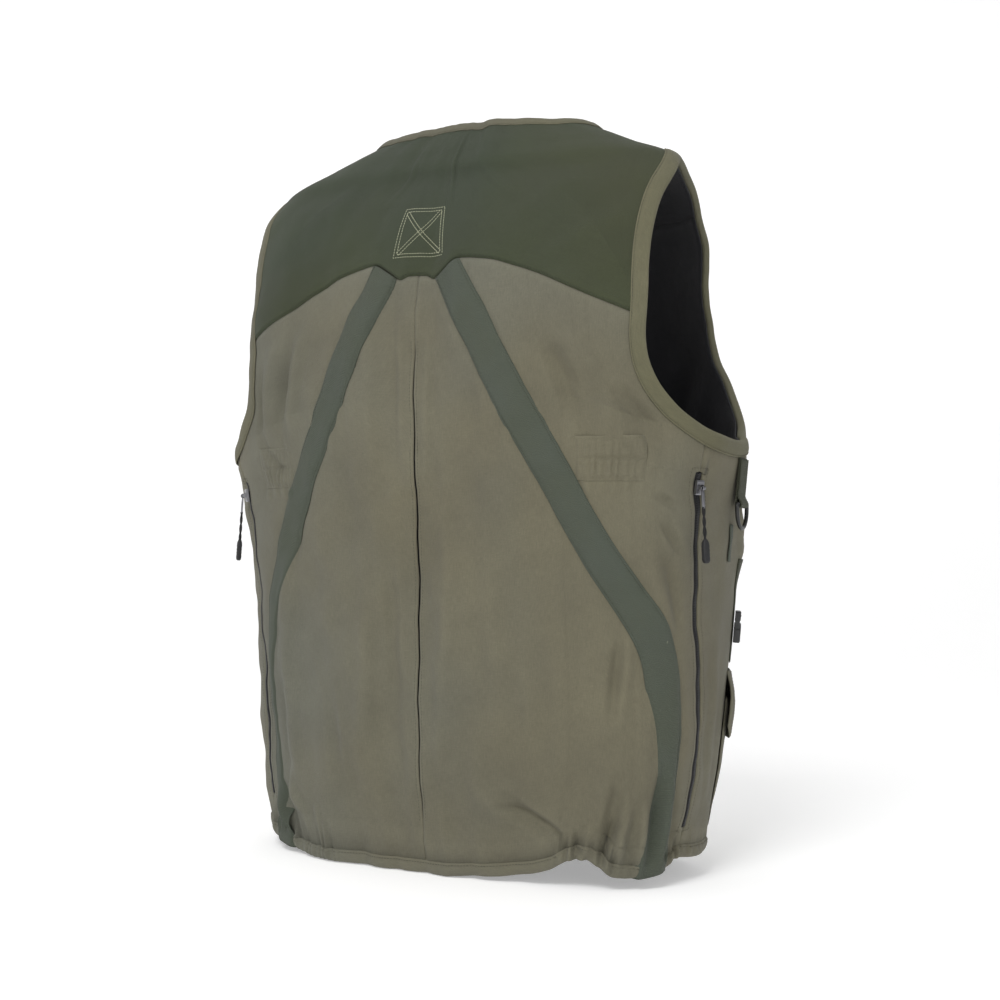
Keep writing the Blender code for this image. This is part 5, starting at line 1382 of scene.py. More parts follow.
def gather_wave(share, waves):
    """Return a row of soft uneven puckers, from 0 to 1 and flat at both ends."""
    uneven = share + 0.012 * np.sin(share * 23 + waves)
    return 0.5 * (1 - np.cos(uneven * waves * 2 * math.pi)) * np.sin(share * math.pi) ** 0.5


def hem_casing(name, edge, stands_for):
    """Make a length of hem casing below the lower edge line of the panels above."""
    angles = denser(edge[:, 0], 2)
    grid = np.stack([np.stack([angles, hem_z(angles) + HEM_TALL * level - SEAM * level], -1)
                     for level in HEM_LEVELS])
    pucker = np.zeros(len(angles))
    for start, end in HEM_GATHERS:
        inside = np.clip((angles - start) / (end - start), 0, 1)
        waves = max(3, round((end - start) / 1.9))
        pucker = np.maximum(pucker, HEM_PUCKER * gather_wave(inside, waves))
    swell = np.sin(np.clip(HEM_LEVELS, 0, 1) * math.pi) ** 0.5
    high = np.array(HEM_HEIGHTS)[:, None] * MM + np.outer(0.35 + 0.65 * swell, pucker)
    high[:, 0] -= 0.5 * MM
    high[:, -1] -= 0.5 * MM
    low = np.where(np.array(HEM_LEVELS) > 1, 0.3 * MM, 0.0)[:, None] + np.zeros(high.shape)
    return shell(name, "shell_cloth", skin(grid, low), skin(grid, high), stands_for=stands_for)


def make_hems():
    """Make the gathered casings along the hem."""
    right, left = back_grid(RIGHT)[0], back_grid(LEFT)[0]
    centre = np.array([[0.0, hem_z(0.0) + HEM_TALL]])
    back = np.concatenate([right[:-1], centre, left[1:]])
    back[0] = shift_degrees(back[:1], SEAM / 2)[0]
    back[-1] = shift_degrees(back[-1:], -SEAM / 2)[0]
    made = {"hem_back": hem_casing("cloth_hem_back", back, "hem_back")}
    for side, word in SIDES:
        edge = front_grid(side)[0][0]
        edge[0] = shift_degrees(edge[:1], side * SEAM / 2)[0]
        if side == RIGHT:
            edge = edge[::-1]
        made["hem_front_" + word] = hem_casing("cloth_hem_front_" + word, edge, "hem_front_" + word)
    return made


def strap_line(side):
    """Return a strap's middle line, from just below the yoke to the bottom of the hem."""
    bottom = float(hem_z(side * read_column(STRAPS, side_name(side), HEM_LEVEL)))
    z = np.linspace(STRAP_TOP, bottom + 0.5 * MM, STRAP_ROWS)
    angle = read_column(STRAPS, side_name(side), z)
    for _ in range(STRAP_SMOOTHING):
        angle[1:-1] = (angle[:-2] + 2 * angle[1:-1] + angle[2:]) / 4
    return np.stack([side * angle, z], -1)


def band(line, width, columns=2):
    """Widen a line of places into a grid, column by column across it."""
    offsets = np.linspace(width / 2, -width / 2, columns + 1)
    grid = np.stack([beside(line, offset) for offset in offsets], axis=1)
    return grid[::-1] if line[0, 1] > line[-1, 1] else grid


def strap_grid(side):
    """Return a strap's grid of places, its upper end cut along the yoke's edge."""
    grid = band(strap_line(side)[::-1], STRAP_WIDE, STRAP_COLUMNS)
    edge = yoke_edge_z(grid[-1, :, 0]) - 0.4 * MM
    top = grid[-1, :, 1].copy()
    reach = 0.02
    share = np.clip((grid[:, :, 1] - (top[None] - reach)) / reach, 0, 1)
    grid[:, :, 1] += share * (edge - top)[None]
    low = grid[0, :, 1].copy()
    share = np.clip(((low[None] + reach) - grid[:, :, 1]) / reach, 0, 1)
    grid[:, :, 1] += share * (hem_z(grid[0, :, 0]) + 0.3 * MM - low)[None]
    return grid


def over_hem(grid):
    """Return how far what lies on the cloth has to rise over the hem casing."""
    above = grid[..., 1] - hem_z(grid[..., 0]) - HEM_TALL
    return 1.5 * MM * (0.5 - 0.5 * np.clip(above / (2.5 * MM), -1, 1))


def lapped(grid, side):
    """Return how far a strap dips where a fold of the panel laps over its inner edge."""
    heights, shares = STRAP_LAP[side]
    across = np.linspace(0, 1, grid.shape[1])
    if abs(grid[:, 0, 0]).mean() > abs(grid[:, -1, 0]).mean():
        across = 1 - across
    reach = np.interp(grid[:, :1, 1], heights, shares)
    return 2.7 * MM * np.clip((reach - across[None]) / 0.09 + 0.5, 0, 1) * np.clip(reach / 0.05, 0, 1)


def make_straps():
    """Make the two webbing straps that run down the back."""
    made = {}
    shares = np.linspace(0, 1, STRAP_COLUMNS + 1)
    rounded = 0.8 * MM * np.exp(-np.minimum(shares, 1 - shares) / 0.03)
    rounded += 0.38 * MM * np.exp(-((np.minimum(shares, 1 - shares) - 0.085) / 0.022) ** 2)
    rounded -= 0.35 * MM * np.sin(shares * math.pi)
    for side, word in SIDES:
        grid = strap_grid(side)
        lift = over_hem(grid)
        high = TAPE_OUT + lift - rounded[None]
        wavy = 0.25 * MM * np.sin(np.cumsum(np.full(len(grid), 0.11)))[:, None]
        dip = lapped(grid, side)
        low = np.maximum(ON_CLOTH + lift - 0.3 * MM - dip, 0.2 * MM)
        made["strap_" + word] = shell("cloth_strap_" + word, "strap_webbing", skin(grid, low),
                                      skin(grid, np.maximum(high + wavy - dip, 0.9 * MM)),
                                      stands_for="strap_" + word)
    return made


def make_waist_casings():
    """Make the casing of each waist elastic, a strip that the cloth's own puckers run through."""
    made = {}
    turns = np.linspace(0, 1, WAIST_COLUMNS)
    for side, word in SIDES:
        start, end = WAIST_SPAN[side]
        angles = np.linspace(side * start, side * end, WAIST_COLUMNS)[::side]
        shares = np.linspace(0, 1, 25)
        rows = WAIST_Z + (shares - 0.5) * WAIST_TALL
        grid = np.stack(np.meshgrid(angles, rows), -1)
        across = np.sin(shares * math.pi) ** 0.4
        dips = sum(np.exp(-((shares - level) / 0.045) ** 2) for level in WAIST_ROWS)
        wave = gather_wave(turns, WAIST_WAVES)
        low_half = np.clip((0.62 - shares) / 0.12, 0.45, 1.0)
        high = 1.1 * MM * across[:, None] - 1.5 * MM * dips[:, None] * across[:, None]
        high = high + WAIST_PUCKER * np.outer(across * low_half * (1 - 0.75 * dips), wave)
        ends = np.sin(turns * math.pi) ** 0.5
        reach = np.minimum(turns, 1 - turns)[None] * (end - start) * MEAN_RADIUS * math.pi / 180
        reach = np.minimum(reach, (np.minimum(shares, 1 - shares) * WAIST_TALL)[:, None])
        high = (1.5 + 0.8 * np.clip(reach / (2.5 * MM), 0, 1)) * MM + high * ends[None]
        low = np.full(high.shape, 0.3 * MM)
        made["waist_casing_" + word] = shell("cloth_waist_casing_" + word, "shell_cloth", skin(grid, low),
                                             skin(grid, high), stands_for="waist_casing_" + word)
    return made


def frames_along(line, height):
    """Return the point, the way along, the side and the outward direction at each place of a line."""
    point = skin(line, np.zeros(len(line)) + height)
    _, _, _, out = surface_frame(line[:, 0], line[:, 1])
    ahead = np.gradient(point, axis=0)
    ahead /= np.linalg.norm(ahead, axis=1, keepdims=True)
    aside = np.cross(ahead, out)
    aside /= np.linalg.norm(aside, axis=1, keepdims=True)
    return point, ahead, aside, np.cross(aside, ahead)


def evenly(line, pitch, closed=False):
    """Return places on a line at an even distance from each other."""
    if closed:
        line = np.concatenate([line, line[:1]])
    run = line_run(line)
    marks = np.arange(pitch / 2, run[-1], pitch)
    return np.stack([np.interp(marks, run, line[:, 0]), np.interp(marks, run, line[:, 1])], -1)


def solids(name, material, shapes, faces, sharp=None, slot=None):
    """Join many copies of one small shape, each given by its own corners, into one piece."""
    count, corners = shapes.shape[:2]
    every = (np.arange(count) * corners)[:, None]
    joined = []
    for face in faces:
        joined += (every + np.array(face)[None]).tolist()
    return make_piece(name, material, shapes.reshape(-1, 3), joined, slot=slot, sharp=sharp)


STITCH_FACES = [(0, 1, 5, 4), (1, 2, 6, 5), (2, 3, 7, 6), (3, 0, 4, 7),
                (4, 5, 9, 8), (5, 6, 10, 9), (6, 7, 11, 10), (7, 4, 8, 11), (3, 2, 1, 0), (8, 9, 10, 11)]
# A stitch's start, middle and end: which way along it, how deep it sinks in radii, and its thickness.
STITCH_STATIONS = ((-1, 0.8, 0.55), (0, 0.0, 1.0), (1, 0.8, 0.55))
STITCH_CORNERS = ((1, 0), (0, 1), (-1, 0), (0, -1))


def stitch_shapes_at(marks, height, pitch, radius, share=0.74, angle=0.0):
    """Return the corners of one stitch on the cloth at each of these places."""
    if len(marks) < 3:
        return np.zeros((0, 12, 3))
    point, ahead, aside, out = frames_along(marks, height)
    if angle:
        turn = math.radians(angle)
        ahead, aside = (math.cos(turn) * ahead + math.sin(turn) * aside,
                        math.cos(turn) * aside - math.sin(turn) * ahead)
    reach = pitch * share / 2
    stations = []
    for along, sink, size in STITCH_STATIONS:
        middle = point + ahead * (along * reach) - out * (sink * radius)
        for side, up in STITCH_CORNERS:
            stations.append(middle + (aside * side + out * up) * (radius * size))
    return np.stack(stations, axis=1)


def stitch_shapes(line, height, pitch=3.0 * MM, radius=0.3 * MM, closed=False, share=0.74, angle=0.0):
    """Return the corners of a row of stitches lying on the cloth along a line."""
    return stitch_shapes_at(evenly(line, pitch, closed), height, pitch, radius, share, angle)


def make_stitches(name, material, rows):
    """Make one piece out of rows of stitches."""
    shapes = np.concatenate([row for row in rows if len(row)])
    return solids(name, material, shapes, STITCH_FACES)


def place_line(*corners, steps=40):
    """Return places on the straight run through these corners."""
    corners = np.array(corners, float)
    parts = [between(a, b, np.linspace(0, 1, steps)) for a, b in zip(corners[:-1], corners[1:])]
    return np.concatenate([parts[0]] + [part[1:] for part in parts[1:]])


def around(angle, z, right, up):
    """Return the place this far to the side of and above another, in metres along the cloth."""
    metres = np.linalg.norm(surface_frame(np.array([float(angle)]), np.array([float(z)]))[1][0])
    return (angle + right / metres, z + up)


BARTACK_LAYERS = 4
BARTACK_LAYER_GAP = 0.35 * MM
BARTACK_PITCH = 0.55 * MM
BARTACK_RADIUS = 0.26 * MM
BARTACK_SHARE = 3.4            # length of each stitch in pitches
BARTACK_SLANT = 76             # degrees by which each stitch is turned off the line


def bartack(angle, z, half, turn, height):
    """Return dense short stitches across a line from a place, both ways along it."""
    rows = []
    turned = math.radians(turn)
    for layer in range(BARTACK_LAYERS):
        shift = (layer - (BARTACK_LAYERS - 1) / 2) * BARTACK_LAYER_GAP
        ends = [around(angle, z, sign * half * math.cos(turned) - shift * math.sin(turned),
                       sign * half * math.sin(turned) + shift * math.cos(turned)) for sign in (-1, 1)]
        rows.append(stitch_shapes(place_line(*ends, steps=30), height, BARTACK_PITCH, BARTACK_RADIUS,
                                  False, BARTACK_SHARE, BARTACK_SLANT))
    return rows


def zip_line(name):
    """Return a zip's middle line, from its bottom up."""
    if name == "front":
        z = np.linspace(float(hem_z(180.0)) + MM, NECK_EDGE[-1].z - SEAM, 170)
        return np.stack([np.full(len(z), 180.0), z], -1)
    side = LEFT if name == "left" else RIGHT
    z = np.linspace(SIDE_ZIP_BOTTOM + SEAM, SIDE_ZIP_TOP - SEAM, 150)
    return np.stack([side_angle(side, z), z], -1)


ZIP_END_STEP = 0.15 * MM
ZIP_END_REACH = 3.0 * MM
TOOTH_PITCH = 1.5 * MM
TOOTH_FACES = [(0, 1, 2, 3), (7, 6, 5, 4), (0, 4, 5, 1), (1, 5, 6, 2), (2, 6, 7, 3), (3, 7, 4, 0)]


def tooth_shapes(line):
    """Return the corners of the two interlocked rows of a zip's teeth."""
    rows = []
    for sign in (-1, 1):
        marks = evenly(line, TOOTH_PITCH)
        marks = marks + np.array([0.0, sign * TOOTH_PITCH / 4])
        point, ahead, aside, out = frames_along(marks, ZIP_FACE - 0.2 * MM)
        corners = []
        for up, scale in ((0.0, 1.0), (1.25 * MM, 0.72)):
            for across, along in ((2.3, -1.0), (2.3, 1.0), (-0.5, 0.8), (-0.5, -0.8)):
                corners.append(point + aside * (sign * across * scale * MM)
                               + ahead * (along * 0.5 * scale * MM) + out * up)
        rows.append(np.stack(corners, axis=1))
    return np.concatenate(rows)


def tape_rows(line):
    """Carry a side zip's line on under the cloth, past both ends of its opening."""
    low, high = line[0], line[-1]
    step, reach = np.array([0.0, ZIP_END_STEP]), np.array([0.0, ZIP_END_REACH])
    return np.concatenate([[low - reach, low - step], line, [high + step, high + reach]])


def make_zips():
    """Make the tapes and teeth of the side zips and the front zip."""
    made = {}
    half, under = ZIP_HALF - 0.2 * MM, ZIP_HALF + 3.0 * MM
    right = [(0.4 * MM, 0.7), (2.6 * MM, 0.75), (half * 0.8, 0.95), (half, 0.6), (ZIP_HALF + 0.2 * MM, -0.15),
             (under, -0.2), (under, -1.0)]
    profile = [(-x, height) for x, height in right[::-1]] + right
    for name in ("left", "right", "front"):
        line = zip_line(name)
        rows = line if name == "front" else tape_rows(line)
        sections = []
        for x, height in profile:
            places = shift_degrees(rows, x)
            if abs(x) > 3.0 * MM:
                places[:, 0] = (places[:, 0] + 180) % 360 - 180
            heights = np.full(len(rows), height * MM)
            if len(rows) > len(line):
                heights[[0, 1, -2, -1]] = min(height, -0.2) * MM
            sections.append(skin(places, heights))
        sections = np.stack(sections, axis=1)
        made["zip_" + name] = tube("cloth_zip_" + name, "zip_tape", sections, False, "zip_" + name)
        solids("teeth_" + name, "zip_teeth", tooth_shapes(line), TOOTH_FACES, slot="zip_tape", sharp=40)
    return made


def cloth_place(angle, z, height):
    """Return a frame on the cloth: x round the body, y outwards, z up the cloth."""
    point, along, _, out = (v[0] for v in surface_frame(np.array([float(angle)]), np.array([float(z)])))
    lift = float(fold_lift(np.array([float(angle)]), np.array([float(z)]))[0])
    origin = Vector(point + out * (height + lift))
    x, y = Vector(along).normalized(), Vector(out)
    return Matrix.Translation(origin) @ Matrix((x, y, x.cross(y))).transposed().to_4x4()


def upright_place(origin, x):
    """Return a frame at this point whose z is straight up and whose x is given."""
    up = Vector((0, 0, 1))
    y = up.cross(x).normalized()
    return Matrix.Translation(origin) @ Matrix((x, y, up)).transposed().to_4x4()


def placed(points, place):
    """Move points given in a frame out into the scene."""
    points = np.asarray(points, float)
    turn = np.array(place)
    return points @ turn[:3, :3].T + turn[:3, 3]


def inset(outline, distance):
    """Draw in a closed outline of (x, z) points by a distance."""
    outline = np.array(outline, float)
    before, after = np.roll(outline, 1, axis=0), np.roll(outline, -1, axis=0)
    a = outline - before
    b = after - outline
    a /= np.linalg.norm(a, axis=1, keepdims=True)
    b /= np.linalg.norm(b, axis=1, keepdims=True)
    turn = np.sign(np.sum(outline[:, 0] * after[:, 1] - after[:, 0] * outline[:, 1]))
    normal = turn * np.stack([-(a + b)[:, 1], (a + b)[:, 0]], -1)
    length = np.linalg.norm(normal, axis=1, keepdims=True)
    normal /= np.where(length > 0, length, 1)
    lean = np.clip(np.abs(normal[:, 0] * -a[:, 1] + normal[:, 1] * a[:, 0]), 0.5, 1.0)
    return outline + normal * (distance / lean)[:, None]


def slab(outline, back, front, bevel, place):
    """Return the corners and faces of a plate whose front edges are rounded over."""
    steps = [(0.0, back), (0.0, front - bevel), (0.35 * bevel, front - 0.35 * bevel), (bevel, front)]
    rings = []
    for distance, y in steps:
        ring = inset(outline, distance) if distance else np.array(outline, float)
        rings.append(np.stack([ring[:, 0], np.full(len(ring), y), ring[:, 1]], -1))
    count = len(outline)
    faces = [list(range(count))[::-1], [k + (len(rings) - 1) * count for k in range(count)]]
    for level in range(len(rings) - 1):
        for k in range(count):
            n = (k + 1) % count
            base = level * count
            faces.append([base + k, base + n, base + n + count, base + k + count])
    return placed(np.concatenate(rings), place), faces


def merged(parts):
    """Join several (corners, faces) shapes into one."""
    corners, faces, base = [], [], 0
    for points, some in parts:
        corners.append(points)
        faces += [[base + k for k in face] for face in some]
        base += len(points)
    return np.concatenate(corners), faces


def rounded_box(wide, tall, radius, steps=4, middle=(0.0, 0.0)):
    """Return the outline of a rectangle with rounded corners, anticlockwise."""
    points = []
    for sx, sz, start in ((1, -1, -90), (1, 1, 0), (-1, 1, 90), (-1, -1, 180)):
        cx, cz = sx * (wide / 2 - radius), sz * (tall / 2 - radius)
        for k in range(steps + 1):
            a = math.radians(start + 90 * k / steps)
            points.append((middle[0] + cx + radius * math.cos(a), middle[1] + cz + radius * math.sin(a)))
    return points


def sweep(line, radius, around_count=10, closed=False):
    """Return the corners and faces of a round cord along a line of points."""
    line = np.asarray(line, float)
    ahead = (np.roll(line, -1, axis=0) - np.roll(line, 1, axis=0)) if closed else np.gradient(line, axis=0)
    ahead /= np.linalg.norm(ahead, axis=1, keepdims=True)
    start = np.array([0.0, 1.0, 0.0]) if abs(ahead[0, 1]) < 0.9 else np.array([1.0, 0.0, 0.0])
    turns = 2 * math.pi * np.arange(around_count) / around_count
    rings = []
    for point, way in zip(line, ahead):
        aside = np.cross(way, start)
        aside /= np.linalg.norm(aside)
        up = np.cross(aside, way)
        start = up
        rings.append([point + radius * (math.cos(t) * aside + math.sin(t) * up) for t in turns])
    return np.array(rings).reshape(-1, 3), tube_faces(len(rings), around_count, closed)


def pullers():
    """List the three sliders."""
    side_z = SIDE_ZIP_TOP - SIDE_SLIDER_DROP
    front_z = NECK_EDGE[-1].z - FRONT_SLIDER_DROP
    return (
        Puller("left", float(side_angle(LEFT, side_z)), side_z, SIDE_PULL_LEAN, True),
        Puller("right", float(side_angle(RIGHT, side_z)), side_z, SIDE_PULL_LEAN, True),
        Puller("front", 180.0, front_z, FRONT_PULL_LEAN, False),
    )


def make_pull(puller):
    """Make a slider's pull tab and, at a side, its cord and rubber grip."""
    place = cloth_place(puller.angle, puller.z, SLIDER_LOW)
    pin_place = place @ Matrix.Translation((0, SLIDER_THICK + PIN_RISE, 0))
    upright = upright_place(pin_place.translation, pin_place.to_3x3().col[0])
    hang = upright @ Matrix.Rotation(math.radians(puller.lean), 4, "X")
    body = "pull_" + puller.name
    turns = np.linspace(0, 2 * math.pi, 21)[:-1]
    eye = [(0, EYE_MIDDLE * math.sin(a), EYE_MIDDLE * math.cos(a)) for a in turns]
    points, faces = sweep(eye, 0.62 * MM, 10, True)
    points[:, 0] *= 1.9
    parts = [(placed(points, hang), faces)]
    outline = rounded_box(2 * TAB_HALF * 1.06, TAB_LONG - 2.0 * MM, 1.1 * MM, 3,
                          (0.0, -(TAB_LONG + 2.0 * MM) / 2))
    parts.append(slab(outline, -0.62 * MM, 0.68 * MM, 0.3 * MM, hang))
    ridge = rounded_box(1.5 * MM, TAB_LONG - 8.0 * MM, 0.6 * MM, 3, (0.0, -(TAB_LONG + 2.5 * MM) / 2))
    parts.append(slab(ridge, 0.5 * MM, 0.95 * MM, 0.2 * MM, hang))
    make_piece("tab_" + puller.name, "zip_metal", *merged(parts), slot="zip_metal", stands_for=body,
               body=body, sharp=35)
    if not puller.has_cord:
        return
    top, low = -TAB_LONG + 1.5 * MM, -TAB_LONG - CORD_LONG
    parts = []
    for sign in (-1, 1):
        z = np.linspace(top, low - 1.0 * MM, 26)
        share = np.linspace(0, 1, 26)
        x = sign * (1.25 * MM * np.sin(share * math.pi * 3.3 + 0.9) + 0.08 * MM)
        y = sign * 0.55 * MM * np.cos(share * math.pi * 3.3 + 0.9)
        strand = np.stack([x * 0.75, y, z], -1)
        corners, faces = sweep(strand, 0.95 * MM, 9)
        parts.append((placed(corners, hang), faces))
    make_piece("pull_cord_" + puller.name, "zip_tape", *merged(parts), slot="zip_tape", body=body, sharp=50)
    grip = []
    for share, half, deep in GRIP_PROFILE:
        ring = rounded_box(2 * GRIP_HALF * half, 2 * GRIP_DEEP * deep, min(half, deep) * 1.2 * MM, 3)
        level = low - GRIP_LONG + share * (GRIP_LONG + GRIP_LAP)
        grip.append([(x, y, level) for x, y in ring])
    grip = np.array(grip)
    tube("pull_grip_" + puller.name, "rubber", placed(grip.reshape(-1, 3), hang).reshape(grip.shape), False,
         slot="black_plastic", body=body, sharp=50)


def keep_slider(name):
    """Show a solid slider as it is, with softened edges and its cast metal."""
    slider = frame["nodes"]["slider_" + name]
    slider.data.materials.clear()
    slider.data.materials.append(MATERIALS["zip_metal"])
    rounding = slider.modifiers.new("soft_edges", "BEVEL")
    rounding.width = 0.35 * MM
    rounding.segments = 3
    rounding.limit_method = "ANGLE"
    rounding.harden_normals = True


def ring_points():
    """Return the middle line of a D-ring, with the middle of its straight bar at the origin."""
    half, corner = RING_WIDE / 2, 2.4 * MM
    bar = [(x, 0.0) for x in np.linspace(half - corner, -half + corner, 18)]
    turned = [(-half + corner - corner * math.sin(a), -corner + corner * math.cos(a))
              for a in np.radians((22, 45, 68))]
    bow = [(-half * math.cos(a), -RING_SHOULDER - (RING_TALL - RING_SHOULDER) * math.sin(a))
           for a in np.radians(np.linspace(0, 180, 41))]
    back = [(-x, z) for x, z in turned[::-1]]
    return bar + turned + bow + back


def rounded_strip(line, normals, across, half_thick):
    """Return the sections of a webbing along a line of points, with softly rounded edges."""
    thin = 0.62
    sections = []
    profile = [(-1.0, 0.0), (-0.985, thin), (-0.93, 1.0), (-0.5, 1.0), (0.0, 1.0), (0.5, 1.0), (0.93, 1.0),
               (0.985, thin), (1.0, 0.0), (0.985, -thin), (0.93, -1.0), (0.5, -1.0), (0.0, -1.0),
               (-0.5, -1.0), (-0.93, -1.0), (-0.985, -thin)]
    for point, normal in zip(line, normals):
        sections.append([point + across * x + normal * (half_thick * y) for x, y in profile])
    return np.array(sections)


def make_d_rings():
    """Make a webbing loop below each armhole, its D-ring and the loose tape end below."""
    made = {}
    for side, word in SIDES:
        angle = side * WEB_ANGLE
        place = cloth_place(angle, WEB_TOP, WEB_ON)
        out, thick = WEB_LOOP, 0.75 * MM
        wrap = WEB_LOOP - thick
        path = [(thick, z) for z in np.linspace(0.0, -WEB_DROP + 5.0 * MM, 22)]
        path += [(out - wrap * math.cos(a), -WEB_DROP - wrap * math.sin(a))
                 for a in np.radians(np.linspace(0, 165, 18))]
        top = path[-1]
        for share in np.linspace(0.12, 1.0, 10):
            eased = share * share * (3 - 2 * share)
            path.append((top[0] + (WEB_OUTER - top[0]) * eased, top[1] + share * 9.0 * MM))
        path += [(WEB_OUTER, z) for z in np.linspace(path[-1][1] + 2 * MM, -1.0 * MM, 16)]
        line = np.array([(0.0, y, z) for y, z in path])
        ahead = np.gradient(line, axis=0)
        ahead /= np.linalg.norm(ahead, axis=1, keepdims=True)
        normals = np.stack([np.zeros(len(line)), -ahead[:, 2], ahead[:, 1]], -1)
        sections = rounded_strip(line, normals, np.array([WEB_WIDE / 2, 0, 0]), thick)
        flat = placed(sections.reshape(-1, 3), place).reshape(sections.shape)
        made["d_web_" + word] = tube("d_webbing_" + word, "dark_webbing", flat, False, "d_web_" + word)
        first, second, third, last = WEB_BOX_Z
        runs = [((-WEB_BOX, z), (WEB_BOX, z)) for z in WEB_BOX_Z]
        runs += [((x, second), (-x, third)) for x in (-WEB_BOX, WEB_BOX)]
        runs += [((x, first), (x, last)) for x in (-WEB_BOX, WEB_BOX)]
        make_stitches("d_webbing_stitches_" + word, "dark_webbing",
                      [face_stitches(run, place) for run in runs])
        pivot = place @ Matrix.Translation((0, WEB_LOOP, -WEB_DROP))
        hang = upright_place(pivot.translation, place.to_3x3().col[0])
        ring = [(x, 0.0, z) for x, z in ring_points()]
        corners, faces = sweep(ring, RING_ROD, 14, True)
        make_piece("ring_" + word, "black_plastic", placed(corners, hang), faces, slot="black_plastic",
                   stands_for="d_ring_" + word, body="d_ring_" + word)
        z = np.linspace(TAIL_Z[0], TAIL_Z[-1], 30)
        tail = band(np.stack([np.full(len(z), angle), z], -1), TAIL_WIDE, 8)
        rounded = np.array([0.6, 0.1, 0, 0, 0, 0, 0, 0.1, 0.6]) * MM
        rise = (0.9 * MM * np.sin(np.linspace(0, 1, 30) * 2.4))[::-1, None]
        made["d_tail_" + word] = shell("d_tape_end_" + word, "strap_webbing", skin(tail, ON_CLOTH + rise),
                                       skin(tail, TAPE_OUT - rounded[None] + rise),
                                       stands_for="d_tail_" + word)
    return made


def face_stitches(run, place):
    """Return stitches on a D-ring's webbing, between two (x, z) points of its frame."""
    start, end = (np.array(point, float) for point in run)
    length = np.linalg.norm(end - start)
    count = max(2, int(length / WEB_STITCH_PITCH))
    way = (end - start) / length
    ahead = np.array([way[0], 0.0, way[1]])
    aside = np.array([way[1], 0.0, -way[0]])
    out = np.array([0.0, 1.0, 0.0])
    shapes = []
    for k in range(count):
        centre = start + way * ((k + 0.5) * length / count)
        middle = np.array([centre[0], WEB_FACE, centre[1]])
        stations = []
        for along, sink, size in STITCH_STATIONS:
            base = middle + ahead * (along * 0.37 * length / count) - out * (sink * WEB_STITCH_RADIUS)
            for s, u in STITCH_CORNERS:
                stations.append(base + (aside * s + out * u) * (WEB_STITCH_RADIUS * size))
        shapes.append(placed(stations, place))
    return np.array(shapes)


def make_pockets():
    """Make a cargo pocket with a flap low on each front."""
    made = {}
    for side, word in SIDES:
        s = np.linspace(0, 1, 49)
        t = np.linspace(0, 1, 41)
        angles = side * (POCKET_ANGLES[0] + s * (POCKET_ANGLES[1] - POCKET_ANGLES[0]))
        heights = POCKET_Z[0] + t * (POCKET_Z[1] - POCKET_Z[0])
        if side == RIGHT:
            angles = angles[::-1]
        grid = np.stack(np.meshgrid(angles, heights), -1)
        rim = np.minimum(np.minimum(s, 1 - s)[None] * 130, np.minimum(t, 1 - t)[:, None] * 120)
        crown = 1 - np.exp(-rim / 9.0)
        high = 3.9 * MM + 4.2 * MM * crown
        high = high + 0.5 * MM * np.sin(s * 9 + 0.8)[None] * crown * (1 - t[:, None])
        high = np.minimum(high, 8.4 * MM)
        made["pocket_" + word] = shell("cloth_pocket_" + word, "shell_cloth", skin(grid, POCKET_IN),
                                       skin(grid, high), stands_for="pocket_" + word)
        low, top = FLAP_Z
        s = np.linspace(-1, 1, 53)
        t = np.linspace(0, 1, 33)
        past = POCKET_ANGLES[0] - FLAP_PAST, POCKET_ANGLES[1] + FLAP_PAST
        angles = side * ((past[0] + past[1]) / 2 + s * (past[1] - past[0]) / 2)
        if side == RIGHT:
            angles = angles[::-1]
        corner = 0.013 * np.clip((np.abs(s) - 0.80) / 0.20, 0, 1) ** 2
        grid = np.zeros((len(t), len(s), 2))
        grid[..., 0] = angles[None]
        grid[..., 1] = low + corner[None] + t[:, None] * (top - low - corner[None])
        height = np.interp(t, FLAP_SHARES, FLAP_HEIGHTS) * MM
        side_fall = 1.6 * MM * np.clip((np.abs(s) - 0.86) / 0.14, 0, 1) ** 2
        inner = height[:, None] - side_fall[None]
        thick = np.full(inner.shape, 1.9 * MM)
        thick[0] = thick[-1] = 0.9 * MM
        thick[:, 0] = thick[:, -1] = 0.9 * MM
        outer = inner + thick + 0.35 * MM * np.sin(s * 7 + 1.1)[None] * np.sin(t * math.pi)[:, None]
        made["pocket_flap_" + word] = shell("cloth_pocket_flap_" + word, "shell_cloth", skin(grid, inner),
                                            skin(grid, outer), stands_for="pocket_flap_" + word)
        rows = []
        for k in (3, 6):
            rows.append(on_grid_line(grid[k, k:-k], outer[k, k:-k]))
        for k in (2, 4):
            rows.append(on_grid_line(grid[2:, k], outer[2:, k]))
            rows.append(on_grid_line(grid[2:, -1 - k], outer[2:, -1 - k]))
        rows.append(on_grid_line(grid[-3, 2:-2], outer[-3, 2:-2]))
        make_stitches("pocket_stitches_" + word, "shell_thread", rows)
    return made


def on_grid_line(places, heights, pitch=3.0 * MM, radius=0.3 * MM):
    """Return stitches along a line of places whose heights vary."""
    run = line_run(places)
    marks = np.arange(pitch / 2, run[-1], pitch)
    line = np.stack([np.interp(marks, run, places[:, k]) for k in (0, 1)], -1)
    return stitch_shapes_at(line, np.interp(marks, run, heights) + 0.05 * MM, pitch, radius)


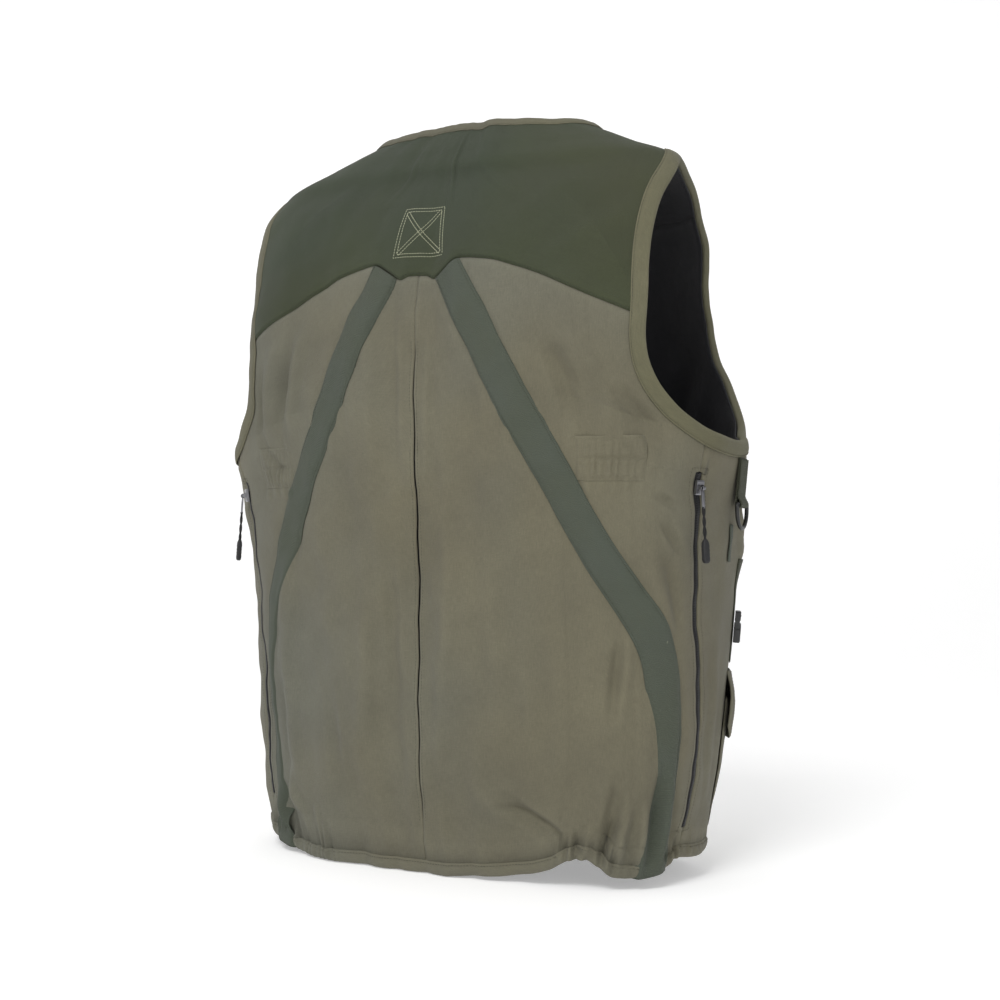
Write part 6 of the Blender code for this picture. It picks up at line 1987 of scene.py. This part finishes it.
def make_buckles():
    """Make the strap above each pocket, with its fastened side-release buckle."""
    made = {}
    for side, word in SIDES:
        z = np.linspace(*BUCKLE_STRAP_Z, 60)
        line = np.stack([np.full(len(z), side * BUCKLE_ANGLE), z], -1)
        strap = band(line, BUCKLE_STRAP_WIDE, 10)
        rounded = np.array([0.6, 0.1, 0, 0, 0, 0, 0, 0, 0, 0.1, 0.6]) * MM
        made["buckle_strap_" + word] = shell("cloth_buckle_strap_" + word, "dark_webbing",
                                             skin(strap, ON_CLOTH), skin(strap, TAPE_OUT - rounded[None]),
                                             stands_for="buckle_strap_" + word)
        place = cloth_place(side * BUCKLE_ANGLE, BUCKLE_Z, TAPE_OUT + BUCKLE_LIFT)
        half, wide, thick = BUCKLE_TALL / 2, BUCKLE_WIDE / 2, BUCKLE_THICK
        frame_outline = [(-wide, -half + 2 * MM), (-wide + 2 * MM, -half), (wide - 2 * MM, -half),
                         (wide, -half + 2 * MM), (wide, -3.5 * MM), (wide - 1.6 * MM, -1.0 * MM),
                         (wide - 3.6 * MM, 1.6 * MM), (4.4 * MM, 3.4 * MM), (0, 3.9 * MM),
                         (-4.4 * MM, 3.4 * MM), (-wide + 3.6 * MM, 1.6 * MM), (-wide + 1.6 * MM, -1.0 * MM),
                         (-wide, -3.5 * MM)]
        parts = [slab(frame_outline, 0.0, thick, 1.3 * MM, place)]
        plug = rounded_box(2 * wide - 1.5 * MM, 9.6 * MM, 2.6 * MM, 4, (0.0, half - 4.8 * MM))
        parts.append(slab(plug, 0.3 * MM, thick - 0.8 * MM, 1.1 * MM, place))
        for sign in (-1, 1):
            arm = [(sign * (wide - 0.1 * MM), 9.5 * MM), (sign * (wide - 0.2 * MM), 2.2 * MM),
                   (sign * (wide - 0.5 * MM), -1.6 * MM), (sign * (wide - 2.4 * MM), -2.6 * MM),
                   (sign * (wide - 3.6 * MM), 1.5 * MM), (sign * (wide - 3.2 * MM), 9.5 * MM)]
            parts.append(slab(arm[::sign], 0.8 * MM, thick - 1.4 * MM, 0.8 * MM, place))
        tongue = rounded_box(5.4 * MM, 10.0 * MM, 1.2 * MM, 3, (0.0, 4.5 * MM))
        parts.append(slab(tongue, 0.6 * MM, thick - 1.6 * MM, 0.7 * MM, place))
        for level in (-9.6 * MM, 10.6 * MM):
            bar = rounded_box(2 * wide - 6.5 * MM, 2.4 * MM, 1.1 * MM, 3, (0.0, level))
            face = thick + (0.05 if level < 0 else -0.5) * MM
            parts.append(slab(bar, thick - 1.2 * MM, face, 0.5 * MM, place))
        for k in range(4):
            grip = rounded_box(9.0 * MM - k * MM, 0.9 * MM, 0.4 * MM, 2, (0.0, (-3.4 - 1.5 * k) * MM))
            parts.append(slab(grip, thick - 0.6 * MM, thick + 0.05 * MM, 0.2 * MM, place))
        corners, faces = merged(parts)
        make_piece("buckle_shell_" + word, "black_plastic", corners, faces, slot="black_plastic",
                   stands_for="buckle_" + word, sharp=40)
        rows = []
        high, low = (BUCKLE_STRAP_Z[1] - drop for drop in BUCKLE_BOX_DROPS)
        runs = [((-BUCKLE_BOX, z), (BUCKLE_BOX, z)) for z in (high, low)]
        runs += [((x, low), (x, high)) for x in (-BUCKLE_BOX, BUCKLE_BOX)]
        for run in runs:
            ends = [around(side * BUCKLE_ANGLE, z, x, 0) for x, z in run]
            rows.append(stitch_shapes(place_line(*ends), TAPE_OUT + 0.05 * MM, 2.2 * MM))
        make_stitches("buckle_strap_stitches_" + word, "shell_thread", rows)
    return made


YOKE_EDGE_ROWS = (1.6 * MM, 7.6 * MM)       # how far the rows of stitches lie inside the yoke's back edge
YOKE_SEAM_ROWS = (1.8 * MM, 7.6 * MM)       # and from its front seams
ZIP_STITCH_GAP = 9.5 * MM                   # from a side zip's middle to the stitches beside it
ZIP_STITCH_PAST = 4 * MM                    # how far they go on past its ends
HEM_STITCH_LEVEL = 0.86                     # share of the hem casing's height
HEM_STITCH_OUT = 2.75 * MM
# The bar tacks on the straps: angle, height, half length, and turn in degrees.
BARTACKS = ((-33.4, -0.2150, 5.5 * MM, 52), (31.0, -0.2200, 5.0 * MM, -52),
            (-72.4, -0.4860, 5.5 * MM, 84), (66.2, -0.4900, 5.0 * MM, -84))
BOX_Z = -0.1085                             # middle of the box-and-cross stitch
BOX_HALVES = (20.0 * MM, 23.0 * MM)         # half widths of its inner and outer box
CROSS_SHIFT = 1.1 * MM                      # how far each line of its double cross is moved aside


def make_yoke_stitches():
    """Make the double rows along the yoke's back edge and its front seams."""
    edge = yoke_outer_edge()
    arc = len(arm_edge(LEFT)) - ARM_YOKE_FRONT + ARM_YOKE_BACK
    back = edge[arc - 2:len(edge) - arc + 2]
    test = beside(back, -YOKE_EDGE_ROWS[0])
    inwards = 1 if test[len(test) // 2, 1] < back[len(back) // 2, 1] else -1
    rows = [stitch_shapes(beside(back, inwards * distance), YOKE_OUT + 0.45 * MM)
            for distance in YOKE_EDGE_ROWS]
    for side in (LEFT, RIGHT):
        corner = ARMHOLE[ARM_YOKE_FRONT // ARM_STEPS]
        seam = between(corner, (FRONT_SEAM_NECK, float(neck_z(FRONT_SEAM_NECK))), np.linspace(0.05, 0.97, 60))
        seam = seam * np.array([side, 1.0])
        for distance in YOKE_SEAM_ROWS:
            line = beside(seam, side * distance)
            if line[30, 1] < seam[30, 1]:
                line = beside(seam, -side * distance)
            rows.append(stitch_shapes(line, YOKE_OUT + 0.4 * MM))
    make_stitches("yoke_stitches", "green_thread", rows)


def make_binding_stitches():
    """Make the row along each binding tape."""
    rows = []
    for side in (LEFT, RIGHT):
        line = beside(arm_edge(side), side * (BINDING_STITCH * BIND_WIDTH), True)
        rows.append(stitch_shapes(line, 3.5 * MM, closed=True))
    line = beside(neck_line(), BINDING_STITCH * NECK_BIND_WIDTH)
    rows.append(stitch_shapes(line, 3.6 * MM))
    make_stitches("binding_stitches", "shell_thread", rows)


def make_panel_stitches():
    """Make the topstitching of the back, the zips, the side seams and the hem."""
    rows = []
    on_cloth = CLOTH + 0.08 * MM
    for side in (LEFT, RIGHT):
        low, high = SIDE_ZIP_BOTTOM - ZIP_STITCH_PAST, SIDE_ZIP_TOP + ZIP_STITCH_PAST
        z = np.linspace(low, high, 140)
        line = np.stack([side_angle(side, z), z], -1)
        gaps = np.array([-ZIP_STITCH_GAP, ZIP_STITCH_GAP])
        for gap in gaps:
            rows.append(stitch_shapes(shift_degrees(line, gap), on_cloth))
        for level in (high, low):
            ends = shift_degrees(np.array([[side_angle(side, level), level]] * 2), gaps)
            rows.append(stitch_shapes(between(ends[0], ends[1], np.linspace(0, 1, 20)), on_cloth))
        z = np.linspace(SLIT_BOTTOM - 3 * MM, SLIT_TOP + 3 * MM, 160)
        line = np.stack([np.zeros(len(z)), z], -1)
        rows.append(stitch_shapes(shift_degrees(line, side * 3.6 * MM), on_cloth))
        z = np.linspace(float(hem_z(180.0)) + HEM_TALL + 2 * MM, NECK_EDGE[-1].z - 12 * MM, 200)
        line = np.stack([np.full(len(z), side * 180.0), z], -1)
        for gap in (6.2 * MM, 11.0 * MM):
            rows.append(stitch_shapes(shift_degrees(line, -side * gap), on_cloth))
        start, end = WAIST_SPAN[side]
        angles = side * np.linspace(start + 0.5, end - 0.5, 60)
        for level in WAIST_ROWS:
            line = np.stack([angles, np.full(60, WAIST_Z + (level - 0.5) * WAIST_TALL)], -1)
            rows.append(stitch_shapes(line, 2.0 * MM, 2.4 * MM))
    make_stitches("panel_stitches", "shell_thread", rows)
    angles = np.linspace(-180, 180, 900)[3:-3]
    line = np.stack([angles, hem_z(angles) + HEM_TALL * HEM_STITCH_LEVEL], -1)
    make_stitches("hem_stitches", "shell_thread", [stitch_shapes(line, HEM_STITCH_OUT)])


def make_strap_stitches():
    """Make the rows along both edges of the webbing straps, and the bar tacks."""
    rows, tacks = [], []
    for side in (LEFT, RIGHT):
        grid = strap_grid(side)
        dip = lapped(grid, side)
        for offset in (2, -3):
            line = grid[6:, offset]
            heights = TAPE_OUT - 0.2 * MM + over_hem(line) - dip[6:, offset]
            rows.append(on_grid_line(line, heights, 3.0 * MM, 0.27 * MM))
    make_stitches("strap_stitches", "green_thread", rows)
    for angle, z, half, turn in BARTACKS:
        tacks += bartack(angle, z, half, turn, TAPE_OUT + 0.15 * MM)
    make_stitches("bartacks", "pale_thread", tacks)


def make_reinforcement():
    """Make the box-and-cross stitch in the middle of the yoke, in a thick pale thread."""
    rows = []
    for half in BOX_HALVES:
        corners = [around(0.0, BOX_Z, x * half, y * half)
                   for x, y in ((-1, -1), (1, -1), (1, 1), (-1, 1), (-1, -1))]
        rows.append(stitch_shapes(place_line(*corners, steps=60), YOKE_OUT + 0.15 * MM, 2.6 * MM, 0.42 * MM,
                                  share=0.86))
    half = BOX_HALVES[0]
    for shift in (-CROSS_SHIFT, CROSS_SHIFT):
        for turn in (1, -1):
            ends = [around(0.0, BOX_Z, (-half + shift) * turn, -half - shift),
                    around(0.0, BOX_Z, (half + shift) * turn, half - shift)]
            rows.append(stitch_shapes(place_line(*ends, steps=60), YOKE_OUT + 0.2 * MM, 2.6 * MM, 0.42 * MM,
                                      share=0.86))
    make_stitches("reinforcing_stitch", "pale_thread", rows)


# The cloth dips beside the straps, so their edges are worked out before the pieces.
for side in (LEFT, RIGHT):
    edge_rows = strap_grid(side)
    order = np.argsort(edge_rows[:, 0, 1])
    STRAP_EDGES.append((edge_rows[order, 0, 1], (edge_rows[order, 0, 0],
                        np.interp(edge_rows[order, 0, 1], edge_rows[:, -1, 1], edge_rows[:, -1, 0]))))
PIECES = {}
for make in (make_panels, make_linings, make_bindings, make_hems, make_straps, make_waist_casings, make_zips,
             make_d_rings, make_pockets, make_buckles):
    PIECES.update(make())
for puller in pullers():
    make_pull(puller)
    keep_slider(puller.name)
make_yoke_stitches()
make_binding_stitches()
make_panel_stitches()
make_strap_stitches()
make_reinforcement()

# The cut of each piece that shows: its width and length and, where it isn't a rectangle, its area, all in
# metres; how it is held; and the pieces it hangs from or lies on.
Cut = namedtuple("Cut", "width length area held rests_on")
CUTS = {
    "back_left": Cut(0.29, 0.56, 0.127, "hung", ("yoke",)),
    "back_right": Cut(0.31, 0.56, 0.142, "hung", ("yoke",)),
    "front_left": Cut(0.46, 0.64, 0.211, "hung", ("yoke",)),
    "front_right": Cut(0.43, 0.64, 0.191, "hung", ("yoke",)),
    "yoke": Cut(0.54, 0.38, 0.117, "draped", ("lining_yoke",)),
    "lining_back": Cut(0.56, 0.55, 0.258, "hung", ("lining_yoke",)),
    "lining_front_left": Cut(0.45, 0.63, 0.203, "hung", ("lining_yoke",)),
    "lining_front_right": Cut(0.42, 0.63, 0.185, "hung", ("lining_yoke",)),
    "lining_yoke": Cut(0.52, 0.36, 0.109, "draped", ("yoke",)),
    "binding_arm_left": Cut(0.033, 0.86, None, "folded", ("front_left", "back_left", "yoke")),
    "binding_arm_right": Cut(0.033, 0.85, None, "folded", ("front_right", "back_right", "yoke")),
    "binding_neck": Cut(0.025, 0.90, None, "folded", ("yoke", "front_left", "front_right")),
    "hem_back": Cut(0.0136, 0.56, None, "gathered", ("back_left", "back_right")),
    "hem_front_left": Cut(0.0145, 0.373, None, "gathered", ("front_left",)),
    "hem_front_right": Cut(0.0145, 0.325, None, "gathered", ("front_right",)),
    "strap_left": Cut(0.0335, 0.61, None, "laid", ("back_left",)),
    "strap_right": Cut(0.0335, 0.65, None, "laid", ("back_right",)),
    "waist_casing_left": Cut(0.041, 0.062, None, "gathered", ("back_left",)),
    "waist_casing_right": Cut(0.041, 0.071, None, "gathered", ("back_right",)),
    "zip_left": Cut(0.015, 0.32, None, "laid", ("back_left", "front_left")),
    "zip_right": Cut(0.015, 0.32, None, "laid", ("back_right", "front_right")),
    "zip_front": Cut(0.015, 0.51, None, "laid", ("front_left", "front_right")),
    "d_web_left": Cut(0.022, 0.096, None, "folded", ("front_left",)),
    "d_web_right": Cut(0.022, 0.096, None, "folded", ("front_right",)),
    "d_tail_left": Cut(0.0105, 0.035, None, "laid", ("front_left",)),
    "d_tail_right": Cut(0.0105, 0.035, None, "laid", ("front_right",)),
    "pocket_left": Cut(0.20, 0.13, None, "laid", ("front_left",)),
    "pocket_right": Cut(0.19, 0.13, None, "laid", ("front_right",)),
    "pocket_flap_left": Cut(0.22, 0.07, None, "hung", ("pocket_left", "front_left")),
    "pocket_flap_right": Cut(0.213, 0.07, None, "hung", ("pocket_right", "front_right")),
    "buckle_strap_left": Cut(0.021, 0.0985, None, "laid", ("front_left",)),
    "buckle_strap_right": Cut(0.021, 0.0985, None, "laid", ("front_right",)),
}
for name, cut in CUTS.items():
    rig.sheet(PIECES[name], flat=(cut.width, cut.length), held=cut.held, area=cut.area,
             rests_on=[PIECES[other].name for other in cut.rests_on])


FLOOR_Z = -0.7025


def make_floor():
    """Make a pale floor that curves up into a backdrop behind the vest."""
    profile = [(-3.2, 0.0), (1.6, 0.0)]
    profile += [(1.6 + 0.9 * math.sin(a), 0.9 - 0.9 * math.cos(a)) for a in np.linspace(0.1, math.pi / 2, 16)]
    profile += [(2.5, 3.2)]
    away = Vector(CAMERA_AIM).normalized()
    aside = Vector((away.y, -away.x, 0.0))
    points = [away * y + aside * x + Vector((0, 0, FLOOR_Z + z)) for y, z in profile for x in (-4.0, 4.0)]
    faces = [(2 * k, 2 * k + 1, 2 * k + 3, 2 * k + 2) for k in range(len(profile) - 1)]
    mesh = bpy.data.meshes.new("floor")
    mesh.from_pydata([tuple(p) for p in points], [], faces)
    mesh.shade_smooth()
    made, shader, add, links = new_material("paper_look", (0.86, 0.86, 0.86), 0.9)
    place = add("ShaderNodeNewGeometry").outputs["Position"]
    cloud = add("ShaderNodeTexNoise", {"Vector": place, "Scale": 2.0, "Detail": 3.0})
    shade = add("ShaderNodeMix", {0: cloud.outputs[0], 6: (0.85, 0.85, 0.85, 1), 7: (0.88, 0.88, 0.88, 1)},
                data_type="RGBA")
    links.new(shade.outputs[2], shader.inputs["Base Color"])
    shader.inputs["Emission Color"].default_value = (1.0, 1.0, 1.0, 1.0)
    shader.inputs["Emission Strength"].default_value = 0.3
    mesh.materials.append(made)
    floor = bpy.data.objects.new("floor", mesh)
    bpy.context.scene.collection.objects.link(floor)
    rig.stage(floor)


def add_light(name, place, target, size, power):
    """Add a round lamp that shines at a target."""
    light = bpy.data.lights.new(name, "AREA")
    light.shape = "DISK"
    light.size = size
    light.energy = power
    thing = bpy.data.objects.new(name, light)
    bpy.context.scene.collection.objects.link(thing)
    thing.location = place
    thing.rotation_euler = (Vector(target) - Vector(place)).to_track_quat("-Z", "Y").to_euler()
    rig.stage(thing)


CHEST = (0, 0, -0.35)
HIPS = (0, 0, -0.5)
WORLD_STRENGTH = 0.42


def make_studio():
    """Light the vest from above and behind, on a white floor."""
    make_floor()
    add_light("key_light", (-0.35, 2.5, 2.1), CHEST, 1.5, 64)
    add_light("fill_light", (-2.4, 1.6, 0.3), CHEST, 1.6, 9)
    add_light("top_light", (0.2, 0.4, 2.6), CHEST, 2.4, 12)
    add_light("low_light", (-1.2, 2.2, -0.5), HIPS, 1.6, 2)
    world = bpy.data.worlds.new("studio")
    world.use_nodes = True
    world.node_tree.nodes["Background"].inputs["Color"].default_value = (1.0, 1.0, 1.0, 1.0)
    world.node_tree.nodes["Background"].inputs["Strength"].default_value = WORLD_STRENGTH
    bpy.context.scene.world = world


CAMERA_PLACE = (-0.8, 1.3856, -0.397)
CAMERA_AIM = (0.8, -1.3856, 0.0)
LENS = 58.4
SHIFT_X, SHIFT_Y = 0.016, 0.045


def make_camera():
    """Place the camera behind the vest and to its right."""
    camera = bpy.data.cameras.new("camera")
    camera.lens = LENS
    camera.sensor_width = 36.0
    camera.shift_x = SHIFT_X
    camera.shift_y = SHIFT_Y
    camera.dof.use_dof = False
    thing = bpy.data.objects.new("camera", camera)
    bpy.context.scene.collection.objects.link(thing)
    thing.location = CAMERA_PLACE
    thing.rotation_euler = Vector(CAMERA_AIM).to_track_quat("-Z", "Y").to_euler()
    bpy.context.scene.camera = thing
    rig.stage(thing)


make_studio()
make_camera()
bpy.context.scene.view_settings.view_transform = "Standard"
open("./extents.json", "w").write(json.dumps({"cad": [list(c) for c in cad_box],
                                                  "shown": [list(c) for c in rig.bounds()]}))
